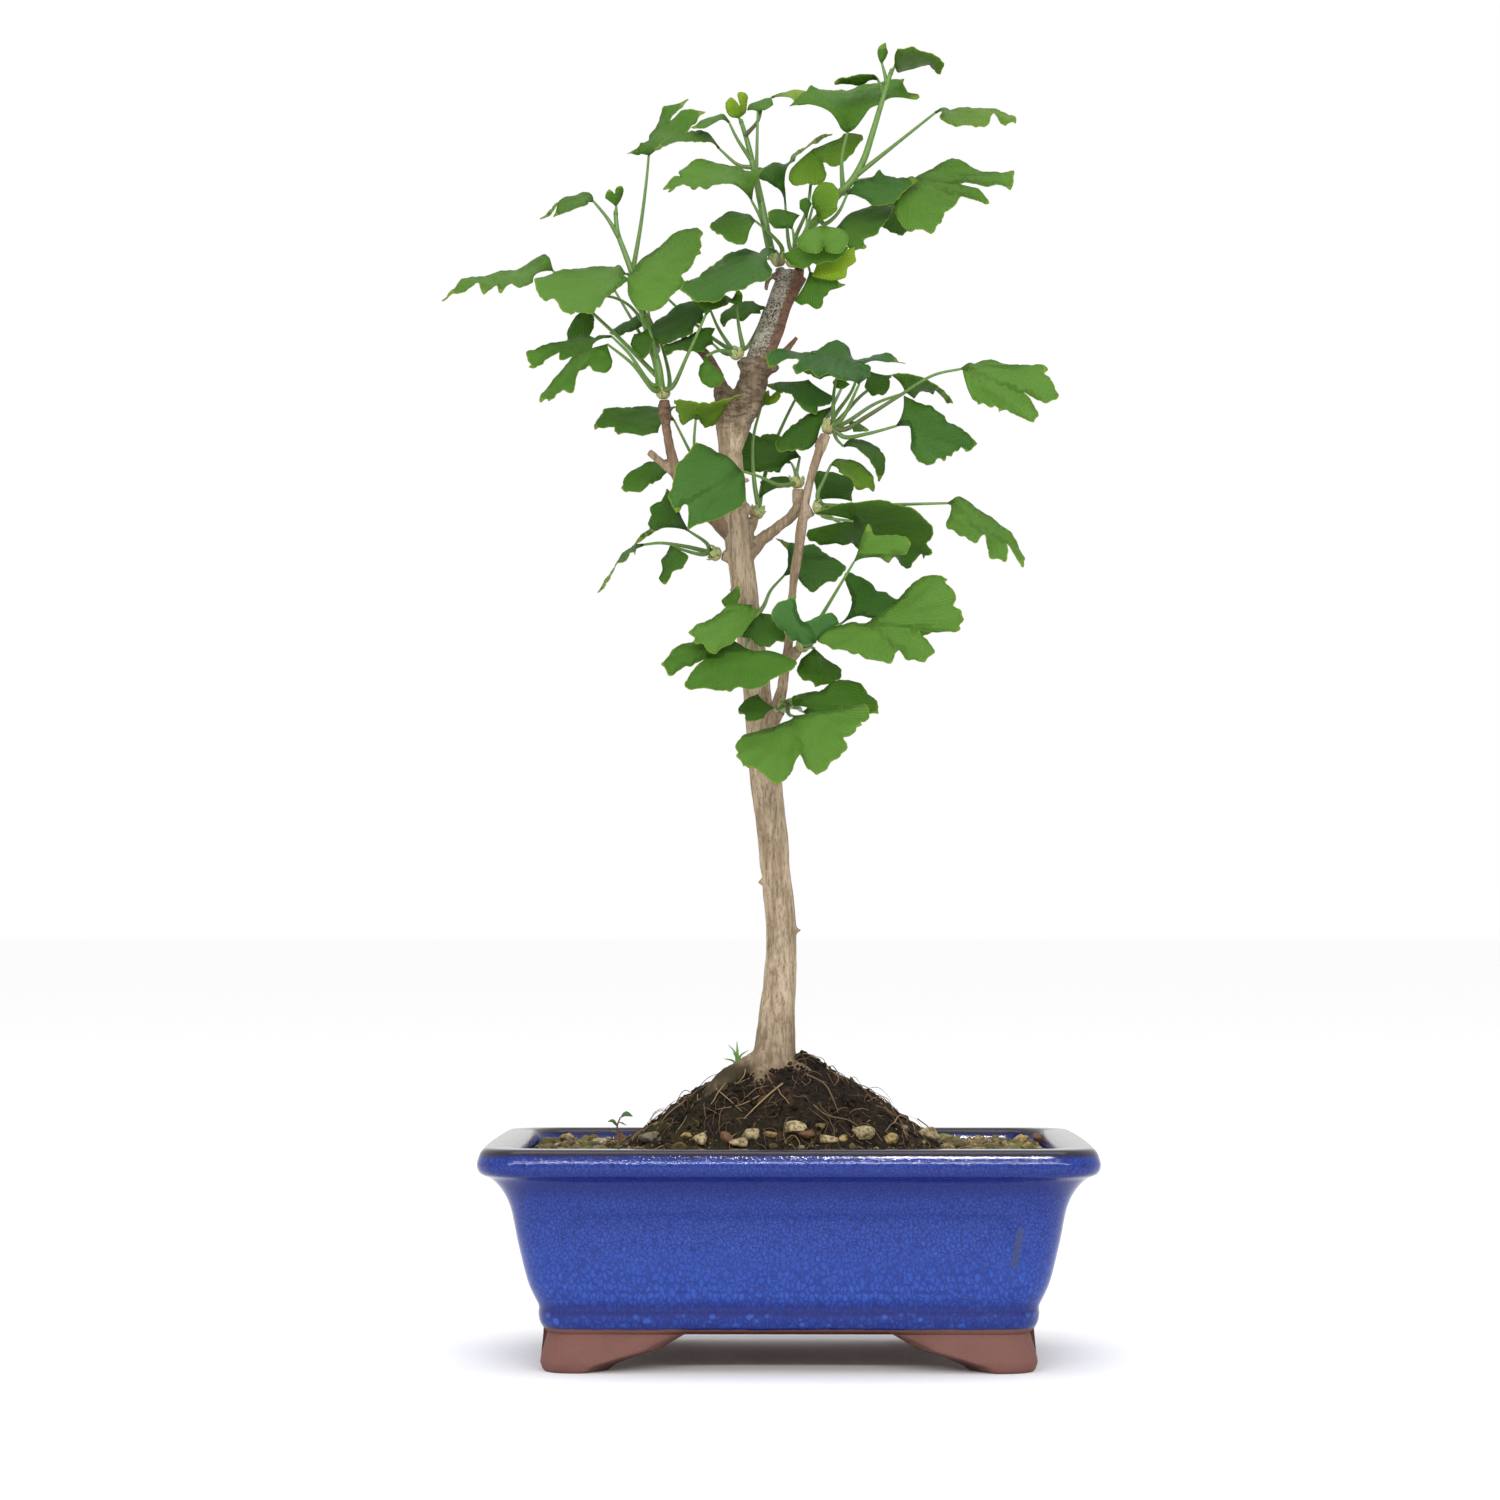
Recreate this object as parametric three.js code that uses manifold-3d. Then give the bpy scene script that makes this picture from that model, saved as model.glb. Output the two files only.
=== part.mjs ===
// A ginkgo bonsai in a rectangular glazed pot, with its soil, stones and leafy sprays.
// Millimetres, +Z up, front towards -Y. The origin is under the middle of the whole part.
import * as THREE from "three";
import { mergeVertices } from "three/addons/utils/BufferGeometryUtils.js";
import Module from "manifold-3d";

const wasm = await Module();
wasm.setup();

// Driving dimensions of the pot
const RIM_HALF = 101.6; // half of the eight inch rim
const DEPTH_LESS = 25.5; // the short sides lie this much nearer the middle than the long ones
const RIM_TOP = 73.9;
const UNDERSIDE = 12.7;
const POT_FLOOR = 21;
const FOOT_WALL = 9;
const PANEL_DEPTH = 1;
const PANEL_LOW = 26.8;
const PANEL_HIGH = 52;
const PANEL_CORNER = 8;
const WALL_IN = [16.6, 11.2]; // the wall stands this far inside the rim at the panel's low and high edge
const PANEL_HALF = [73.6, 48.1]; // half the width of the long and the short panel
const APRON_HALF = 80; // the feet's outer face
const CORNER = [72, 9, 0.18]; // a loop this wide has this corner radius, and wider ones this share more
const DRAIN_RADIUS = 7;
const DRAIN_X = 46;

// Driving dimensions of the fill
const GAP = 0.3; // between pieces that rest on each other
const SOIL_TOP = 64;
const GRAVEL_TOP = 71;
const MOUND_HALF = [56, 42];
const MOUND_CENTRE = [-2.5, 1];
const SCREEN_HALF = 15;
const SCREEN_THICK = 1.4;
const SCREEN_HOLES = 2; // in a row

// Driving dimensions of the leaves
const BLADE_THICK = 0.8;
const PLAIN_LENGTH = 15; // a shorter blade stays plain, without a bow
const STALK_RADIUS = [0.9, 0.65];
const STALK_BEND = 1.6; // the stalk meets its blade along the blade for this far
const SHOOT_RADIUS = [1.7, 1];
const SPUR_RADIUS = [2.3, 2];
const SCALLOP_STEP = 9.5; // a longer stretch of margin gets a scallop
const SCALLOP_RISE = 0.05;
const ARCH = 0.2; // how far a blade's veins bow up, as a share of their length
const GATHER = 0.45; // how closely the veins leave the stalk side by side

// The tree is read on the upright plane through the trunk, as seen by an eye in front of it.
// A place is [x, z, depth]: where it shows on that plane, and how far behind the plane it lies.
const EYE_DISTANCE = 1326;
const EYE_HEIGHT = 145;

function seen([x, z, depth = 0]) {
  const grow = 1 + depth / EYE_DISTANCE;
  return new THREE.Vector3(x * grow, depth, EYE_HEIGHT + (z - EYE_HEIGHT) * grow);
}

// "x z depth, x z depth" as a list of places
function places(text) {
  return text.split(",").map((place) => place.trim().split(/\s+/).map(Number));
}

// Solids and meshes
function solidOf(geometry) {
  const bare = new THREE.BufferGeometry();
  bare.setAttribute("position", geometry.getAttribute("position"));
  bare.setIndex(geometry.index);
  const merged = mergeVertices(bare, 1e-4);
  return new wasm.Manifold(
    new wasm.Mesh({
      numProp: 3,
      vertProperties: merged.getAttribute("position").array,
      triVerts: new Uint32Array(merged.index.array),
    }),
  );
}

function joined(solids) {
  return solids.reduce((all, solid) => all.add(solid));
}

function meshOf(name, solid, material) {
  const { vertProperties, triVerts } = solid.getMesh();
  const geometry = new THREE.BufferGeometry();
  geometry.setAttribute("position", new THREE.BufferAttribute(vertProperties, 3));
  geometry.setIndex(new THREE.BufferAttribute(triVerts, 1));
  geometry.computeVertexNormals();
  const mesh = new THREE.Mesh(geometry, material);
  mesh.name = name;
  return mesh;
}

function geometryOf(points, faces) {
  const geometry = new THREE.BufferGeometry().setFromPoints(points);
  geometry.setIndex(faces.flat());
  return geometry;
}

// A closed skin over loops of the same number of points, with a flat cap on each end
function loft(loops) {
  const count = loops[0].length;
  const points = loops.flat();
  const faces = [];
  for (let i = 0; i + 1 < loops.length; i++)
    for (let j = 0; j < count; j++) {
      const a = i * count + j;
      const b = i * count + ((j + 1) % count);
      faces.push([a, b, b + count], [a, b + count, a + count]);
    }
  for (const [loop, first] of [[loops[0], 0], [loops.at(-1), (loops.length - 1) * count]]) {
    const middle = new THREE.Vector3();
    loop.forEach((point) => middle.addScaledVector(point, 1 / count));
    points.push(middle);
    for (let j = 0; j < count; j++) {
      const next = first + ((j + 1) % count);
      const edge = first === 0 ? [next, first + j] : [first + j, next];
      faces.push([...edge, points.length - 1]);
    }
  }
  return solidOf(geometryOf(points, faces));
}

// A skin over loops that closes on its own first loop, as a frame round a hole does
function ringLoft(loops) {
  const count = loops[0].length;
  const faces = [];
  loops.forEach((_, i) => {
    const here = i * count;
    const above = ((i + 1) % loops.length) * count;
    for (let j = 0; j < count; j++) {
      const next = (j + 1) % count;
      faces.push([here + j, here + next, above + next], [here + j, above + next, above + j]);
    }
  });
  return solidOf(geometryOf(loops.flat(), faces));
}

// A round rod along points, with a radius at each point and a share of it for each angle
function rod(line, radii, sides, steps, ridge = () => 1) {
  const curve = new THREE.CatmullRomCurve3(line, false, "centripetal");
  const loops = [];
  let across = new THREE.Vector3(0.2, 1, 0.1);
  for (let i = 0; i <= steps; i++) {
    const along = i / steps;
    const centre = curve.getPoint(along);
    const tangent = curve.getTangent(along);
    across = across.clone().addScaledVector(tangent, -across.dot(tangent)).normalize();
    const upright = new THREE.Vector3().crossVectors(tangent, across);
    const place = along * (radii.length - 1);
    const before = Math.min(Math.floor(place), radii.length - 2);
    const radius = THREE.MathUtils.lerp(radii[before], radii[before + 1], place - before);
    loops.push(
      Array.from({ length: sides }, (_, j) => {
        const turn = (2 * Math.PI * j) / sides;
        const reach = radius * ridge(turn, along);
        return centre
          .clone()
          .addScaledVector(across, reach * Math.cos(turn))
          .addScaledVector(upright, reach * Math.sin(turn));
      }),
    );
  }
  return loft(loops);
}

function finish(color, roughness) {
  return new THREE.MeshStandardMaterial({ color, roughness, metalness: 0, flatShading: true });
}

const glaze = finish(0x1f3fa8, 0.15);
const clay = finish(0x2c2018, 0.95);
const stone = finish(0x8c7d66, 0.85);
const bark = finish(0x9c8a72, 0.85);
const foliage = finish(0x4f8a35, 0.5);
const plastic = finish(0x20242a, 0.6);
const grass = finish(0x69a03a, 0.6);

// The pot

// A rounded rectangle of the pot at one level, from its half width
function potLoop(half, z, perCorner = 4) {
  const halfDepth = half - DEPTH_LESS;
  const corner = CORNER[1] + (half - CORNER[0]) * CORNER[2];
  const loop = [];
  [[1, 1], [-1, 1], [-1, -1], [1, -1]].forEach(([sx, sy], quarter) => {
    for (let i = 0; i <= perCorner; i++) {
      const turn = (quarter + i / perCorner) * (Math.PI / 2);
      loop.push(
        new THREE.Vector3(
          sx * (half - corner) + corner * Math.cos(turn),
          sy * (halfDepth - corner) + corner * Math.sin(turn),
          z,
        ),
      );
    }
  });
  return loop;
}

// Half width and height up the outside: base bead, groove, wall, cove and bullnose rim
const outside = [
  [79.6, UNDERSIDE], [80.5, 13.6], [82, 16], [82.6, 18.9], [82.5, 21.5], [83.6, 24],
  [85.8, 29.2], [88.8, 42.2], [91.1, 54.6], [93.6, 60], [97, 63.8], [100.4, 65.6],
  [RIM_HALF, 68], [RIM_HALF, 71.2], [100.9, 73.2], [99.4, RIM_TOP],
];
const inside = [[91, RIM_TOP], [89.8, 72.6], [88.2, 66], [84, 48], [79.5, 30], [74.5, POT_FLOOR]];

// The inner wall's half width at a height
function innerHalf(z) {
  const above = inside.findLastIndex(([, level]) => level >= z);
  const [a, b] = [inside[above], inside[Math.min(above + 1, inside.length - 1)]];
  return a === b ? a[0] : THREE.MathUtils.mapLinear(z, a[1], b[1], a[0], b[0]);
}

// The opening between two feet, seen from the front: half width and height of its edge
const footArch = [[65.6, 0.6], [63.4, 2.3], [57, 4.4], [47, 7.3], [43, 9.5], [38, 12], [34, UNDERSIDE]];

function archCutter(scale, length, turned) {
  const half = footArch.map(([x, z]) => [x * scale, z]);
  const left = half.map(([x, z]) => new THREE.Vector2(-x, z));
  const right = half.map(([x, z]) => new THREE.Vector2(x, z)).reverse();
  const start = new THREE.Vector2(-half[0][0], -2);
  const end = new THREE.Vector2(half[0][0], -2);
  const outline = new THREE.Shape([start, ...left, ...right, end]);
  const geometry = new THREE.ExtrudeGeometry(outline, { depth: length, bevelEnabled: false });
  geometry.translate(0, 0, -length / 2);
  geometry.rotateX(Math.PI / 2);
  if (turned) geometry.rotateZ(Math.PI / 2);
  return solidOf(geometry);
}

// A shallow window in one side, tilted as the wall is there
function panelCutter(halfWidth, wallHalf, quarterTurns) {
  const tilt = Math.atan2(WALL_IN[0] - WALL_IN[1], PANEL_HIGH - PANEL_LOW);
  const height = (PANEL_HIGH - PANEL_LOW) / Math.cos(tilt);
  const corner = PANEL_CORNER;
  const outline = new THREE.Shape();
  outline.moveTo(-halfWidth + corner, 0);
  outline.absarc(halfWidth - corner, corner, corner, -Math.PI / 2, 0);
  outline.absarc(halfWidth - corner, height - corner, corner, 0, Math.PI / 2);
  outline.absarc(-halfWidth + corner, height - corner, corner, Math.PI / 2, Math.PI);
  outline.absarc(-halfWidth + corner, corner, corner, Math.PI, Math.PI * 1.5);
  const geometry = new THREE.ExtrudeGeometry(outline, { depth: 6, bevelEnabled: false, curveSegments: 2 });
  geometry.rotateX(Math.PI / 2 + tilt);
  geometry.translate(0, WALL_IN[0] - wallHalf + PANEL_DEPTH, PANEL_LOW);
  geometry.rotateZ((quarterTurns * Math.PI) / 2);
  return solidOf(geometry);
}

function drainHole(x, low, high) {
  const geometry = new THREE.CylinderGeometry(DRAIN_RADIUS, DRAIN_RADIUS, high - low, 12);
  geometry.rotateX(Math.PI / 2);
  geometry.translate(x, 0, (low + high) / 2);
  return solidOf(geometry);
}

function makePot() {
  const body = loft([...outside, ...inside].map(([half, z]) => potLoop(half, z)));
  const apron = [[0, 0], [2, 3], [1.6, 5.7], [0.7, 8.6], [-0.2, 12], [-1.4, UNDERSIDE + 2]];
  const feet = ringLoft([
    ...apron.map(([out, z]) => potLoop(APRON_HALF + out, z)),
    potLoop(APRON_HALF - FOOT_WALL, UNDERSIDE + 2),
    potLoop(APRON_HALF - FOOT_WALL, 0),
  ])
    .subtract(archCutter(1, 2 * RIM_HALF, false))
    .subtract(archCutter(0.68, 3 * RIM_HALF, true));
  const halfDepth = RIM_HALF - DEPTH_LESS;
  const panels = [0, 1, 2, 3].map((quarter) => {
    const ofShortSide = quarter % 2;
    return panelCutter(PANEL_HALF[ofShortSide], ofShortSide ? RIM_HALF : halfDepth, quarter);
  });
  const drains = [-DRAIN_X, DRAIN_X].map((x) => drainHole(x, UNDERSIDE - 2, POT_FLOOR + 2));
  return body.add(feet).subtract(joined(panels)).subtract(joined(drains));
}

function boxAt(sides, centre) {
  return solidOf(new THREE.BoxGeometry(...sides).translate(...centre));
}

// A square plastic screen over a drain hole, with square holes
function makeScreen(x) {
  const z = POT_FLOOR + GAP + SCREEN_THICK / 2;
  const pitch = (2 * SCREEN_HALF) / SCREEN_HOLES;
  const rows = Array.from({ length: SCREEN_HOLES }, (_, i) => (i + 0.5) * pitch - SCREEN_HALF);
  const side = 0.6 * pitch;
  const holes = rows.flatMap((dx) => rows.map((dy) => boxAt([side, side, 4], [x + dx, dy, z])));
  return boxAt([2 * SCREEN_HALF, 2 * SCREEN_HALF, SCREEN_THICK], [x, 0, z]).subtract(joined(holes));
}

// The tree's wood

// A small repeatable wobble from a place
function wobble(a, b) {
  return Math.sin(a * 12.9898 + b * 78.233) * Math.cos(a * 4.1 - b * 2.7);
}

// Each piece of wood: its route, the radius at each place, its sides, and its steps
const wood = {
  trunk: {
    route: `-7 70 1, -6.5 82 1, -6 92 0, -5.2 100 0, -4.6 106 0.5, -4 115 1.5, -2.8 130 3.5,
      -2.5 145 5, -4 162 5.5, -6 182 4.5, -8 200 2.5, -11.2 230 0, -15.2 262 -1, -18.5 290 0,
      -20 310 0, -21 322 0, -23 332 0`,
    radii: [7, 10, 9.6, 8, 7, 6.4, 5.5, 5.4, 5.3, 5.4, 5.5, 4.9, 4.7, 4.4, 4.1, 4.6, 3],
    sides: 10,
    steps: 22,
  },
  leader: {
    route: "-20 308 0, -17.5 321 0, -13.5 332 0, -10.5 343 0, -6.5 355 0, -2.5 365 0, 1 372 0",
    radii: [3, 5.4, 4.9, 4.1, 3.9, 4.1, 4.9],
    sides: 8,
    steps: 8,
  },
  forkTwig: {
    route: "-22 328 0, -25 337 1, -29 344 2, -35 348 4",
    radii: [3, 2.2, 1.9, 1],
    sides: 6,
    steps: 4,
  },
  leftTwig: {
    route: "-18 281 0, -25 287 0, -32 294 -1, -38 301 -2, -40 308 -2, -42 318 -2, -43 326.5 -2",
    radii: [4, 3.2, 2.6, 2.2, 2, 1.7, 2.2],
    sides: 6,
    steps: 8,
  },
  cutStub: { route: "-38 301 -2, -43 305.5 -3, -48.3 310 -4", radii: [1.2, 1.4, 1.3], sides: 6, steps: 2 },
  rightTwig: {
    route: `-9 212 -1, -5 218 -3, -2 229 -4, -0.3 240 -4, 1 258 -4, 2.5 270 -4, 4 280 -5, 6.5 295 -5,
      9 305 -5, 12.5 314.5 -4`,
    radii: [3, 2.8, 2, 1.9, 1.7, 1.8, 2, 1.9, 1.5, 2.2],
    sides: 6,
    steps: 10,
  },
  crossTwig: {
    route: "-15 273 0, -9 279.5 1, 0 286.5 0, 3.5 291 -1, 3.8 295 -2",
    radii: [3, 2.5, 2, 1.9, 1.8],
    sides: 6,
    steps: 5,
  },
  topRidge: {
    route: "-8.5 339 -1, -4 350 -1, 0 362 -1, 4.5 371 -1",
    radii: [1.8, 2, 2.1, 2.4],
    sides: 5,
    steps: 3,
  },
  topStub: { route: "-9.5 340 1, -1.5 344.5 2, 3.2 349.7 2", radii: [1.4, 1.3, 1], sides: 5, steps: 2 },
  paleStub: { route: "-8 337 -1, -3.6 339.8 -3", radii: [1.8, 1.6], sides: 5, steps: 1 },
  darkStub: { route: "-3 372 -2, -6.6 370 -3, -7.8 366 -4", radii: [1.2, 1, 0.9], sides: 5, steps: 2 },
  knobRight: { route: "-17 287 -1, -13.2 291.5 -2", radii: [3, 1.6], sides: 6, steps: 1 },
  rootLeft: {
    route: "-8 101 -2, -16 97 -4, -24 93 -7, -31 88 -10, -36 81 -12",
    radii: [5, 4.2, 3, 2, 1],
    sides: 6,
    steps: 5,
  },
  rootRight: {
    route: "-2 98 -2, 6 95 -5, 13 89 -9, 17 82 -12",
    radii: [4.5, 3.4, 2.2, 1],
    sides: 5,
    steps: 3,
  },
  rootBack: { route: "-3 97 3, 2 94 11, 6 88 20, 8 80 25", radii: [4.5, 3.6, 2.4, 1], sides: 5, steps: 3 },
  rootFront: {
    route: "-8 97 -3, -10 93 -10, -12 87 -17, -13 79 -22",
    radii: [4, 3.2, 2.1, 1],
    sides: 5,
    steps: 3,
  },
};

function woodRod({ route, radii, sides, steps }, grow = 0) {
  const line = places(route).map(seen);
  if (grow) {
    line[0].addScaledVector(line[0].clone().sub(line[1]).normalize(), grow);
    line.at(-1).addScaledVector(line.at(-1).clone().sub(line.at(-2)).normalize(), grow);
  }
  const ridge = (turn, along) => 1 + 0.05 * Math.sin(4 * turn + 9 * along) + 0.03 * wobble(turn, along);
  return rod(line, radii.map((radius) => radius + grow), sides, steps, ridge);
}

// What of the wood meets the soil, a little larger, to open its plain hole there
function rootHole() {
  const buried = [wood.trunk, wood.rootLeft, wood.rootRight, wood.rootBack, wood.rootFront];
  return joined(buried.map((piece) => woodRod(piece, 2 * GAP)));
}

// The fill

// The mound round the trunk: share of its foot's width, and height
const moundRings = [[1, 66], [0.89, 74], [0.77, 80], [0.62, 86.5], [0.47, 92], [0.32, 96], [0.15, 99.5]];

function moundLoop(share, z, grow, points = 16) {
  return Array.from({ length: points }, (_, j) => {
    const turn = (2 * Math.PI * j) / points;
    const lump = 1 + (share < 1 ? 0.05 * wobble(j, z) : 0);
    return new THREE.Vector3(
      MOUND_CENTRE[0] + (MOUND_HALF[0] * share * lump + grow) * Math.cos(turn),
      MOUND_CENTRE[1] + (MOUND_HALF[1] * share * lump + grow) * Math.sin(turn),
      z + (share < 0.9 ? 0.9 * wobble(z, j) : 0) + grow,
    );
  });
}

function moundSolid(grow = 0) {
  return loft([
    moundLoop(0.99, SOIL_TOP - 2, grow),
    ...moundRings.map(([share, z]) => moundLoop(share, z, grow)),
  ]);
}

const tuftPlace = [-17.5, 97.4, 5];
const seedlingPlace = [-58.5, 71, -12];
const PLANTLET_BALL = 1.9;
const PLANTLET_HOLE = 2.3;

function rootBall([x, z, depth], radius) {
  const geometry = new THREE.IcosahedronGeometry(radius, 0);
  const centre = seen([x, z, depth]);
  geometry.translate(centre.x, centre.y, centre.z);
  return solidOf(geometry);
}

function makeSoil() {
  const levels = [SOIL_TOP, 48, 30, POT_FLOOR + GAP];
  const bed = loft(levels.reverse().map((z) => potLoop(innerHalf(z) - GAP, z)));
  const side = 2 * (SCREEN_HALF + GAP);
  const recess = (x) => boxAt([side, side, 2 * (SCREEN_THICK + 2 * GAP)], [x, 0, POT_FLOOR]);
  return bed
    .add(moundSolid())
    .subtract(rootHole())
    .subtract(rootBall(tuftPlace, PLANTLET_HOLE))
    .subtract(recess(-DRAIN_X))
    .subtract(recess(DRAIN_X));
}

// The loose stones: a pebbled bed from the mound's foot to the pot's wall, with larger stones on it
const largeStones = `-66 72.5 -50 4, -50 73 -52 3.5, -38 73.5 -50 4.5, -26 74 -47 3.5, -14 74 -48 4,
  3 74.5 -50 4.5, 19 74 -49 4, 30 74.5 -46 4.5, 49 73.5 -48 4.5, 62 73 -50 4, 76 74 -40 5.5,
  74 73 -12 4.5, 79 72.5 20 3.5, 64 73 42 4.5, 24 73.5 50 4.5, -22 73.5 50 4,
  -66 73 41 4.5, -77 72.5 10 4, -74 73 -22 4`;

// A loop of the bed, from under the mound's foot (0) to beyond the wall (1)
function gravelLoop(outward, z, rough) {
  const points = 32;
  return Array.from({ length: points }, (_, j) => {
    const turn = (2 * Math.PI * j) / points;
    const [near, far] = [MOUND_HALF, [RIM_HALF, RIM_HALF - DEPTH_LESS]].map(([halfX, halfY], edge) => {
      const power = edge === 0 ? 2 : 6;
      const [cos, sin] = [Math.cos(turn) / halfX, Math.sin(turn) / halfY];
      return (Math.abs(cos) ** power + Math.abs(sin) ** power) ** (-1 / power);
    });
    const reach = THREE.MathUtils.lerp(0.8 * near, far, outward);
    const lift = rough ? 1.3 * wobble(j * 1.7, outward * 9) : 0;
    return new THREE.Vector3(reach * Math.cos(turn), reach * Math.sin(turn), z + lift);
  });
}

function makeGravel() {
  const low = SOIL_TOP + GAP;
  const bed = ringLoft([
    gravelLoop(1, low, false),
    gravelLoop(1, GRAVEL_TOP, false),
    gravelLoop(0.66, GRAVEL_TOP, true),
    gravelLoop(0.36, GRAVEL_TOP + 0.5, true),
    gravelLoop(0.08, GRAVEL_TOP + 1, true),
    gravelLoop(0, low, false),
  ]);
  const room = loft([low, 90].map((z) => potLoop(innerHalf(Math.min(z, 72.6)) - GAP, z)));
  const stones = largeStones.split(",").map((row, i) => {
    const [x, z, y, size] = row.trim().split(/\s+/).map(Number);
    const geometry = new THREE.IcosahedronGeometry(size, 0);
    geometry.scale(1.15, 0.9, 0.72);
    geometry.rotateZ(i * 1.3);
    geometry.translate(x, y, z - 1.5);
    return solidOf(geometry);
  });
  return joined([bed, ...stones])
    .intersect(room)
    .subtract(moundSolid(GAP))
    .subtract(rootBall(seedlingPlace, PLANTLET_HOLE));
}

// Small green plants: thin blades fanned out of a root ball that sits in its plain hole
function makePlantlet(place, tips) {
  const ball = rootBall(place, PLANTLET_BALL);
  const start = seen(place);
  const blades = tips.map(([dx, dy, dz]) => {
    const middle = new THREE.Vector3(dx * 0.35, dy * 0.35, dz * 0.62).add(start);
    const tip = new THREE.Vector3(dx, dy, dz).add(start);
    return rod([start, middle, tip], [0.8, 0.7, 0.5], 3, 2);
  });
  return joined([ball, ...blades]);
}

// The leafy sprays

// A blade's outline: its stalk end first, then its margin from one corner to the other, with a
// scallop on each long stretch. A margin place's depth counts from the stalk end.
function bladeOutline(base, rim) {
  const apex = seen(base);
  const corners = rim.map(([x, z, beyond]) => seen([x, z, base[2] + beyond]));
  const outline = [apex];
  corners.forEach((corner, i) => {
    outline.push(corner);
    if (i + 1 === corners.length || corner.distanceTo(corners[i + 1]) < SCALLOP_STEP) return;
    const between = corner.clone().lerp(corners[i + 1], 0.5);
    outline.push(between.addScaledVector(between.clone().sub(apex), SCALLOP_RISE));
  });
  return outline;
}

// The blade between its outline: fanned veins where they don't cross, else the plain outline
function bladeSheet(outline) {
  const [apex, ...edge] = outline;
  const flat = outline.map((point) => new THREE.Vector2(point.x, point.z));
  const area = (i, j, k) => {
    const [a, b, c] = [flat[i], flat[j], flat[k]];
    return (b.x - a.x) * (c.y - a.y) - (b.y - a.y) * (c.x - a.x);
  };
  const turn = Math.sign(THREE.ShapeUtils.area(flat));
  const last = edge.length;
  const fanned = edge.slice(1).every((_, i) => area(0, i + 1, i + 2) * turn > 0);
  if (!fanned) {
    const faces = THREE.ShapeUtils.triangulateShape(flat, []);
    return {
      sheet: outline,
      faces: faces.map(([i, j, k]) => (area(i, j, k) * turn > 0 ? [i, j, k] : [i, k, j])),
      rim: outline.map((_, i) => i),
    };
  }
  const length = edge.reduce((sum, point) => sum + point.distanceTo(apex), 0) / last;
  if (length < PLAIN_LENGTH) {
    const faces = edge.slice(1).map((_, i) => [0, i + 1, i + 2]);
    return { sheet: outline, faces, rim: outline.map((_, i) => i) };
  }

  // Halfway along its vein a place is gathered towards the middle vein and bowed up
  const middle = new THREE.Vector3();
  edge.forEach((point) => middle.addScaledVector(point, 1 / last));
  const up = new THREE.Vector3();
  edge.slice(1).forEach((point, i) => {
    up.add(point.clone().sub(apex).cross(edge[i].clone().sub(apex)));
  });
  up.normalize();
  const facesUp = Math.abs(up.z) > 0.15 ? up.z > 0 : up.y < 0;
  if (!facesUp) up.negate();
  const halfway = (tip) => {
    const handle = tip.clone().sub(apex).multiplyScalar(0.5 * (1 - GATHER));
    handle.addScaledVector(middle.clone().sub(apex), 0.5 * GATHER);
    handle.addScaledVector(up, ARCH * length).add(apex);
    return apex.clone().multiplyScalar(0.25).addScaledVector(handle, 0.5).addScaledVector(tip, 0.25);
  };
  const veins = edge.map((_, i) => i + 1).filter((i) => i % 2 === 1 || i === last);
  const sheet = [...outline, ...veins.map((i) => halfway(outline[i]))];
  const faces = [];
  for (let k = 0; k + 1 < veins.length; k++) {
    const [from, to] = [veins[k], veins[k + 1]];
    const [near, next] = [last + 1 + k, last + 2 + k];
    faces.push([0, near, next], [near, from, from + 1], [near, from + 1, next]);
    if (to === from + 2) faces.push([next, from + 1, to]);
  }
  const rim = [0, last + 1, ...edge.map((_, i) => i + 1), last + veins.length];
  return { sheet, faces, rim };
}

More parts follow.
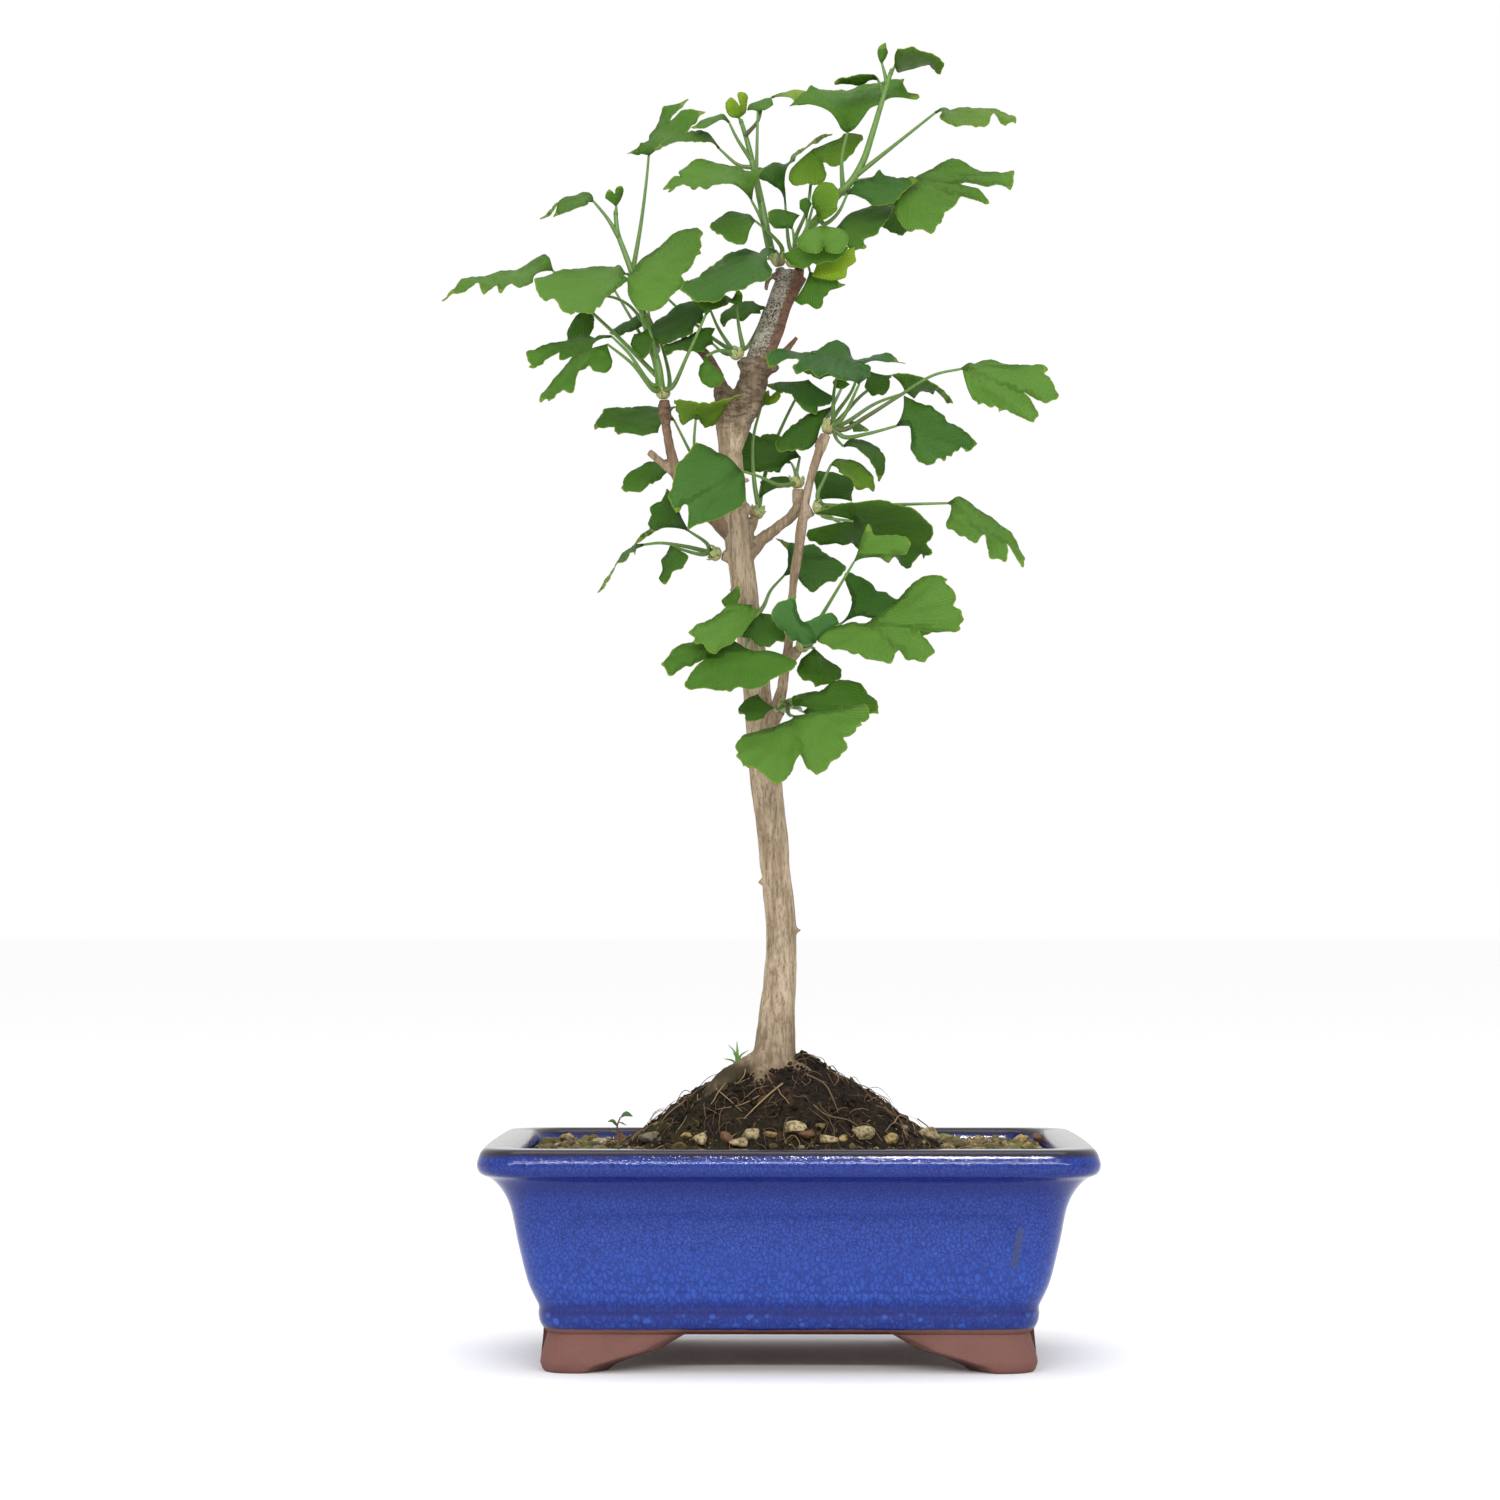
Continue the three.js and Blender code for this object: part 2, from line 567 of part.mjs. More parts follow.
// A leaf: the blade with a thickness, both faces split into triangles alike, a wall round its
// outline, and a four-sided stalk that runs out of its stalk end
function makeLeaf(stem, stalk, rimPlaces) {
  const outline = bladeOutline(stalk.at(-1), rimPlaces);
  const { sheet, faces, rim } = bladeSheet(outline);
  const apex = sheet[0];
  const normals = sheet.map(() => new THREE.Vector3());
  faces.forEach((face) => {
    const [a, b, c] = face.map((i) => sheet[i]);
    const normal = b.clone().sub(a).cross(c.clone().sub(a));
    face.forEach((i) => normals[i].add(normal));
  });
  normals.forEach((normal) => normal.normalize());
  const offset = (side) => sheet.map((point, i) => {
    const reach = i === 0 ? STALK_RADIUS[1] : BLADE_THICK / 2;
    return point.clone().addScaledVector(normals[i], side * reach);
  });
  const points = [...offset(1), ...offset(-1)];
  const under = sheet.length;
  const all = [...faces];
  faces.forEach(([a, b, c]) => all.push([a + under, c + under, b + under]));
  for (let i = 1; i + 1 < rim.length; i++) {
    const [a, b] = [rim[i], rim[i + 1]];
    all.push([b, a, a + under], [b, a + under, b + under]);
  }

  // Rings of the stalk from its foot, each as top, first side, bottom, last side
  const inward = new THREE.Vector3();
  outline.slice(1).forEach((point) => inward.add(point.clone().sub(apex).normalize()));
  inward.addScaledVector(normals[0], -inward.dot(normals[0])).normalize();
  const line = stalk.slice(0, -1).map(seen);
  const start = nearestOn(stem, line[0]);
  if (start.distanceTo(line[0]) < 3) line.shift();
  line.unshift(start);
  line.push(apex.clone().addScaledVector(inward, -STALK_BEND));
  const count = line.length;
  const rings = [];
  let top = normals[0];
  let onward = inward;
  for (let k = count; k >= 0; k--) {
    const centre = k === count ? apex : line[k];
    if (k < count) {
      const ahead = (k + 1 === count ? apex : line[k + 1]).clone().sub(centre).normalize();
      onward = ahead.clone();
      if (k > 0) onward.add(centre.clone().sub(line[k - 1]).normalize()).normalize();
    }
    top = top.clone().addScaledVector(onward, -top.dot(onward)).normalize();
    const side = new THREE.Vector3().crossVectors(onward, top);
    const radius = THREE.MathUtils.lerp(STALK_RADIUS[0], STALK_RADIUS[1], k / count);
    rings.unshift([top, side, top.clone().negate(), side.clone().negate()].map((way) => {
      return centre.clone().addScaledVector(way, radius);
    }));
  }
  const first = points.length;
  rings.slice(0, -1).forEach((ring) => points.push(...ring));
  const [sideOne, sideTwo] = [points.length, points.length + 1];
  points.push(rings.at(-1)[1], rings.at(-1)[3]);
  const end = [0, sideOne, under, sideTwo];
  for (let k = 0; k < count; k++) {
    const here = [0, 1, 2, 3].map((i) => first + 4 * k + i);
    const there = k + 1 < count ? here.map((i) => i + 4) : end;
    for (let i = 0; i < 4; i++) {
      const j = (i + 1) % 4;
      all.push([here[i], here[j], there[j]], [here[i], there[j], there[i]]);
    }
  }
  all.push([first, first + 3, first + 2], [first, first + 2, first + 1]);
  const [one, two] = [rim[1], rim.at(-1)];
  all.push([one, 0, sideOne], [one, sideOne, one + under], [sideOne, under, one + under]);
  all.push([0, two, sideTwo], [two, two + under, sideTwo], [sideTwo, two + under, under]);
  return solidOf(geometryOf(points, all));
}

// The nearest place on a drawn line
function nearestOn(line, point) {
  const curve = new THREE.CatmullRomCurve3(line, false, "centripetal");
  return curve.getPoints(60).reduce((best, place) => {
    return place.distanceTo(point) < best.distanceTo(point) ? place : best;
  });
}

// Sprays: the spur's foot and tip on the wood, the green shoot's route, and for each leaf its
// stalk up to the blade, and the blade's margin
const sprays = {
  shoot_right: {
    spur: "3 368 2, 4 374 2",
    shoot: `6 385 0, 12 393 -3, 18 400 -5, 22 404 -6, 26 411 -7, 29 420 -8, 32 430 -9, 35 440 -10,
      36 443 -10`,
    leaves: [
      ["36 441 -10, 37 444 -10", `38 450.3 -9,
        43 450.7 -8, 50 448 -4, 53.8 445 0, 52.3 441 3, 46 443.8 9, 40 442.3 11`],
      ["34 438 -9, 32.5 445 -9", "31 448.5 -1, 32 451 1, 33.8 452.2 2, 34.6 449 2"],
      ["33 434 -9, 31 439.5 -6", "27.5 441 -5, 21 440.5 -4, 16 438.6 0, 20.5 438 4, 27 438.4 6"],
      ["18 402 -5, 18.6 412 -8, 20.5 421 -10", `1 430.5 6, 8 437.3 12, 20 437 18, 30 438 17, 40 439.6 11,
        45 433 4`],
      ["24 405 -6, 40 419 -13, 51 427.8 -17", `53 426.3 -8, 58 423.6 -11, 65 422.8 -11, 69.5 423.8 -9,
        71 427.3 -6, 74 424 -5, 79 424.5 -1, 77 426.5 4, 66 428.6 10, 56 428.3 9`],
      ["22 403 -3, 33 405 5, 42.5 403.5 0", `37 393 -12, 43 387 -18, 50 386.5 -19, 54 393 -14,
        59.5 399.5 -10, 69 396.5 -8, 60 403.3 -6, 77 401.5 -2, 78.3 407 0, 67 407.6 2, 57 412 3,
        50 408 2`],
      ["12.5 389 -5, 17 392.5 -8, 20.5 399.5 -10",
        `22.5 403.5 2, 28 405 5, 32 407.8 7, 38 405.6 6, 45 404.5 3,
        40 400 -2, 36 396 -5, 29 396.6 -5`],
      ["9 381 0, 13 385 -1, 17 387.5 -3", `23 393 8, 31 396 9, 36.5 395.3 5, 34.5 391 -2, 30.5 386.2 -7,
        27 383.8 -9, 27.3 381.4 -11, 23 380 -13, 19.5 382.5 -10`],
      ["19 399.5 1, 26 400.5 11, 33 398 14", `32 388.3 8,
        36 385.9 9, 39.5 385 10, 42 387.5 12, 46 393 12, 44 399 9`],
      ["20 401.5 1, 27 398 22, 33 397 36", `30 403 9,
        38 404 16, 48 402 18, 54 395 13, 48 390 5, 39 391 0`],
    ],
  },
  shoot_centre: {
    spur: "-2 368 1, -3 374 1",
    shoot: "-5 377 2, -7 384 3, -8.5 392 4, -10.5 402 5, -12.3 410 6, -14.2 418 7, -16.5 425.5 8",
    leaves: [
      ["-6 381 0, -9.5 391 -5, -12.8 397.5 -8",
        `-8 408.4 0, -14 407.8 6, -22 409.9 9, -32 411.5 8, -38 407.4 4,
        -43 401.5 0, -37 402.6 -6, -31 401 -9, -25 403.3 -12, -19.5 402.8 -11`],
      ["-12 409 6, -17 409.5 5, -24 415.5 4",
        `-28.3 421 3, -34 421.5 4, -41 420 3, -46.5 415.3 0, -43 416.3 -3,
        -36 418 -5, -29 417.3 -5`],
      ["-13 411 6, -17.5 418.5 4, -20.5 424.6 3",
        `-22.5 427 5, -26 427.6 6, -30 426 4, -33.7 423.1 0, -29 422.5 -5,
        -25 423.6 -6`],
      ["-16.5 424 8, -17 426 8", `-21.5 428 -1, -21.6 431.5 -2, -20 433 -2, -17.6 431.2 0, -17.3 434.8 1,
        -15.5 435.6 2, -14 433.5 3, -14.4 429.5 2`],
      ["-10.2 398 1.5, -10.9 407 -1.2, -10.8 416 -2.5, -10.5 428.3 -3",
        `-14.2 428.7 5, -13.5 430.5 6, -9 432.6 6, -6 433 4, -5.2 430.8 0,
        -8 428.7 -4`],
      ["-10.5 425 -3, -8.5 431 2, -5.5 433.3 3",
        `-1 435.2 5, 4 435.9 6, 8.5 435.4 5, 8.9 432.8 1, 6 430.6 -3,
        3 430.6 -5, 0 433 -5`],
      ["-2 380 0, -6.5 386 -5, -11.5 390.2 -8",
        `-15 392.6 9, -21 393.4 9, -24.5 391.5 6, -27.2 388.3 1, -24 385.7 -4,
        -20 382.7 -7, -17 381.8 -9, -14.3 383.2 -8`],
      ["-3 377.5 -10, -4 379.5 -18",
        `-10 379.4 12, -18 380.2 14, -24 376.2 12, -28.5 371.6 8, -36 368.6 4, -33 363 -3,
        -26 361.6 -8, -15 367.3 -16, -8 370 -18, -6 374.5 -14`],
      ["-4 377 6, -7 377 22, -10 376 34", `-12 379 6,
        -21 378.5 12, -28 373 14, -31 367 10, -24 365.5 4, -15 369 0`],
    ],
  },
  crown_young: {
    spur: "1 367 -2, 1.5 373.5 -3",
    shoot: "2.5 377 -4",
    leaves: [
      ["5 381 -9, 9 387 -17, 12.5 388.3 -23", `3 384 -1, 4.5 381 -3, 8 379 -5, 11 378.8 -6, 12.3 381.3 -3,
        14.5 379 -6, 18 379.4 -6, 20.8 383.5 -4, 20 386.6 -1`],
      ["3 380 -10, 5.5 382.7 -16, 8 384 -20",
        `-2 378.5 2, 1 374.8 0, 5 373.3 -2, 8.5 375.3 -2, 12 375.2 -3,
        17.5 377 -4, 21 381 -3`],
      ["5 377.5 -9, 8 378.5 -13, 10 378 -14",
        `8 370.8 1, 12 369.8 -1, 16 369.3 -2, 20.2 370.5 -3, 20.6 374 -4,
        23.3 376 -4, 23 381 -4`],
      ["4.5 376 -7, 6.5 375.5 -9, 7.5 372.5 -9",
        `2 363 1, 5 361.2 -1, 9.5 359.7 -2, 12 362.7 -2, 14 366 -3, 19.8 368 -3,
        16 371 -4`],
      ["6 382 -5, 7 389 -5, 8.5 395 -7", `9.5 401 0, 12.5 404 -1, 16 403 -2, 17.6 399 -3, 17 394.5 -3,
        13.5 391 -2, 10 391.6 1`],
      ["2.5 384 3, 6.5 394 6, 8 405 6, 8.7 415 6",
        `1 409 -2, 0 405 -4, 2.5 402.4 -6, 7 403.3 -7, 11 402.7 -6,
        13 406 -5, 12 410.4 -3, 16.5 409.5 -3, 21 412.5 -2, 25.5 419 0, 19 420.5 4, 13 418 4`],
      ["0.5 381 0, -0.5 389 4, -1 396 8",
        `-4.2 401.2 -2, -9 404 -4, -12.5 407.8 -6, -6 410.3 4, -1 409.9 8, 3 412.8 8, 9 418.1 6,
        15 420.5 3, 9 416.7 0, 2 411.4 -3`],
      ["4.5 384 -7, 6.3 388 -9, 6.5 390.8 -9", "4 394.5 0, 4 397.2 1, 6.5 398.2 2, 8.2 396 2"],
      ["2 379 -5, 2 384 -9, 1.5 387.3 -10", `-1.5 387.4 1,
        -4.7 387.5 0, -6.7 390 -1, -7 393 0, -4 394.4 2, 0 393.5 4, 4 392 4`],
    ],
  },
  twig_left: {
    spur: "-42.5 322 -2, -43 328 -2",
    shoot: `-44 332 -3, -45 339 -4, -47.5 348 -4, -51 361 -1, -54 372 1, -56.5 379 2, -59 386 3,
      -59.8 393.5 4`,
    leaves: [
      ["-59 384 3, -62.5 391 2, -67.5 397.2 1",
        `-68.6 399.3 5, -72 399.5 6, -77 398.9 6, -86 391 1, -80.4 395 1,
        -81.3 392 -2, -77 392.9 -5, -73 395 -6, -69.5 396 -5`],
      ["-59.7 392 4, -59.5 395.3 4", `-63.2 398 -1,
        -62 401 -1, -60.3 399.4 0, -59.5 402 1, -57.5 402.3 2, -57.2 399.3 3`],
      ["-54 371 0, -56.5 371.8 -5", `-60 374.7 11, -70 374.3 12, -80 372.6 8, -88 370 2, -86.5 364.5 -4,
        -83.5 362 -6, -80.5 363 -7, -79 359.5 -9, -75.5 357.7 -11, -70 358.3 -12, -65.5 360.3 -12,
        -62 364.5 -10, -59 368 -6`],
      ["-50.5 358 -5, -55 365 -7, -54 371.8 -9", `-47 377.5 9, -40 384.3 11, -32 387.7 9, -29.3 385.3 5,
        -31 380 2, -37 371.2 -2, -34.7 368.5 -2, -40 364 -6, -45 359.7 -9, -50 359.2 -9, -54.3 362.5 -7,
        -55.8 367 -4`],
      ["-53.5 372 1, -51 389 9, -49 405 16, -48.3 413 18",
        `-50 414.3 5, -56 414 3, -51 417.3 5, -47.5 421 8,
        -43 430 10, -34.5 432.5 6, -41 425 3, -36 428.7 0, -28.5 428 -4, -31.8 424.8 -6, -34.3 421.6 -8,
        -39 418.3 -9`],
      ["-47 333 -6, -55 344 -9, -61 350 -11",
        `-66 349.6 7, -76 348.7 9, -90.5 344.8 6, -90 341.2 4, -87.5 339.6 3,
        -80 344.6 2, -79 341.8 0, -74 343 -1, -68 345.6 -2`],
      ["-46 331 -6, -54 340.5 -15, -62.5 347.3 -22", `-61 343 2, -61 339.5 0, -64 337.4 -3, -67.5 338 -4,
        -69 340 -3, -72 338 -4, -74.5 330.8 -4, -80 329.5 -3, -86 327 0, -84 331.3 3, -77 339.5 6,
        -70 345 5`],
      ["-45 335 -5, -59 350 4, -70 360.5 8, -81.5 373 8",
        `-83.5 378.2 3, -92 374.4 6, -103 371.9 7, -113 370.3 5,
        -120 362.8 2, -112 366.5 -1, -107 369 -3, -105.3 365 -5, -101 367.6 -5, -99.5 365.5 -7,
        -93 367 -9,
        -88 369.5 -9`],
      ["-47 346 2, -49.3 353.5 10.5, -56 361.5 14, -64 364 14, -70.5 360.5 12",
        `-73.5 357 3, -76.2 352.5 3,
        -76 347.5 0, -71 347 -2, -68.5 350.5 -2, -67 354.5 0, -67.5 358.3 3`],
      ["-41 333 3, -43.5 346 12, -48.5 357.8 15", `-51 358.2 4,
        -57 354.5 5, -62 351.3 3, -58 350.2 -1, -54 351.9 -2, -50 353.8 0`],
      ["-46 341 -6, -47 349 -9, -48.5 352.5 -9", `-53.3 350.8 3,
        -54.5 347.3 1, -52.5 344 -1, -50 342.2 -2, -48 344.3 -3, -46.5 348.5 -2`],
      ["-40.5 332 -6, -35 343 -13, -28.5 357.5 -17", `-33 361.3 2, -31 364.5 4, -28 366.5 5, -24 365.5 5,
        -20.5 362.7 2, -21 360.9 -1, -24.5 359.7 -3`],
      ["-45 340 3, -53 354 22, -60 366 36", `-61 371 8,
        -70 372 14, -79 369.5 15, -82 366 12, -77 361 6, -68 361 0`],
      ["-45 345 0, -48 356 18, -48.5 363 30", `-52 370 6,
        -47 377 12, -38 383 15, -34 380 13, -38 370 9, -43 362 3`],
    ],
  },
  fork_left: {
    spur: "-14 338 -1, -16.5 342 -2",
    shoot: "-15.5 345.5 -3",
    leaves: [
      ["-19 345 0, -24 352.5 2, -27 359.3 3",
        `-36 361.8 6, -45.5 355.4 5, -50 350.3 1, -46 347.9 -4, -41 347.4 -6,
        -36 349.8 -7, -32.5 352 -6, -29 356 -3`],
      ["-16 346 -4, -17 353 -5, -18 361 -5", `-22 361.8 -2,
        -21.8 364.3 -1, -19.5 363 0, -17.5 366.3 1, -15.8 364.5 1, -16 361.6 0`],
      ["-13.5 347 4, -10 354 7, -8 360 9",
        `-12 362.3 6, -18 361.3 7, -23 357.5 4, -22.3 353.2 0, -19.5 356 -1,
        -16 355.2 -2, -13 357.6 -2, -9.5 357.8 -1`],
      ["-18 341 -3, -22 344 -3, -26 347.3 -3",
        `-25.2 352.6 1, -29 353 2, -33.5 350.5 3, -38 348.6 2, -43.5 346.5 0,
        -42 343.4 -2, -38.5 345.4 -4, -34 344.5 -5, -29 344.8 -5`],
      ["-18 342 -3, -24 345 -8, -28.5 343 -11", `-30.5 339.8 1,
        -31 336.5 0, -29.5 333.5 -1, -26.5 332 -2, -23 333.5 -2, -22.2 336.6 -1`],
      ["-18 344 2, -27 350 12, -42 363.5 22, -44 366 25", `-50 371 5,
        -45 378 11, -38 383 13, -34 379 9, -38 371 2`],
    ],
  },
  trunk_knob: {
    spur: "-24 286 2, -27.5 290 4",
    shoot: "",
    leaves: [
      ["-31 303 0, -32.5 312 -8, -32 321 -14", `-34.3 320.6 3, -36.5 318.9 5, -39.3 327.8 4, -34 327.4 -3,
        -26 326.9 -5, -14.5 330.3 -2, -20 327.5 4, -25.3 319.3 7, -28.5 318.3 6, -30.3 320 4`],
      ["-29 300 8, -34 310 12, -39.5 321 13",
        `-38.3 325.3 6, -46 325.4 10, -56 325.5 9, -64 324.3 6, -67 319.3 2,
        -60 318.5 -1, -58.8 315.8 -3, -55 316.5 -4, -50 315.3 -6, -45 316.4 -6`],
      ["-30 294 7, -34 300 9, -38.5 304.3 9",
        `-42 307.6 5, -49 306.2 6, -55 302.6 3, -57.9 298.5 0, -56.5 296.2 -2,
        -51 296.5 -4, -48 299 -4, -44 300.3 -3`],
    ],
  },
  twig_right: {
    spur: "11 311 -4.5, 13 316 -4",
    shoot: "15.5 318.5 -5",
    leaves: [
      ["19 322 -9, 24.5 333.3 -16",
        `28.5 335.5 8, 28 340 10, 20 341.6 11, 12 343.6 9, 2 344.2 5, -5 345.7 1,
        -8 342.7 -3, -6.5 339 -6, -1 341.6 -6, 4 342.3 -4, 1.5 339 -7, 3 336.8 -8, 8.3 338.2 -7,
        10.5 335.4 -9, 15 336 -6`],
      ["16.5 323 2, 22 331 6, 25 339.8 8",
        `12 341 -4, 7 344 -2, 12 347.3 2, 16.5 348.9 5, 20 347.3 7, 22.5 342.6 8,
        28 342.4 8, 33 344.1 5, 40.3 340.4 1, 33 341.1 -3`],
      ["15.5 323 -3, 15.7 330 -2, 17 337 0", "15.3 334 0, 16 332.2 -1, 19 331.6 -1, 21.3 333.2 0"],
      ["18.5 322 3, 26 330 9, 35.5 336 12", `28.3 337.6 3,
        26.9 333 -2, 29 329.9 -5, 31 330.3 -6, 33 329.7 -6, 34.9 333 -4`],
      ["20 320 -1, 30 326.5 0, 40.5 330.3 -1",
        `35.5 336.2 -3, 40 337.3 -4, 46 336.3 -4, 52 333 -2, 57 327.2 0,
        55 327.3 2, 50.5 331 4, 50 329.6 5, 46 331 6, 43.5 328.9 5`],
      ["19 317.5 -6, 27 322 -10, 38 329 -13, 50 336.3 -16, 60 338.6 -18",
        `61.5 332.5 -2, 64 328 -5, 70 325.5 -7,
        76 323.8 -8, 84.5 320.2 -8, 86 323.5 -6, 81.3 330.3 -4, 89 326.6 -5, 93.4 329.8 -3, 89.8 338.3 2,
        80 340 6, 70 341.6 8, 64 340.6 7`],
      ["19 315 -5, 27 316 -8, 37.5 318.8 -10",
        `39.8 329.2 6, 44 327.2 7, 49.5 325.8 6, 55 320 4, 60 317.3 3,
        65 312.8 1, 61.3 309.8 -2, 59.3 311.3 -2, 54 306.7 -6, 51 307.6 -7, 48 305.8 -8, 44 307.3 -9,
        42 311.3 -8, 42 316 -5`],
      ["15.5 321 -2, 15.5 325.5 1", `6.5 322.8 3,
        0 317.7 1, -4.7 312.6 -1, -3.5 310 -3, 2 310.4 -3, 6.3 310.3 -2, 10 313.7 -1`],
      ["17.5 318 -1, 20.5 320.5 2", "23.5 320.3 3, 28 317.3 3, 25.5 316.8 0, 22.5 316.7 -2"],
      ["16.5 314.5 -5, 19 311.7 -4", `23 314 5,
        29 311.6 5, 33.4 308.8 3, 33 304.5 1, 31.2 300 0, 29 305 -3, 25 309.3 -5`],
      ["13.5 321 3, 17 329 20, 20 335 34", "22 343 6, 13 344.5 12, 5 343 15, 3 339 12, 11 335 4"],
    ],
  },
  cross_left: {
    spur: "3.8 292 -2, 3.3 297 -2",
    shoot: "",
    leaves: [
      ["-3 298.3 -12, -10 301.3 -19, -16.8 303.4 -24",
        `-24 309.4 3, -31.5 313.4 0, -36.5 307.5 -6, -39.5 300 -9,
        -41.5 294 -11, -38.7 288.9 -13, -36 291.8 -11, -34.7 283.3 -14, -28 286 -14, -20 288.6 -12,
        -15.2 292.4 -9, -15 298 -4`],
      ["3 303 5, 4 308 12",
        `3 313.5 3, -5 316 4, -12 315.5 4, -16 318.3 3, -17 311 2, -16 303 0, -9 303 -1,
        -3 302.7 -2`],
      ["3 300 5, 2 304 22, 1 306 34", "-1 313 6, -8 314 11, -14 310 12, -13 304.5 8, -6 303 1"],
    ],
  },
  cross_right: {
    spur: "5 288 -5, 8.5 289.5 -6",
    shoot: "",
    leaves: [
      ["12 287.5 -14, 22.5 285.7 -20",
        `6.8 282.5 15, 11 277.8 18, 18 277.9 20, 25 274.6 22, 34.5 271.6 22, 36.5 273.6 20,
        40.5 269.6 18, 46 274.6 14, 49.5 275.6 11, 47.7 278.2 9, 49.7 283 5, 43 289.5 -3, 34 292.8 -7,
        25 292.7 -8`],
      ["9 291.5 2, 9.5 293 7", `7.3 302.8 3,
        11 303 5, 16.5 302.6 8, 22.8 299.8 9, 22 295.5 7, 22 292.7 5`],
      ["20 291 -13, 40 291.6 -17, 55.2 292 -19", `55.3 287.7 -2, 54.4 285 -4, 59 280.8 -6, 64.5 278.4 -7,
        67.3 281.3 -5, 69.8 272.7 -6, 74.7 271.9 -5, 75 277.8 -3, 80.8 269.7 -1, 81.3 273 1, 76.5 282 3,
        68 288 5, 60.5 293.3 5`],
      ["10 294.5 -8, 12 299.5 -8, 14.8 305.5 -8",
        `18 307.8 4, 23 307 5, 27.5 303.5 4, 29.8 298.5 1, 29.6 296.1 0,
        27 297.3 -3, 23.3 297.6 -5, 22 301.3 -5, 17.5 303 -5`],
      ["12 289 4, 18 285 22, 20 284 36", `22 289.5 8,
        32 289.5 15, 42 285 18, 45 280 14, 38 276.5 7, 28 279 1`],
    ],
  },
  trunk_right: {
    spur: "-14.5 281 2, -11.8 286.8 5",
    shoot: "",
    leaves: [
      ["-10.5 292 8, -10.2 293.8 9.5", `-9.8 299.3 2,
        -5 301.2 3, 1 300.9 4, 4.6 299.6 3, 2.5 297.9 0, -4 297.4 -2`],
      ["-11.8 300 7, -12 315 8, -9.4 325.5 8",
        `-8.5 330.3 0, -6.8 331.2 1, -6.2 329 -1, -3.7 331 -2, -2.5 329.3 -3,
        -4.2 327 -3, -7 326 -2`],
      ["-8.5 300 16, -5 312 20, 3 329 12, 7 334.6 5",
        `-3 334.2 2, -7.6 333 0, -2.8 330.3 -4, 0.5 330 -5, 3.5 326.5 -7,
        6 323.8 -7, 9.5 322.7 -7, 10.6 325.5 -6, 14 326 -5, 15.8 329 -2`],
    ],
  },
  trunk_left: {
    spur: "-19 273 -1, -23 274 -2",
    shoot: "",
    leaves: [
      ["-28 278 0, -34.5 282.6 2", `-37.5 288 3, -42.5 297.3 4, -44 293.3 2, -47.8 291 1, -47.3 287.5 -1,
        -48.5 284.7 -3, -52.3 279 -6, -47 282.6 -8, -42 283.8 -8`],
      ["-35 277 -6, -44 278.3 -5, -50 277.7 -3", `-54.5 277 4, -57.5 274.5 4, -61 268.5 3, -65.6 261.7 0,
        -63.5 262.6 -3, -60 269 -4, -56.5 271.8 -5, -53.5 274.8 -5`],
      ["-30 274.3 -9, -36 275.8 -12, -40.5 277.4 -13",
        `-42 274.3 3, -43.8 272 2, -43.5 269 0, -44.5 266 -1,
        -42.6 264.3 -3, -40 267.8 -5, -36.6 269.7 -7, -34.3 273.4 -6`],
    ],
  },
  twig_low: {
    spur: "0.5 238.5 -5, 3.5 241.5 -8",
    shoot: "",
    leaves: [
      ["12 254 -15, 22.5 271.5 -24", `26 281.5 -2, 27.6 285 -3, 29.5 280.9 -3, 34 280.9 -4, 39.5 280.6 -5,
        42.4 278 -6, 40.3 274 -6, 36 273.8 -5, 34.3 271.9 -5, 31.5 273.4 -4`],
      ["12 246.5 -14, 20 249.6 -20, 27 250.2 -24",
        `11 249.3 2, 9.7 246.3 -2, 16 241.7 -8, 23 240 -10, 29 237.7 -13,
        35.5 237.1 -14, 38 241.2 -10, 41 238.3 -13, 47 236.9 -12, 50.3 241 -9, 45 248 -5, 57.5 247.7 -3,
        60.3 252 0, 57 256.5 1, 57.7 259.5 3, 53.7 265 5, 50 267.4 6, 43 264.3 7, 37.5 259.3 6`],
      ["10 246 -9, 18.5 250.6 -8",
        `21.2 254.5 3, 22.6 259.5 6, 19.7 268 9, 24 266.6 10, 28.5 264.3 9, 31 261.6 8, 34 260.8 7,
        38 259 5,
        40 254 1`],
      ["6 243 -18, 9.3 244 -28",
        `1 244.2 -2, -1.5 247 -3, -3.5 249 -4, -6 253.5 -5, -3.5 258 -3, 2.6 260.2 -1,
        3.3 254.5 -2, 5.3 250.9 -3, 11 253.3 -1, 15 254.1 1, 17.4 250.5 2`],
      ["7 242.5 -5, 9 241.8 -3",
        `12.5 238.5 4, 18.3 234.5 3, 18 231.7 0, 14 229.5 -2, 9.3 228.6 -4, 8 230.4 -4,
        5.3 230.9 -4, 2.8 233.8 -3, 4.3 238 0`],
      ["5 244.5 -4, 18 249 18, 27 250 32", `30 260 6,
        39 258 14, 49 256 19, 54 250 16, 44 245 10, 34 243 2`],
    ],
  },
  trunk_low_left: {
    spur: "-13 249 -3, -12.5 250.5 -8",
    shoot: "",
    leaves: [
      ["-8.5 256.5 -5, -6 262 3, -1.5 267 7",
        `-0.2 270.5 2, -0.2 275.5 4, -4.3 280.2 6, 0 278.3 8, 9 277.9 9, 14 274.3 6, 20 270 2,
        17.5 266.2 -2,
        13 265.3 -3, 8.5 261.2 -5, 4 264.8 -5`],
      ["-10 252 -15, -9.5 253.8 -21", `-14 250.3 -4,
        -17.5 246.4 -5, -13 245 -6, -9.5 242.3 -7, -6.5 242.6 -7, -4 244.3 -6, -1.3 244.2 -4,
        -2 249.5 -1`],
      ["-13.5 254 -19, -12.5 256.5 -27",
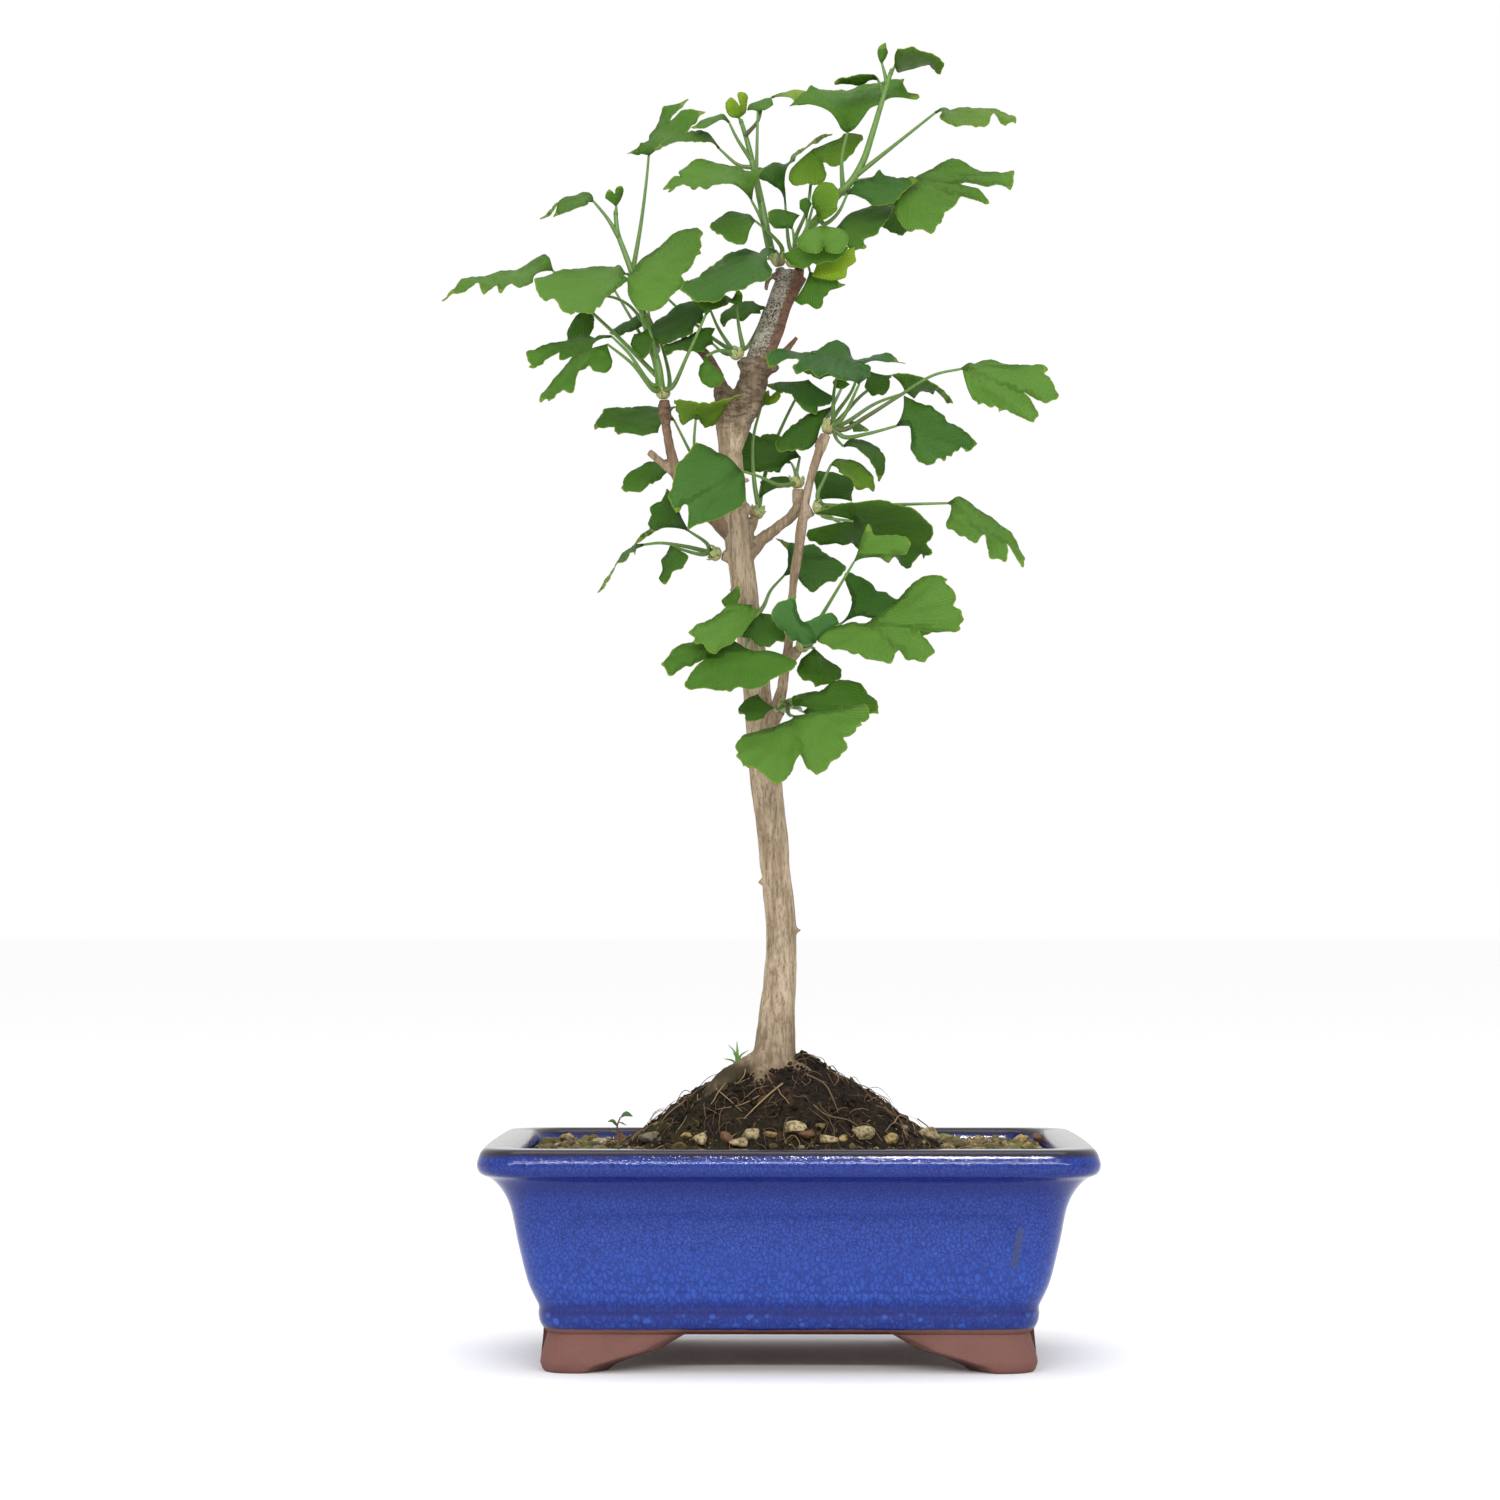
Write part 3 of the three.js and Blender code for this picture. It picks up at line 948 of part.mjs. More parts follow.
        `-19 257.8 0, -26 253 -3, -34.3 247.5 -6, -32.4 244.3 -8, -29.5 243.4 -9,
        -25.5 240.3 -11, -23 242.3 -10, -19 244.2 -10, -15.5 247 -9, -11.3 252 -5`],
      ["-15.5 252.5 -12, -18 255.5 -17", `-22 256.3 3,
        -23.1 258.2 4, -20 261 4, -17.2 263.6 3, -16.5 260 0`],
      ["-13 246.5 -20, -15 241.7 -32", `-20 245.2 5, -33 244.4 4, -40 241 0, -43.7 236.7 -3, -41 232.7 -6,
        -36 235.6 -6, -29.5 238 -4, -35.7 229.6 -9, -33 227.9 -10, -26 227.7 -11, -20 227.1 -12,
        -13 228 -11, -7 229.7 -10, 2 235.4 -6, 3 237 -4, -2 239.9 -1`],
    ],
  },
  trunk_low_right: {
    spur: "-5 217 -4, -2.5 220.5 -7",
    shoot: "",
    leaves: [
      ["-4 220.5 -15, -5 221.3 -24", `-10.5 226 3,
        -15 224 3, -17.3 221 2, -17 219.3 1, -15 219 0, -14.5 216.6 -2, -8.5 217.8 -3`],
      ["0 219.5 -17, 2 218.4 -30",
        `-7 214.4 0, -14 213 -3, -18.1 208.5 -7, -18 204.6 -10, -13.5 201.9 -13,
        -8.5 198.5 -16, -3.7 195.1 -18, 0.5 199 -16, 4 205.3 -12, 6.5 201.3 -15, 9.7 198.6 -16,
        14.5 202 -15,
        20.3 207.4 -12, 18.9 210.8 -10, 25 215.6 -7, 28 220 -3, 26.5 222.6 -1, 19 221.6 1`],
      ["1 223.3 -15, 1.5 222.3 -21",
        `4 226.3 4, 9 227.6 7, 11 226.9 7, 14.5 230.5 9, 20 231 10, 25 229.7 9,
        31 221.5 5, 30.8 219.8 3, 24 218 0, 14 216.5 -1`],
      ["2.8 221.5 -6, 4 220.5 14, 5 220 32", `7 226 6,
        16 228.5 12, 24 226 16, 25 219 14, 17 212 9, 8 212 3`],
    ],
  },
};

// The short woody spur that carries a spray
function spurRod({ spur }) {
  return rod(places(spur).map(seen), SPUR_RADIUS, 5, 1);
}

// The bud on the spur's tip, which holds the spray's stalks together
function budAxis({ spur }) {
  const [foot, tip] = places(spur).map(seen);
  const along = tip.clone().sub(foot).normalize();
  return [tip.clone().addScaledVector(along, GAP), tip.clone().addScaledVector(along, GAP + 4)];
}

function makeSpray(spray) {
  const bud = budAxis(spray);
  const solids = [rod([bud[0], bud[0].clone().lerp(bud[1], 0.5), bud[1]], [1.6, 2.3, 1.2], 6, 2)];
  const heart = bud[0].clone().lerp(bud[1], 0.45);
  let stem = [heart, bud[1]];
  if (spray.shoot) {
    stem = [heart, ...places(spray.shoot).map(seen)];
    solids.push(rod(stem, SHOOT_RADIUS, 5, stem.length + 2));
  }
  for (const [stalk, rim] of spray.leaves) solids.push(makeLeaf(stem, places(stalk), places(rim)));
  return joined(solids);
}

// The whole part
const part = new THREE.Group();
part.add(meshOf("pot", makePot(), glaze));
part.add(meshOf("drain_screen_left", makeScreen(-DRAIN_X), plastic));
part.add(meshOf("drain_screen_right", makeScreen(DRAIN_X), plastic));
part.add(meshOf("soil", makeSoil(), clay));
part.add(meshOf("gravel", makeGravel(), stone));

const tree = joined([
  ...Object.values(wood).map((piece) => woodRod(piece)),
  ...Object.values(sprays).map((spray) => spurRod(spray)),
]);
part.add(meshOf("tree", tree, bark));

for (const [name, spray] of Object.entries(sprays)) {
  part.add(meshOf("spray_" + name, makeSpray(spray), foliage));
}

const tuftTips = [[-3, -1, 7], [-1, 1, 9.5], [1.5, -1.5, 8.5], [3.5, 0.5, 7], [-4.5, 0.5, 4.5]];
const seedlingTips = [[-2, 0, 8.5], [1.5, -1, 10.5], [4.5, 0.5, 8]];
part.add(meshOf("grass_tuft", makePlantlet(tuftPlace, tuftTips), grass));
part.add(meshOf("seedling", makePlantlet(seedlingPlace, seedlingTips), grass));

// The tree leans out to one side, so the origin goes under the middle of the whole box
const box = new THREE.Box3().setFromObject(part);
part.position.x = -(box.min.x + box.max.x) / 2;

export default part;
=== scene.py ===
"""A ginkgo bonsai in a blue-glazed pot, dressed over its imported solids.

Lengths are in millimetres from the middle of the pot's foot plane: x to the right, y away from
the viewer, z up. A mesh is made from them in metres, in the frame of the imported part.
"""

from __future__ import annotations

import functools
import logging
import math
import random
from collections.abc import Callable, Sequence
from dataclasses import dataclass, field
from enum import Enum

import bmesh
import bpy
import numpy as np
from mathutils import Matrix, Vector, geometry, noise

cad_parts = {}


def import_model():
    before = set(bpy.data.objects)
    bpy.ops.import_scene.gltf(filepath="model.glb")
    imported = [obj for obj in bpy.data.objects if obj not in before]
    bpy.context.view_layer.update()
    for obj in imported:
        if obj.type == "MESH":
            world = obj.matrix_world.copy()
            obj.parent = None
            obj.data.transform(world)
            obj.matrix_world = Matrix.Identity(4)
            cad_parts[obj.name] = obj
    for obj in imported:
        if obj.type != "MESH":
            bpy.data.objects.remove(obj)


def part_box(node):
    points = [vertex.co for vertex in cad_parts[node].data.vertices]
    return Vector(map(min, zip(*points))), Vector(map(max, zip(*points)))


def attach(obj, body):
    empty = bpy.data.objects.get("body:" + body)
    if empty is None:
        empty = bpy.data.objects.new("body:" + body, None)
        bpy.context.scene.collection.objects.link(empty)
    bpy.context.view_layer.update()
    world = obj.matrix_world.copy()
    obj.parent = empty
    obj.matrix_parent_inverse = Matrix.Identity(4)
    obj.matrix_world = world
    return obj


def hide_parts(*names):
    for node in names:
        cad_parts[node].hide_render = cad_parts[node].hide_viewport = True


LOG = logging.getLogger("bonsai")
MM = 0.001
EYE_DISTANCE = 1326.0
EYE_HEIGHT = 145.0
GAP = 0.3

Colour = tuple[float, float, float]


def seen(places: np.ndarray) -> np.ndarray:
    """Moves places on the upright sight plane to their points in space.

    Args:
        places: rows of x, z and depth behind that plane, as the viewer sees them.

    Returns:
        Rows of x, y and z.
    """
    x, z, depth = places.T
    grow = 1 + depth / EYE_DISTANCE
    return np.stack([x * grow, depth, EYE_HEIGHT + (z - EYE_HEIGHT) * grow], axis=1)


def rows(text: str) -> np.ndarray:
    """Reads "x z depth, x z depth" as rows of numbers."""
    return np.array([[float(word) for word in row.split()] for row in text.split(",")])


def unit(vector: np.ndarray) -> np.ndarray:
    """Scales a vector, or each row of an array, to length one."""
    length = np.linalg.norm(vector, axis=-1, keepdims=True)
    return vector / np.maximum(length, 1e-9)


def smooth(value: np.ndarray | float, low: float, high: float) -> np.ndarray | float:
    """Rises softly from 0 at low to 1 at high."""
    share = np.clip((value - low) / (high - low), 0, 1)
    return share * share * (3 - 2 * share)


def spline(points: np.ndarray, steps: int) -> np.ndarray:
    """Runs a centripetal Catmull-Rom curve through points.

    Args:
        points: rows that the curve passes through.
        steps: points per stretch between two rows.

    Returns:
        Rows along the curve, the last row included.
    """
    padded = np.vstack([2 * points[0] - points[1], points, 2 * points[-1] - points[-2]])
    share = np.linspace(0, 1, steps, endpoint=False)[:, None]
    stretches = []
    for p0, p1, p2, p3 in zip(padded, padded[1:], padded[2:], padded[3:]):
        d0, d1, d2 = (max(math.sqrt(np.linalg.norm(b - a)), 1e-3) for a, b in
                      ((p0, p1), (p1, p2), (p2, p3)))
        start = ((p1 - p0) / d0 - (p2 - p0) / (d0 + d1)) * d1 + p2 - p1
        end = ((p3 - p2) / d2 - (p3 - p1) / (d1 + d2)) * d1 + p2 - p1
        square = -3 * p1 + 3 * p2 - 2 * start - end
        cube = 2 * p1 - 2 * p2 + start + end
        stretches.append(p1 + share * start + share**2 * square + share**3 * cube)
    return np.vstack([*stretches, points[-1:]])


def evenly(line: np.ndarray, spacing: float) -> np.ndarray:
    """Places points along a line at equal steps.

    Args:
        line: rows of the line.
        spacing: about how far apart the points are.

    Returns:
        Rows along the line, both ends included.
    """
    reach = np.concatenate([[0], np.cumsum(np.linalg.norm(np.diff(line, axis=0), axis=1))])
    count = max(2, round(reach[-1] / spacing) + 1)
    stations = np.linspace(0, reach[-1], count)
    return np.stack([np.interp(stations, reach, column) for column in line.T], axis=1)


def rough(points: np.ndarray, size: float | Sequence[float], seed: float = 0.0) -> np.ndarray:
    """Gives smooth noise from -1 to 1 at points, with one grain size or one for each axis."""
    scaled = points / np.asarray(size, float) + seed
    return np.array([noise.noise(Vector(row)) for row in scaled])


@dataclass
class Draft:
    """Points, faces and values of points, gathered for one mesh."""

    points: list[np.ndarray] = field(default_factory=list)
    faces: list[np.ndarray] = field(default_factory=list)
    marks: dict[str, list[np.ndarray]] = field(default_factory=dict)
    count: int = 0

    def add(self, points: np.ndarray, faces: np.ndarray | Sequence[np.ndarray], **marks: object) -> None:
        """Adds one shape.

        Args:
            points: its points.
            faces: one array of triangles or of quads, or several such arrays.
            marks: named values, one for all its points or one for each.
        """
        groups = [faces] if isinstance(faces, np.ndarray) else faces
        self.points.append(points)
        self.faces.extend(group + self.count for group in groups if len(group))
        for name, value in marks.items():
            value = np.asarray(value, float)
            if value.ndim != 1 or len(value) != len(points):
                value = np.broadcast_to(value, (len(points), *value.shape[-1:]))
            self.marks.setdefault(name, []).append(np.array(value, float))
        self.count += len(points)

    def object(self, name: str) -> bpy.types.Object:
        """Makes the mesh and its object.

        Args:
            name: the object's name.

        Returns:
            The object, smooth-shaded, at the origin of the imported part's frame.
        """
        points = (np.vstack(self.points) + (Frame.shift, 0, 0)) * MM
        corners = np.concatenate([group.ravel() for group in self.faces])
        sizes = np.concatenate([np.full(len(group), group.shape[1]) for group in self.faces])
        starts = np.concatenate([[0], np.cumsum(sizes)[:-1]])
        mesh = bpy.data.meshes.new(name)
        mesh.vertices.add(len(points))
        mesh.vertices.foreach_set("co", points.ravel())
        mesh.loops.add(len(corners))
        mesh.loops.foreach_set("vertex_index", corners.astype(np.int32))
        mesh.polygons.add(len(sizes))
        mesh.polygons.foreach_set("loop_start", starts.astype(np.int32))
        mesh.polygons.foreach_set("use_smooth", np.ones(len(sizes), bool))
        mesh.update(calc_edges=True)
        mesh.validate()
        for mark, values in self.marks.items():
            whole = np.concatenate(values)
            kind, key = ("FLOAT", "value") if whole.ndim == 1 else ("FLOAT_VECTOR", "vector")
            mesh.attributes.new(mark, kind, "POINT").data.foreach_set(key, whole.ravel())
        made = bpy.data.objects.new(name, mesh)
        bpy.context.scene.collection.objects.link(made)
        return made

    def piece(self, name: str, finish: Finish, slot: str, replaces: Sequence[str] = ()) -> bpy.types.Object:
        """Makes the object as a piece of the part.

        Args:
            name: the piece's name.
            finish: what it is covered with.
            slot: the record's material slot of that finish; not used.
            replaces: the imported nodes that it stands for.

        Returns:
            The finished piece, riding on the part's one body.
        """
        made = self.object(name)
        made.data.materials.append(finish.material())
        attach(made, "root")
        if replaces:
            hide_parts(*replaces)
        LOG.info("%s: %d faces", name, len(made.data.polygons))
        return made


class Frame:
    """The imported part's frame, and where the pot's middle lies in it."""

    shift = 0.0

    @classmethod
    def load(cls) -> None:
        """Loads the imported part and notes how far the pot's middle is from its origin."""
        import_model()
        low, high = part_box("pot")
        cls.shift = (low.x + high.x) / 2 / MM


def grid(rings: int, around: int, closed: bool = True) -> np.ndarray:
    """Numbers the quads between rings of points.

    Args:
        rings: how many rings there are.
        around: points in each.
        closed: whether a ring's last point joins its first.

    Returns:
        Rows of four point numbers.
    """
    ring, place = np.meshgrid(np.arange(rings - 1), np.arange(around if closed else around - 1),
                              indexing="ij")
    a = ring * around + place
    b = ring * around + (place + 1) % around
    return np.stack([a, b, b + around, a + around], axis=-1).reshape(-1, 4)


def closed_grid(rings: int, around: int) -> list[np.ndarray]:
    """Numbers the quads between rings of points, and those from the last ring to the first.

    Args:
        rings: how many rings there are.
        around: points in each.

    Returns:
        Two groups of rows of four point numbers.
    """
    closing = grid(2, around)
    return [grid(rings, around),
            np.where(closing >= around, closing - around, closing + (rings - 1) * around)]


def cap(first: int, around: int, middle: int, flip: bool) -> np.ndarray:
    """Numbers the triangles that close a ring round a middle point.

    Args:
        first: the number of the ring's first point.
        around: points in the ring.
        middle: the middle point's number.
        flip: whether the triangles face the other way.

    Returns:
        Rows of three point numbers.
    """
    here = first + np.arange(around)
    after = first + (np.arange(around) + 1) % around
    edge = (after, here) if flip else (here, after)
    return np.stack([*edge, np.full(around, middle)], axis=1)


def tube(
    line: np.ndarray,
    radii: Sequence[float],
    sides: int,
    flat: float = 1.0,
    across: Sequence[float] = (0.2, 1.0, 0.1),
    ridge: Callable[[np.ndarray, float], np.ndarray] | None = None,
) -> tuple[np.ndarray, list[np.ndarray], np.ndarray]:
    """Sweeps a closed round or flattened rod along a line.

    Args:
        line: rows that the rod's axis passes.
        radii: radii, spread evenly along the rod.
        sides: points round the rod.
        flat: the section's thickness as a share of its width.
        across: the way the section's thin side faces at the start.
        ridge: gives a share of the radius for angles round the rod, and how far along it is.

    Returns:
        The points, the faces and each point's share of the way along.
    """
    count = len(line)
    along = np.linspace(0, 1, count)
    radius = np.interp(along * (len(radii) - 1), np.arange(len(radii)), radii)
    tangents = unit(np.gradient(line, axis=0))
    turn = 2 * np.pi * np.arange(sides) / sides
    side = np.asarray(across, float)
    rings = []
    for centre, tangent, reach, share in zip(line, tangents, radius, along):
        side = unit(side - tangent * side.dot(tangent))
        upright = np.cross(tangent, side)
        around = reach * (ridge(turn, share) if ridge else np.ones(sides))
        rings.append(centre + flat * np.outer(around * np.cos(turn), side)
                     + np.outer(around * np.sin(turn), upright))
    points = np.vstack([*rings, line[:1], line[-1:]])
    faces = [grid(count, sides), cap(0, sides, count * sides, True),
             cap((count - 1) * sides, sides, count * sides + 1, False)]
    return points, faces, np.concatenate([np.repeat(along, sides), [0, 1]])


def face_normals(points: np.ndarray, triangles: np.ndarray) -> np.ndarray:
    """Sums the triangles' normals at each point.

    Args:
        points: the mesh's points.
        triangles: its faces.

    Returns:
        A normal of length one for each point.
    """
    a, b, c = (points[triangles[:, k]] for k in range(3))
    normal = np.cross(b - a, c - a)
    total = np.zeros_like(points)
    for k in range(3):
        np.add.at(total, triangles[:, k], normal)
    return unit(total)


class Wire:
    """A shader socket that takes part in sums."""

    def __init__(self, shade: Shade, socket: bpy.types.NodeSocket) -> None:
        """Keeps the socket and the shade that it belongs to."""
        self.shade = shade
        self.socket = socket

    def _sum(self, operation: str, *parts: Value) -> Wire:
        """Adds one Math node over the parts."""
        return self.shade.node("ShaderNodeMath", {"operation": operation}, dict(enumerate(parts)))

    def __add__(self, other: Value) -> Wire:
        """self + other"""
        return self._sum("ADD", self, other)

    def __radd__(self, other: Value) -> Wire:
        """other + self"""
        return self._sum("ADD", other, self)

    def __sub__(self, other: Value) -> Wire:
        """self - other"""
        return self._sum("SUBTRACT", self, other)

    def __rsub__(self, other: Value) -> Wire:
        """other - self"""
        return self._sum("SUBTRACT", other, self)

    def __mul__(self, other: Value) -> Wire:
        """self * other"""
        return self._sum("MULTIPLY", self, other)

    def __rmul__(self, other: Value) -> Wire:
        """other * self"""
        return self._sum("MULTIPLY", other, self)

    def sine(self) -> Wire:
        """The sine of a value in radians."""
        return self._sum("SINE", self)

    def size(self) -> Wire:
        """The value without its sign."""
        return self._sum("ABSOLUTE", self)


Value = Wire | float | tuple


class Shade:
    """A material's nodes, with a Principled shader at their end."""

    def __init__(self, name: str, **constants: float | Colour) -> None:
        """Starts the material.

        Args:
            name: the material's name.
            constants: values for the shader's own sockets, with _ for a space.
        """
        self.made = bpy.data.materials.new(name)
        self.made.use_nodes = True
        self.tree = self.made.node_tree
        self.shader = self.tree.nodes["Principled BSDF"]
        for socket, value in constants.items():
            self.shader.inputs[socket.replace("_", " ")].default_value = value
        metres = self.node("ShaderNodeTexCoord", {}, {}, "Object")
        self.place = self.node("ShaderNodeVectorMath", {"operation": "SCALE"}, {0: metres, 3: 1 / MM})

    def node(
        self, kind: str, settings: dict[str, object], inputs: dict[int | str, Value], output: int | str = 0
    ) -> Wire:
        """Adds one node.

        Args:
            kind: its type.
            settings: its own choices, such as an operation, which are set first.
            inputs: values or links of its sockets.
            output: the socket that is wanted.

        Returns:
            That socket.
        """
        made = self.tree.nodes.new(kind)
        for name, value in settings.items():
            setattr(made, name, value)
        for key, value in inputs.items():
            socket = made.inputs[key]
            if isinstance(value, Wire):
                self.tree.links.new(value.socket, socket)
            elif isinstance(value, tuple) and len(socket.default_value) > len(value):
                socket.default_value = (*value, 1.0)
            else:
                socket.default_value = value
        return Wire(self, made.outputs[output])

    def mark(self, name: str, part: str | None = None) -> Wire:
        """Reads a named value of the mesh's points.

        Args:
            name: the value's name.
            part: X, Y or Z, where it is one part of the value that is wanted.

        Returns:
            The value or its part.
        """
        if part is None:
            return self.node("ShaderNodeAttribute", {"attribute_name": name}, {}, "Fac")
        vector = self.node("ShaderNodeAttribute", {"attribute_name": name}, {}, "Vector")
        return self.node("ShaderNodeSeparateXYZ", {}, {0: vector}, part)

    def axis(self, part: str) -> Wire:
        """The place along X, Y or Z, in millimetres."""
        return self.node("ShaderNodeSeparateXYZ", {}, {0: self.place}, part)

    def stretched(self, scale: Colour) -> Wire:
        """The place, scaled along each axis."""
        return self.node("ShaderNodeVectorMath", {"operation": "MULTIPLY"}, {0: self.place, 1: scale})

    def grain(self, size: float, detail: float = 2.0, place: Wire | None = None, rough_: float = 0.5) -> Wire:
        """Smooth noise from 0 to 1, with a grain of that many millimetres."""
        return self.node("ShaderNodeTexNoise", {}, {
            "Vector": place or self.place, "Scale": 1 / size, "Detail": detail, "Roughness": rough_})

    def cells(
        self, size: float, place: Wire | None = None, feature: str = "F1", output: str = "Distance"
    ) -> Wire:
        """Cells of that many millimetres: the distance from a cell's middle, or to its edge."""
        return self.node("ShaderNodeTexVoronoi", {"feature": feature}, {
            "Vector": place or self.place, "Scale": 1 / size}, output)

    def band(self, value: Wire, low: float, high: float) -> Wire:
        """Rises softly from 0 at low to 1 at high, or falls where high is the lesser."""
        return self.node("ShaderNodeMapRange", {"interpolation_type": "SMOOTHSTEP"}, {
            0: value, 1: low, 2: high, 3: 0.0, 4: 1.0})

    def mix(self, share: Value, one: Value, other: Value) -> Wire:
        """Blends two colours."""
        return self.node("ShaderNodeMix", {"data_type": "RGBA"}, {0: share, 6: one, 7: other}, 2)

    def colour(self, wire: Wire) -> None:
        """Feeds Base Color."""
        self.tree.links.new(wire.socket, self.shader.inputs["Base Color"])

    def gloss(self, roughness: Wire) -> None:
        """Feeds Roughness."""
        self.tree.links.new(roughness.socket, self.shader.inputs["Roughness"])

    def relief(self, height: Wire, depth: float) -> None:
        """Feeds Normal with a bump of that many millimetres."""
        bump = self.node("ShaderNodeBump", {}, {"Height": height, "Distance": depth * MM, "Strength": 1.0})
        self.tree.links.new(bump.socket, self.shader.inputs["Normal"])


class Finish:
    """What a piece is covered with. Each finish makes its material once."""

    _made: dict[str, bpy.types.Material] = {}

    def material(self) -> bpy.types.Material:
        """Makes the finish's material at the first call.

        Returns:
            The material.
        """
        key = repr(self)
        if key not in Finish._made:
            Finish._made[key] = self.paint()
        return Finish._made[key]

    def paint(self) -> bpy.types.Material:
        """Makes the material."""
        raise NotImplementedError


@dataclass(frozen=True)
class Glaze(Finish):
    """Glossy blue glaze with a fine crackle, over reddish clay that stays bare on the feet."""

    pale: Colour = (0.025, 0.08, 0.37)
    blue: Colour = (0.006, 0.036, 0.28)
    deep: Colour = (0.001, 0.004, 0.1)
    burnt: Colour = (0.014, 0.008, 0.01)
    smudge: Colour = (0.045, 0.05, 0.075)
    clay: Colour = (0.23, 0.1, 0.08)
    clay_dark: Colour = (0.1, 0.042, 0.033)
    line: float = 14.2

    def paint(self) -> bpy.types.Material:
        """Lays cells, drops, dark hollows, painted shade under the rim and the clay line over each other.

        Returns:
            The pot's material.
        """
        shade = Shade("glaze", IOR=1.4)
        height = shade.axis("Z")
        across = shade.axis("X") - Frame.shift
        sway = shade.grain(9.0, 3.0)
        speck = shade.grain(0.7, 2.0)
        bent = shade.node("ShaderNodeVectorMath", {"operation": "ADD"}, {
            0: shade.stretched((1.0, 1.0, 0.8)),
            1: shade.node("ShaderNodeTexNoise", {}, {
                "Vector": shade.place, "Scale": 0.8, "Detail": 1.0}, "Color")})
        tall = shade.node("ShaderNodeVectorMath", {"operation": "MULTIPLY"}, {0: bent, 1: (1.0, 1.0, 0.7)})
        low = shade.band(height + 12 * sway, 50.0, 34.0)
        fine_vein = shade.band(shade.cells(1.25, bent, "DISTANCE_TO_EDGE") + 0.1 * speck, 0.24, 0.06)
        large_vein = shade.band(shade.cells(1.7, tall, "DISTANCE_TO_EDGE") + 0.08 * speck, 0.26, 0.08)
        vein = fine_vein * (1 - low) + large_vein * low
        heart = shade.band(shade.cells(1.9, tall), 0.5, 0.1)
        face = shade.mix(0.25 + 0.35 * heart + 0.3 * sway, self.blue, self.pale)
        face = shade.mix(vein * (0.7 - 0.16 * low), face, self.deep)

        # Darker over the base bead and in its groove
        groove = shade.band(height + 3 * sway, 26.0, 22.5) * shade.band(height, 18.0, 19.6)
        # Painted shade: the cove under the rim, and the upper wall where the rim's shadow falls
        cove = shade.band(height, 56.0, 62.0) * shade.band(height, 69.0, 64.0)
        rim_shadow = shade.band(height, 30.0, 62.0)
        face = shade.mix(groove * 0.72, face, self.deep)
        # Painted shade in the cove under the rim
        face = shade.mix(cove * 0.5, face, self.deep)
        bead = shade.band(height, 21.0, 19.0)
        # Painted shadow of the rim over the upper wall
        face = shade.mix(rim_shadow * 0.45, face, self.deep)
        face = shade.mix(bead * 0.45, face, self.deep)
        few = shade.band(shade.cells(3.2, output="Color"), 0.35, 0.5)
        drop = shade.band(shade.cells(3.2), 0.44, 0.3) * few
        bead_drop = drop * shade.band(height, 20.5, 18.5) * shade.band(height, 14.8, 16.2)
        face = shade.mix(bead_drop * 0.8, face, self.pale)

        # The glaze breaks to a burnt brown on the rim's upper edge and just above the clay
        edge = shade.band(height + 1.4 * sway, 71.7, 73.1)
        foot_edge = shade.band(height + 0.9 * sway, self.line + 1.6, self.line + 0.4)
        face = shade.mix(edge * 0.92, face, self.burnt)
        face = shade.mix(foot_edge * 0.6, face, self.burnt)
        slant = (across - 67.6 - 0.176 * height + speck).size()
        smear = shade.band(slant, 1.5, 0.7) * shade.band(height, 34.0, 36.0) * shade.band(height, 49.0, 47.0)
        front = shade.band(shade.axis("Y"), 0.0, -40.0)
        face = shade.mix(smear * front * 0.6, face, self.smudge)

        bare = shade.band(height + 0.9 * sway, self.line + 0.75, self.line + 0.35)
        grit = shade.grain(1.1, 5.0, rough_=0.7)
        stain = shade.grain(12.0, 3.0)
        clay = shade.mix(0.25 + 0.5 * grit, self.clay_dark, self.clay)
        clay = shade.mix(shade.band(stain, 0.5, 0.72) * 0.35, clay, self.clay_dark)
        shade.colour(shade.mix(bare, face, clay))
        shade.gloss(0.08 + 0.04 * speck + bare * 0.7)
        shade.relief(bare * grit * 0.6 + (1 - bare) * (0.5 * sway - 0.05 * fine_vein), 0.22)
        return shade.made


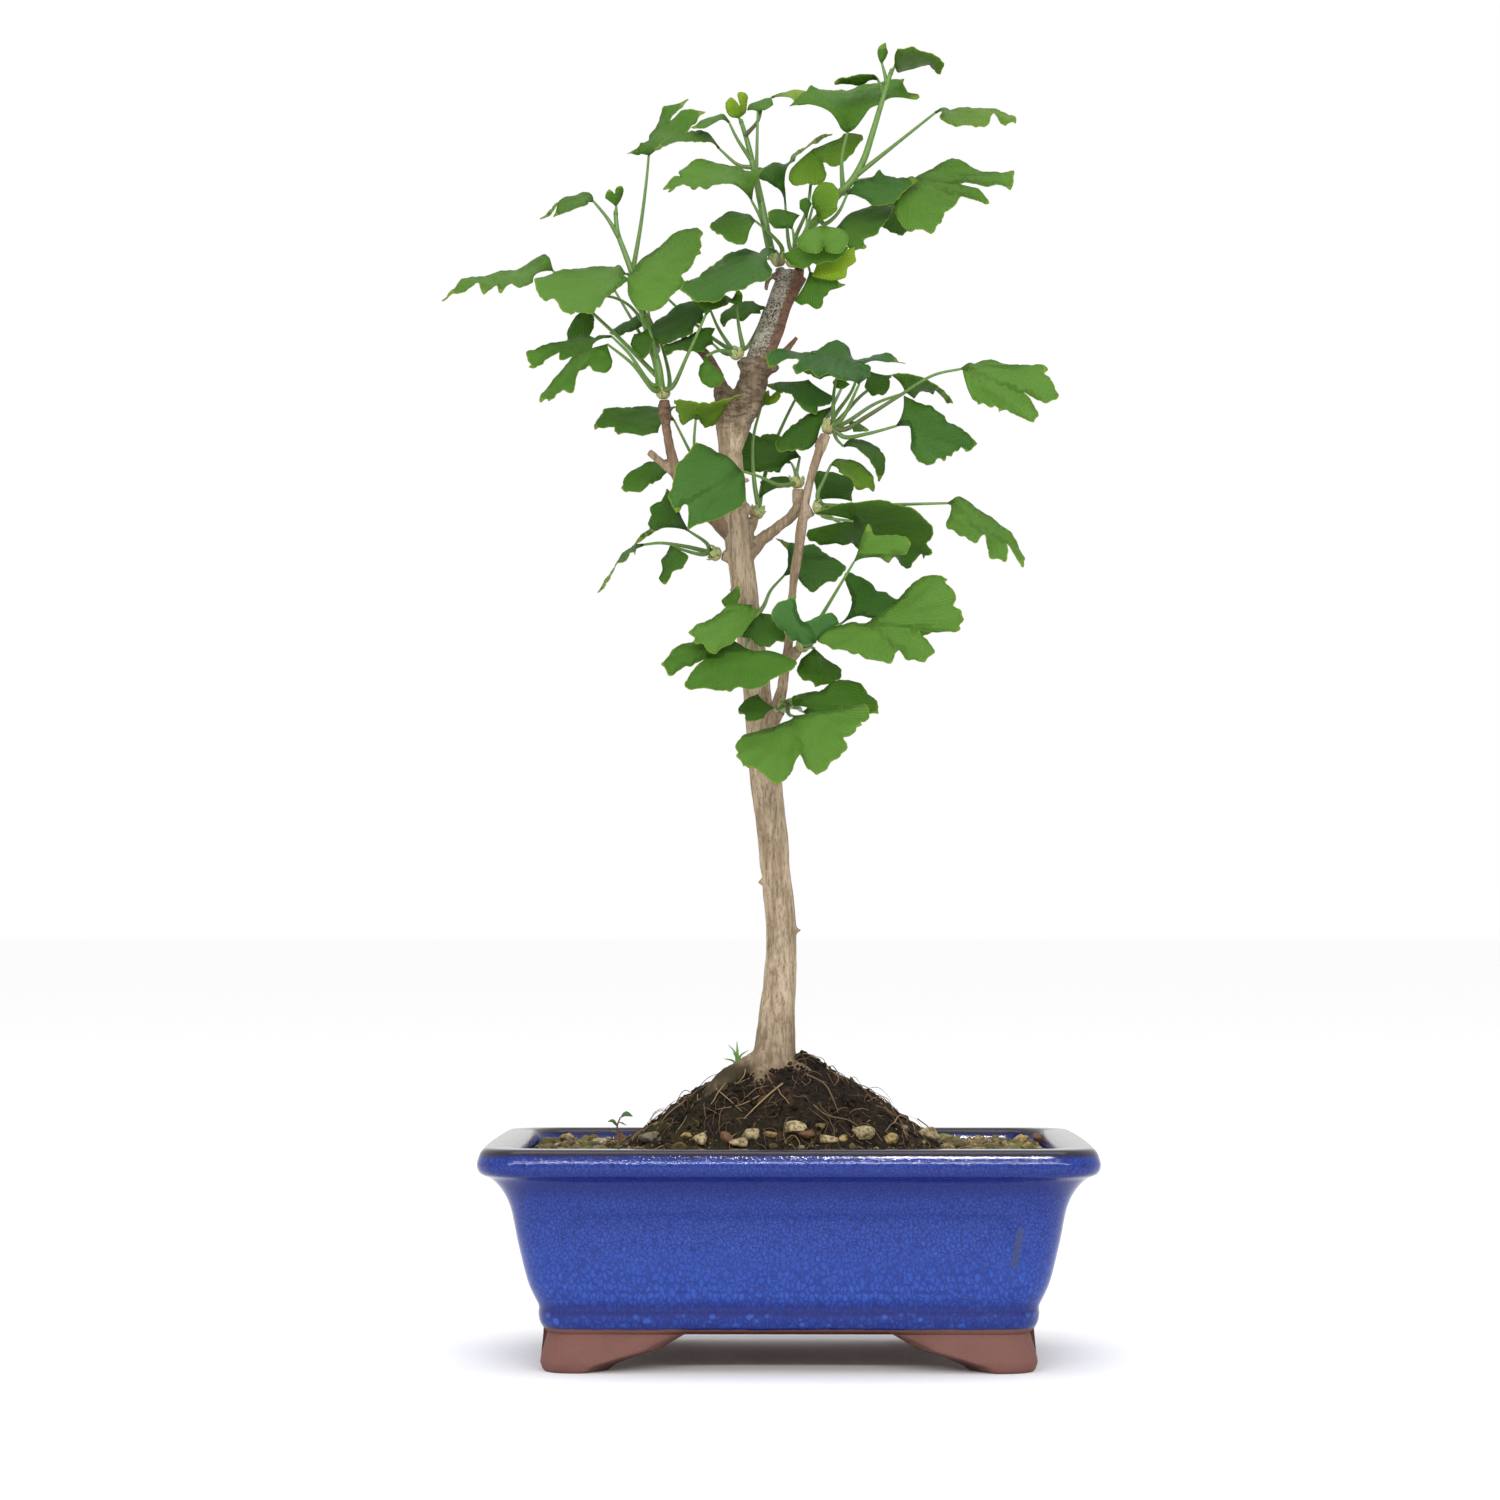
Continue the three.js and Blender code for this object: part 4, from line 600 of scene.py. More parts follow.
@dataclass(frozen=True)
class Bark(Finish):
    """Grey-tan bark with upright fibres, browner at the fork and mottled grey on the leader."""

    tan: Colour = (0.27, 0.2, 0.122)
    pale: Colour = (0.49, 0.385, 0.27)
    brown: Colour = (0.09, 0.058, 0.03)
    grey: Colour = (0.36, 0.33, 0.27)
    black: Colour = (0.03, 0.022, 0.016)
    olive: Colour = (0.042, 0.031, 0.012)
    red: Colour = (0.17, 0.082, 0.05)

    def paint(self) -> bpy.types.Material:
        """Runs fibres up the wood and tints it by height, with painted shadow under the leaves and painted
        shade in the collar's furrows.

        Returns:
            The wood's material.
        """
        shade = Shade("bark", Specular_IOR_Level=0.25)
        height = shade.axis("Z")
        across = shade.axis("X")
        fibre = shade.grain(0.85, 4.0, shade.stretched((1.0, 1.0, 0.1)), 0.65)
        streak = shade.grain(2.6, 3.0, shade.stretched((1.0, 1.0, 0.07)))
        patch = shade.grain(7.0, 4.0, rough_=0.6)
        speck = shade.grain(0.55, 3.0)
        weave = shade.grain(0.9, 5.0, shade.stretched((1.0, 1.0, 0.28)), 0.75)
        skin = shade.mix(shade.band(streak + 0.5 * weave, 0.6, 0.95), self.tan, self.pale)
        skin = shade.mix(shade.band(weave, 0.5, 0.36) * 0.4, skin, self.brown)
        skin = shade.mix(shade.band(fibre, 0.46, 0.34) * 0.5, skin, self.brown)
        skin = shade.mix(shade.band(patch, 0.58, 0.68) * 0.35, skin, self.brown)
        foot = shade.band(height + 9 * patch, 128.0, 100.0)
        skin = shade.mix(foot * 0.45, skin, self.brown)

        # The collar of the fork, with painted shade in its wrinkles' furrows, and the young wood above it
        collar = shade.band(height + 8 * patch, 318.0, 332.0)
        wrinkle = shade.grain(1.5, 4.0, shade.stretched((0.35, 0.35, 1.0)), 0.7)
        shaded_furrow = shade.band(wrinkle, 0.5, 0.42) * shade.band(height + 8 * patch, 316.0, 326.0)
        skin = shade.mix(collar * 0.68, skin, self.brown)
        # Painted shade in the furrows of the collar's wrinkles
        skin = shade.mix(shaded_furrow * 0.4, skin, self.black)
        # Painted shadow of the leaves on the trunk below the fork
        leaf_shadow = shade.band(height, 236.0, 252.0) * shade.band(height, 300.0, 284.0)
        skin = shade.mix(leaf_shadow * 0.2, skin, self.brown)
        leader = shade.band(height + 5 * patch, 341.0, 350.0)
        ridge = shade.band(across - Frame.shift - (height - 346.5) * 0.302 + 2 * weave, -5.8, -3.8)
        spotted = shade.mix(shade.band(speck + 0.35 * patch, 0.66, 0.58), self.grey, self.black)
        old = shade.mix(ridge, spotted, self.red)
        skin = shade.mix(leader * 0.85, skin, old)
        twig = shade.mark("twig")
        skin = shade.mix(twig * (0.45 + 0.4 * patch), skin, self.red)
        skin = shade.mix(twig * 0.3, skin, self.brown)
        root = shade.band(across - Frame.shift, -10.0, -14.0) * shade.band(height, 102.0, 98.0)
        skin = shade.mix(root * (0.35 + 1.1 * patch), skin, self.olive)
        shade.colour(skin)
        shade.gloss(0.7 + 0.2 * fibre)
        shade.relief(0.5 * fibre + 0.5 * streak + 0.8 * weave - 0.7 * shaded_furrow, 0.5)
        return shade.made


class Tone(Enum):
    """A leaf's colour: how young, how bluish with painted sky reflection, how dark with painted shade and how
    pale with painted light and sheen it is.
    """

    MID = (0.0, 0.0, 0.0, 0.0)
    YOUNG = (1.0, 0.0, 0.0, 0.0)
    FRESH = (0.35, 0.0, 0.0, 0.0)
    # Painted sky reflection on a shaded upper side, with a little painted shade
    BLUISH = (0.0, 1.0, 0.15, 0.0)
    # Painted sky reflection with painted shade
    COOL = (0.0, 0.55, 0.4, 0.0)
    # Painted shade on a leaf in shadow
    DARK = (0.0, 0.1, 0.75, 0.0)
    # Painted light and sheen on a top-lit leaf
    PALE = (0.0, 0.0, 0.0, 1.0)


@dataclass(frozen=True)
class LeafFinish(Finish):
    """Satin green blades with fanned veins and a thin yellowish margin."""

    green: Colour = (0.03, 0.098, 0.006)
    light: Colour = (0.06, 0.15, 0.011)
    young: Colour = (0.17, 0.27, 0.01)
    # Colour of the painted sky reflection
    bluish: Colour = (0.036, 0.115, 0.032)
    # Colour of the painted shade, also used for the mottling
    dark: Colour = (0.019, 0.06, 0.004)
    under: Colour = (0.034, 0.085, 0.006)
    rim: Colour = (0.19, 0.26, 0.03)
    # Colour of the painted light and sheen
    pale: Colour = (0.09, 0.195, 0.026)

    def paint(self) -> bpy.types.Material:
        """Draws the veins from each point's place on its leaf, and paints its shade, sky reflection, light
        and sheen by its tone.

        Returns:
            The blades' material.
        """
        shade = Shade("leaf", Specular_IOR_Level=0.12, Subsurface_Weight=0.1,
                      Subsurface_Radius=(0.4, 1.0, 0.15), Subsurface_Scale=0.001)
        run = shade.mark("vein", "X")
        outward = shade.mark("vein", "Y")
        chance = shade.mark("vein", "Z")
        blotch = shade.grain(6.0, 3.0)
        mottle = shade.grain(1.6, 3.0)
        main = (run * 5.2).sine() * 0.5 + 0.5
        half = (run * 2.6 + 1.0).sine() * 0.5 + 0.5
        vein = shade.band(outward, 0.3, 0.62) * main + shade.band(outward, 0.62, 0.3) * half
        ray = shade.grain(1.0, 2.0, self._fan(shade, run, outward))
        face = shade.mix(0.35 * ray + 0.45 * blotch + 0.3 * chance, self.green, self.light)
        youth = shade.mark("tone", "X") * (0.45 + 0.55 * shade.band(outward + 0.2 * blotch, 0.35, 1.0))
        face = shade.mix(youth, face, self.young)
        # Painted light and sheen by the leaf's tone
        face = shade.mix(shade.mark("pale") * (0.45 + 0.35 * blotch), face, self.pale)
        # Painted sky reflection by the leaf's tone
        face = shade.mix(shade.mark("tone", "Y") * 0.75, face, self.bluish)
        # Painted shade by the leaf's tone
        face = shade.mix(shade.mark("tone", "Z") * 0.7, face, self.dark)
        face = shade.mix(vein * 0.22, face, self.light)
        face = shade.mix(shade.mark("under") * 0.55, face, self.under)
        face = shade.mix(shade.band(mottle, 0.6, 0.75) * 0.12, face, self.dark)
        margin = shade.band(outward + 0.02 * mottle, 0.985, 1.005)
        shade.colour(shade.mix(margin * 0.6, face, self.rim))
        shade.gloss(0.42 + 0.16 * ray)
        shade.relief(vein + 0.5 * ray, 0.11)
        return shade.made

    @staticmethod
    def _fan(shade: Shade, run: Wire, outward: Wire) -> Wire:
        """A place on the fan: fine across the veins and long along them."""
        parts = {0: run * 1.6, 1: outward * 1.5, 2: shade.mark("vein", "Z") * 40}
        return shade.node("ShaderNodeCombineXYZ", {}, parts)


@dataclass(frozen=True)
class StalkFinish(Finish):
    """Green stalks and shoots, some of them purple-brown towards the foot."""

    green: Colour = (0.085, 0.18, 0.03)
    pale: Colour = (0.17, 0.28, 0.07)
    brown: Colour = (0.06, 0.035, 0.022)

    def paint(self) -> bpy.types.Material:
        """Fades the stalks from brown to green.

        Returns:
            The stalks' material.
        """
        shade = Shade("stalk", Specular_IOR_Level=0.35, Roughness=0.42)
        streak = shade.grain(0.8, 3.0, shade.stretched((1.0, 1.0, 0.2)))
        skin = shade.mix(shade.band(streak, 0.3, 0.8) * 0.5, self.green, self.pale)
        shade.colour(shade.mix(shade.mark("brown"), skin, self.brown))
        shade.relief(streak, 0.08)
        return shade.made


@dataclass(frozen=True)
class BudFinish(Finish):
    """Bud scales, brown and papery on old spurs, pale green on new ones."""

    brown: Colour = (0.24, 0.11, 0.045)
    husk: Colour = (0.42, 0.27, 0.13)
    green: Colour = (0.3, 0.42, 0.16)

    def paint(self) -> bpy.types.Material:
        """Mixes husk and green by each scale's own value.

        Returns:
            The buds' material.
        """
        shade = Shade("bud", Roughness=0.6, Specular_IOR_Level=0.3)
        streak = shade.grain(0.5, 3.0)
        husk = shade.mix(shade.band(streak, 0.35, 0.7), self.brown, self.husk)
        shade.colour(shade.mix(shade.mark("fresh"), husk, self.green))
        shade.relief(streak, 0.1)
        return shade.made


@dataclass(frozen=True)
class SoilFinish(Finish):
    """Dark crumbly soil with a mossy tint and paler fibres."""

    black: Colour = (0.003, 0.002, 0.0015)
    brown: Colour = (0.022, 0.013, 0.007)
    moss: Colour = (0.05, 0.047, 0.008)
    tan: Colour = (0.15, 0.09, 0.04)
    ochre: Colour = (0.075, 0.04, 0.014)

    def paint(self) -> bpy.types.Material:
        """Scatters crumbs, moss and fibres.

        Returns:
            The soil's material.
        """
        shade = Shade("soil", Specular_IOR_Level=0.2, Roughness=0.92)
        crumb = shade.cells(1.3)
        fine = shade.grain(0.5, 4.0, rough_=0.7)
        patch = shade.grain(13.0, 3.0)
        ground = shade.mix(shade.band(fine + 0.3 * crumb, 0.45, 0.85), self.black, self.brown)
        green = shade.mark("moss") * shade.band(patch + 0.25 * fine, 0.5, 0.75)
        ground = shade.mix(green * 0.75, ground, self.moss)
        ground = shade.mix(shade.band(shade.grain(4.0, 5.0), 0.56, 0.68) * 0.6, ground, self.ochre)
        fleck = shade.band(shade.grain(0.9, 1.0, shade.stretched((1.0, 0.3, 1.6))), 0.7, 0.78)
        shade.colour(shade.mix(fleck * 0.6, ground, self.tan))
        shade.relief(crumb + fine, 0.6)
        return shade.made


@dataclass(frozen=True)
class PebbleFinish(Finish):
    """Pebbles in their own colours, with pits and a little moss."""

    moss: Colour = (0.09, 0.1, 0.02)
    shadow: Colour = (0.05, 0.04, 0.03)
    earth_and_shade: Colour = (0.13, 0.085, 0.03)

    def paint(self) -> bpy.types.Material:
        """Takes each stone's colour from its points, with painted shade in its pits, earth patches partly
        painted shade, and moss.

        Returns:
            The pebbles' material.
        """
        shade = Shade("pebble", Specular_IOR_Level=0.3, Roughness=0.78)
        base = shade.node("ShaderNodeAttribute", {"attribute_name": "tint"}, {}, "Color")
        grit = shade.grain(0.6, 4.0, rough_=0.7)
        patch = shade.grain(2.4, 3.0)
        skin = shade.mix(shade.band(grit, 0.52, 0.35) * 0.5, base, self.shadow)
        # Earth-brown patches: partly stains, partly painted shade on the stones
        skin = shade.mix(shade.band(shade.grain(1.5, 4.0), 0.44, 0.6) * 0.85, skin, self.earth_and_shade)
        green = shade.band(patch + shade.mark("moss"), 0.8, 1.1)
        shade.colour(shade.mix(green * 0.8, skin, self.moss))
        shade.relief(grit + patch, 0.35)
        return shade.made


@dataclass(frozen=True)
class FibreFinish(Finish):
    """Fine roots, from dark brown to light tan."""

    dark: Colour = (0.045, 0.026, 0.015)
    tan: Colour = (0.36, 0.23, 0.12)

    def paint(self) -> bpy.types.Material:
        """Mixes the two browns by each root's own value.

        Returns:
            The fine roots' material.
        """
        shade = Shade("root", Roughness=0.8, Specular_IOR_Level=0.25)
        streak = shade.grain(0.6, 3.0)
        shade.colour(shade.mix(shade.mark("tan") * (0.6 + 0.5 * streak), self.dark, self.tan))
        shade.relief(streak, 0.15)
        return shade.made


@dataclass(frozen=True)
class GrassFinish(Finish):
    """Young grass and a seedling: bright blades, a darker leaf and a reddish stem."""

    bright: Colour = (0.08, 0.22, 0.03)
    pale: Colour = (0.22, 0.38, 0.09)
    dark: Colour = (0.02, 0.05, 0.015)
    red: Colour = (0.16, 0.05, 0.03)

    def paint(self) -> bpy.types.Material:
        """Fades the blades and picks dark or red parts by their own values.

        Returns:
            The small plants' material.
        """
        shade = Shade("grass", Roughness=0.5, Specular_IOR_Level=0.3)
        streak = shade.grain(0.5, 2.0)
        skin = shade.mix(shade.mark("kind", "X") * (0.5 + 0.7 * streak), self.bright, self.pale)
        skin = shade.mix(shade.mark("kind", "Y"), skin, self.dark)
        shade.colour(shade.mix(shade.mark("kind", "Z"), skin, self.red))
        shade.relief(streak, 0.08)
        return shade.made


@dataclass(frozen=True)
class Plain(Finish):
    """One colour with a faint grain, for the screens and the floor."""

    name: str
    colour: Colour
    roughness: float
    grain: float = 2.0
    depth: float = 0.1

    def paint(self) -> bpy.types.Material:
        """Lays a faint noise over the colour.

        Returns:
            The material.
        """
        shade = Shade(self.name, Roughness=self.roughness)
        faint = shade.grain(self.grain, 3.0)
        darker = tuple(0.96 * part for part in self.colour)
        shade.colour(shade.mix(faint, self.colour, darker))
        shade.relief(faint, self.depth)
        return shade.made


@dataclass
class Pot:
    """The glazed pot: bullnose rim, cove, one sunk panel a side, base bead and bracket feet."""

    rim_half: float = 101.6
    depth_less: float = 25.5
    underside: float = 12.7
    floor: float = 21.0
    foot_half: float = 80.0
    foot_wall: float = 9.0
    panel_half: tuple[float, float] = (73.6, 48.1)
    panel_span: tuple[float, float] = (26.8, 52.0)
    panel_corner: float = 8.0
    panel_depth: float = 1.5
    panel_soft: float = 1.7
    bow: float = 1.3
    drain_x: float = 46.0
    drain_radius: float = 7.0
    outside: str = """79.6 12.7, 80.5 13.6, 82 16, 82.6 18.9, 82.5 21.5, 83.6 24, 85.8 29.2, 88.8 42.2,
        91.1 54.6, 93.6 60, 97 63.8, 100.4 65.6, 101.4 67.3, 101.5 68.9, 101.2 70.2, 100.6 72, 99.9 73.2,
        98.9 73.88"""
    inside: str = "91.2 73.9, 90.1 73.3, 89.7 72, 88.2 66, 84 48, 79.5 30, 75.6 22, 73 21"
    arch: str = "34 13.2, 38 12, 43 9.5, 47 7.3, 57 4.4, 63.4 2.3, 65 1.4, 66 0.5, 67 0"
    side_arch: float = 0.68
    apron: str = "-1.4 14.7, -0.2 12, 0.7 8.6, 1.6 5.7, 2.1 3.2, 1.4 0.9, 0.6 0"
    apron_inside: tuple[float, ...] = (0, 4, 8, 14.7)
    underside_halves: tuple[float, ...] = (44, 62, 74)
    floor_halves: tuple[float, ...] = (66, 56, 44)
    corner_low: float = 9.0
    corner_growth: float = 0.18
    straights: tuple[float, float] = (80, 56)
    straight_step: float = 1.6
    wall_step: float = 0.95

    def loop(self, half: float, height: float) -> np.ndarray:
        """Gives one level's rounded rectangle, with close points on its straight sides too.

        Args:
            half: its half width.
            height: its level.

        Returns:
            Its points, anticlockwise from the right-hand back corner.
        """
        deep = half - self.depth_less
        corner = self.corner_low + (half - 72) * self.corner_growth
        counts = [round(2 * side / self.straight_step) for side in self.straights]
        arcs = []
        for quarter, (sx, sy) in enumerate(((1, 1), (-1, 1), (-1, -1), (1, -1))):
            turn = (quarter + np.linspace(0, 1, 11)) * np.pi / 2
            arcs.append(np.stack([sx * (half - corner) + corner * np.cos(turn),
                                  sy * (deep - corner) + corner * np.sin(turn)], axis=1))
        parts = []
        for quarter, arc in enumerate(arcs):
            following = arcs[(quarter + 1) % 4][0]
            share = np.linspace(0, 1, counts[quarter % 2] + 1)[1:-1, None]
            parts.extend([arc, arc[-1] + share * (following - arc[-1])])
        flat = np.vstack(parts)
        return np.column_stack([flat, np.full(len(flat), height)])

    def levels(self, profile: str, spacing: float) -> list[np.ndarray]:
        """Rounds a profile off and gives its loops, level by level."""
        return [self.loop(half, height) for half, height in evenly(spline(rows(profile), 8), spacing)]

    def press(self, points: np.ndarray) -> np.ndarray:
        """Sinks the four panels into the wall and bows the short sides out.

        Args:
            points: the outer wall's points.

        Returns:
            The same points, moved.
        """
        x, y, z = points.T
        half_high = (self.panel_span[1] - self.panel_span[0]) / 2
        middle = (self.panel_span[1] + self.panel_span[0]) / 2
        moved = points.copy()
        for along, off, half in ((0, 1, self.panel_half[0]), (1, 0, self.panel_half[1])):
            limit = (self.rim_half, self.rim_half - self.depth_less)
            this_side = np.abs(points[:, off]) / limit[off] > np.abs(points[:, along]) / limit[along] * 0.96
            dx = np.abs(points[:, along]) - (half - self.panel_corner)
            dz = np.abs(z - middle) - (half_high - self.panel_corner)
            far = (np.hypot(np.maximum(dx, 0), np.maximum(dz, 0))
                   + np.minimum(np.maximum(dx, dz), 0) - self.panel_corner)
            sunk = self.panel_depth * smooth(-far, -self.panel_soft, self.panel_soft) * this_side
            moved[:, off] -= np.sign(points[:, off]) * sunk
        bowed = self.bow * np.clip(1 - (y / 70) ** 2, 0, 1) * smooth(z, 30, 66)
        moved[:, 0] += np.sign(x) * bowed * smooth(np.abs(x), 70, 84)
        moved[:, :2] *= (1 + 0.0011 * rough(points, 34)[:, None])
        return moved

    def shell(self, draft: Draft) -> None:
        """Adds the walls, the floor and the underside.

        Args:
            draft: what gathers them.
        """
        outer = self.levels(self.outside, self.wall_step)
        inner = self.levels(self.inside, 2.4)
        count = len(outer[0])
        below = [self.loop(half, self.underside) for half in self.underside_halves]
        above = [self.loop(half, self.floor) for half in self.floor_halves]
        loops = [*below, *(self.press(loop) for loop in outer), *inner, *above]
        points = np.vstack([*loops, [[0, 0, self.underside]], [[0, 0, self.floor]]])
        last = (len(loops) - 1) * count
        draft.add(points, [grid(len(loops), count), cap(0, count, len(loops) * count, True),
                           cap(last, count, len(loops) * count + 1, False)])

    def feet(self, draft: Draft) -> None:
        """Adds the clay apron under the pot, cut away in an arch on each side.

        Args:
            draft: what gathers it.
        """
        base = self.loop(self.foot_half, 0)
        deep = self.foot_half - self.depth_less
        on_long = np.abs(base[:, 1]) / deep > np.abs(base[:, 0]) / self.foot_half
        reach = np.where(on_long, np.abs(base[:, 0]), np.abs(base[:, 1]) / self.side_arch)
        lowest = np.interp(reach, *rows(self.arch).T)
        rings = []
        for out, height in evenly(rows(self.apron), 1.1):
            ring = self.loop(self.foot_half + out, 0)
            ring[:, 2] = np.maximum(height, lowest)
            rings.append(ring)
        inner = self.loop(self.foot_half - self.foot_wall, 0)
        for height in self.apron_inside:
            ring = inner.copy()
            ring[:, 2] = np.maximum(height, lowest)
            rings.append(ring)
        points = np.vstack(rings)
        points[:, :2] *= 1 + 0.002 * rough(points, 9)[:, None]
        draft.add(points, [faces[:, ::-1] for faces in closed_grid(len(rings), len(base))])

    def drill(self, pot: bpy.types.Object) -> None:
        """Cuts the two drain holes.

        Args:
            pot: the pot's object.
        """
        for side in (-1, 1):
            line = np.array([[side * self.drain_x, 0, z] for z in (self.underside - 2, self.floor + 2)])
            points, faces, _ = tube(line, [self.drain_radius] * 2, 32)
            cutter = Draft()
            cutter.add(points, faces)
            tool = cutter.object("drill")
            cut = pot.modifiers.new("drain", "BOOLEAN")
            cut.object = tool
            cut.solver = "EXACT"
            settle(pot)
            bpy.data.objects.remove(tool)

    def build(self) -> bpy.types.Object:
        """Makes the pot.

        Returns:
            The pot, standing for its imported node.
        """
        shell = Draft()
        self.shell(shell)
        body = shell.object("shell")
        self.drill(body)
        whole = Draft()
        whole.add(*taken_apart(body))
        self.feet(whole)
        return whole.piece("glazed_pot", Glaze(), "glaze", ["pot"])


def settle(obj: bpy.types.Object) -> None:
    """Applies an object's modifiers to its mesh.

    Args:
        obj: the object.
    """
    graph = bpy.context.evaluated_depsgraph_get()
    settled = bpy.data.meshes.new_from_object(obj.evaluated_get(graph))
    obj.modifiers.clear()
    obj.data = settled


def taken_apart(obj: bpy.types.Object) -> tuple[np.ndarray, np.ndarray]:
    """Reads an object's shape and removes the object.

    Args:
        obj: the object.

    Returns:
        Its points in millimetres from the pot's middle, and its faces as triangles.
    """
    points = np.empty(len(obj.data.vertices) * 3)
    obj.data.vertices.foreach_get("co", points)
    obj.modifiers.new("split", "TRIANGULATE")
    settle(obj)
    triangles = np.array([list(face.vertices) for face in obj.data.polygons])
    bpy.data.objects.remove(obj)
    return points.reshape(-1, 3) / MM - (Frame.shift, 0, 0), triangles


@dataclass
class Limb:
    """One piece of wood: its route on the sight plane, its radii, and how twiggy its bark is."""

    route: str
    radii: tuple[float, ...]
    twig: float = 0.0

    def line(self, spacing: float = 0.9) -> tuple[np.ndarray, np.ndarray]:
        """Rounds the limb's route off.

        Args:
            spacing: about how far apart its points are.

        Returns:
            The limb's axis in space, and its radius at each of its points.
        """
        places = seen(rows(self.route))
        run = spline(np.column_stack([places, self.radii]), 10)
        even = evenly(run, spacing)
        return even[:, :3], even[:, 3]


@dataclass
class Tree:
    """The wood: trunk, surface roots, leader, twigs, cut stubs and spurs."""

    voxel: float = 0.55
    spur_radii: tuple[float, float] = (2.4, 1.9)
    scar_half: float = 1.6
    limbs: dict[str, Limb] = field(default_factory=lambda: LIMBS)
    scars: tuple[tuple[float, float, float, float], ...] = (
        (-9.0, 161.5, 4.0, 1.3), (2.6, 144.9, 5.0, 1.3), (-10.2, 190.0, 1.0, 1.0), (-5.0, 176.0, 1.0, 1.0),
        (-19.0, 262.0, -3.0, 1.5), (-14.8, 300.0, -3.0, 1.3),
    )

    def wood(self) -> tuple[np.ndarray, np.ndarray]:
        """Fuses the limbs and spurs into one skin.

        Returns:
            Its points and triangles.
        """
        draft = Draft()
        for limb in self.limbs.values():
            points, faces, _ = tube(*limb.line(), 20)
            draft.add(points, faces)
        for spray in SPRAYS.values():
            points, faces, _ = tube(evenly(spray.spur_line(), 0.8), self.spur_radii, 14)
            draft.add(points, faces)
        for x, z, depth, radius in self.scars:
            across = np.array([[-self.scar_half, 0, 0], [0, 0, 0], [self.scar_half, 0, 0]])
            points, faces, _ = tube(seen(np.array([[x, z, depth]])) + across, (0.4, radius, 0.4), 10)
            draft.add(points, faces)
        raw = draft.object("raw_wood")
        fuse = raw.modifiers.new("fuse", "REMESH")
        fuse.mode = "VOXEL"
        fuse.voxel_size = self.voxel * MM
        soften = raw.modifiers.new("soften", "SMOOTH")
        soften.iterations = 4
        settle(raw)
        return taken_apart(raw)

    def carve(self, points: np.ndarray, triangles: np.ndarray) -> np.ndarray:
        """Raises fibres, furrows and growth rings on the skin.

        Args:
            points: the skin's points.
            triangles: its faces.

        Returns:
            The points, moved along their normals.
        """
        normals = face_normals(points, triangles)
        thick = smooth(points[:, 2], 330, 290)
        fibre = rough(points, (1.7, 1.7, 15.0))
        fine = rough(points, (0.9, 0.9, 5.0), 7.0)
        lumps = rough(points, (6.0, 6.0, 11.0), 3.0)
        collar = np.exp(-((points[:, 2] - 328) / 13) ** 2) * rough(points, (3.6, 3.6, 1.5), 17.0)
        out = (0.34 * fibre + 0.16 * fine) * (0.45 + 0.55 * thick) + 0.3 * lumps + 0.6 * collar - 0.12
        foot = smooth(points[:, 2], 125, 96)
        out += 0.5 * foot * rough(points, (4.0, 4.0, 20.0), 11.0)
        return points + normals * out[:, None]

    def twiggy(self, points: np.ndarray) -> np.ndarray:
        """How much of each point's bark is a thin twig's.

        Args:
            points: the skin's points.

        Returns:
            Values from 0, old bark, to 1.
        """
        axes = [(*limb.line(2.0), limb.twig) for limb in self.limbs.values()]
        stations = np.vstack([line for line, _, _ in axes])
        radii = np.concatenate([radius for _, radius, _ in axes])
        values = np.concatenate([np.full(len(line), twig) for line, _, twig in axes])
        nearest = np.empty(len(points), int)
        batch = 4000
        for start in range(0, len(points), batch):
            part = points[start:start + batch]
            away = np.linalg.norm(part[:, None, :] - stations[None], axis=2) - radii
            nearest[start:start + batch] = away.argmin(axis=1)
        return values[nearest]

    def build(self) -> bpy.types.Object:
        """Makes the wood and its spurs.

        Returns:
            The wood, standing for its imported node.
        """
        points, triangles = self.wood()
        skin = Draft()
        skin.add(self.carve(points, triangles), triangles, twig=self.twiggy(points))
        return skin.piece("wood", Bark(), "bark", ["tree"])


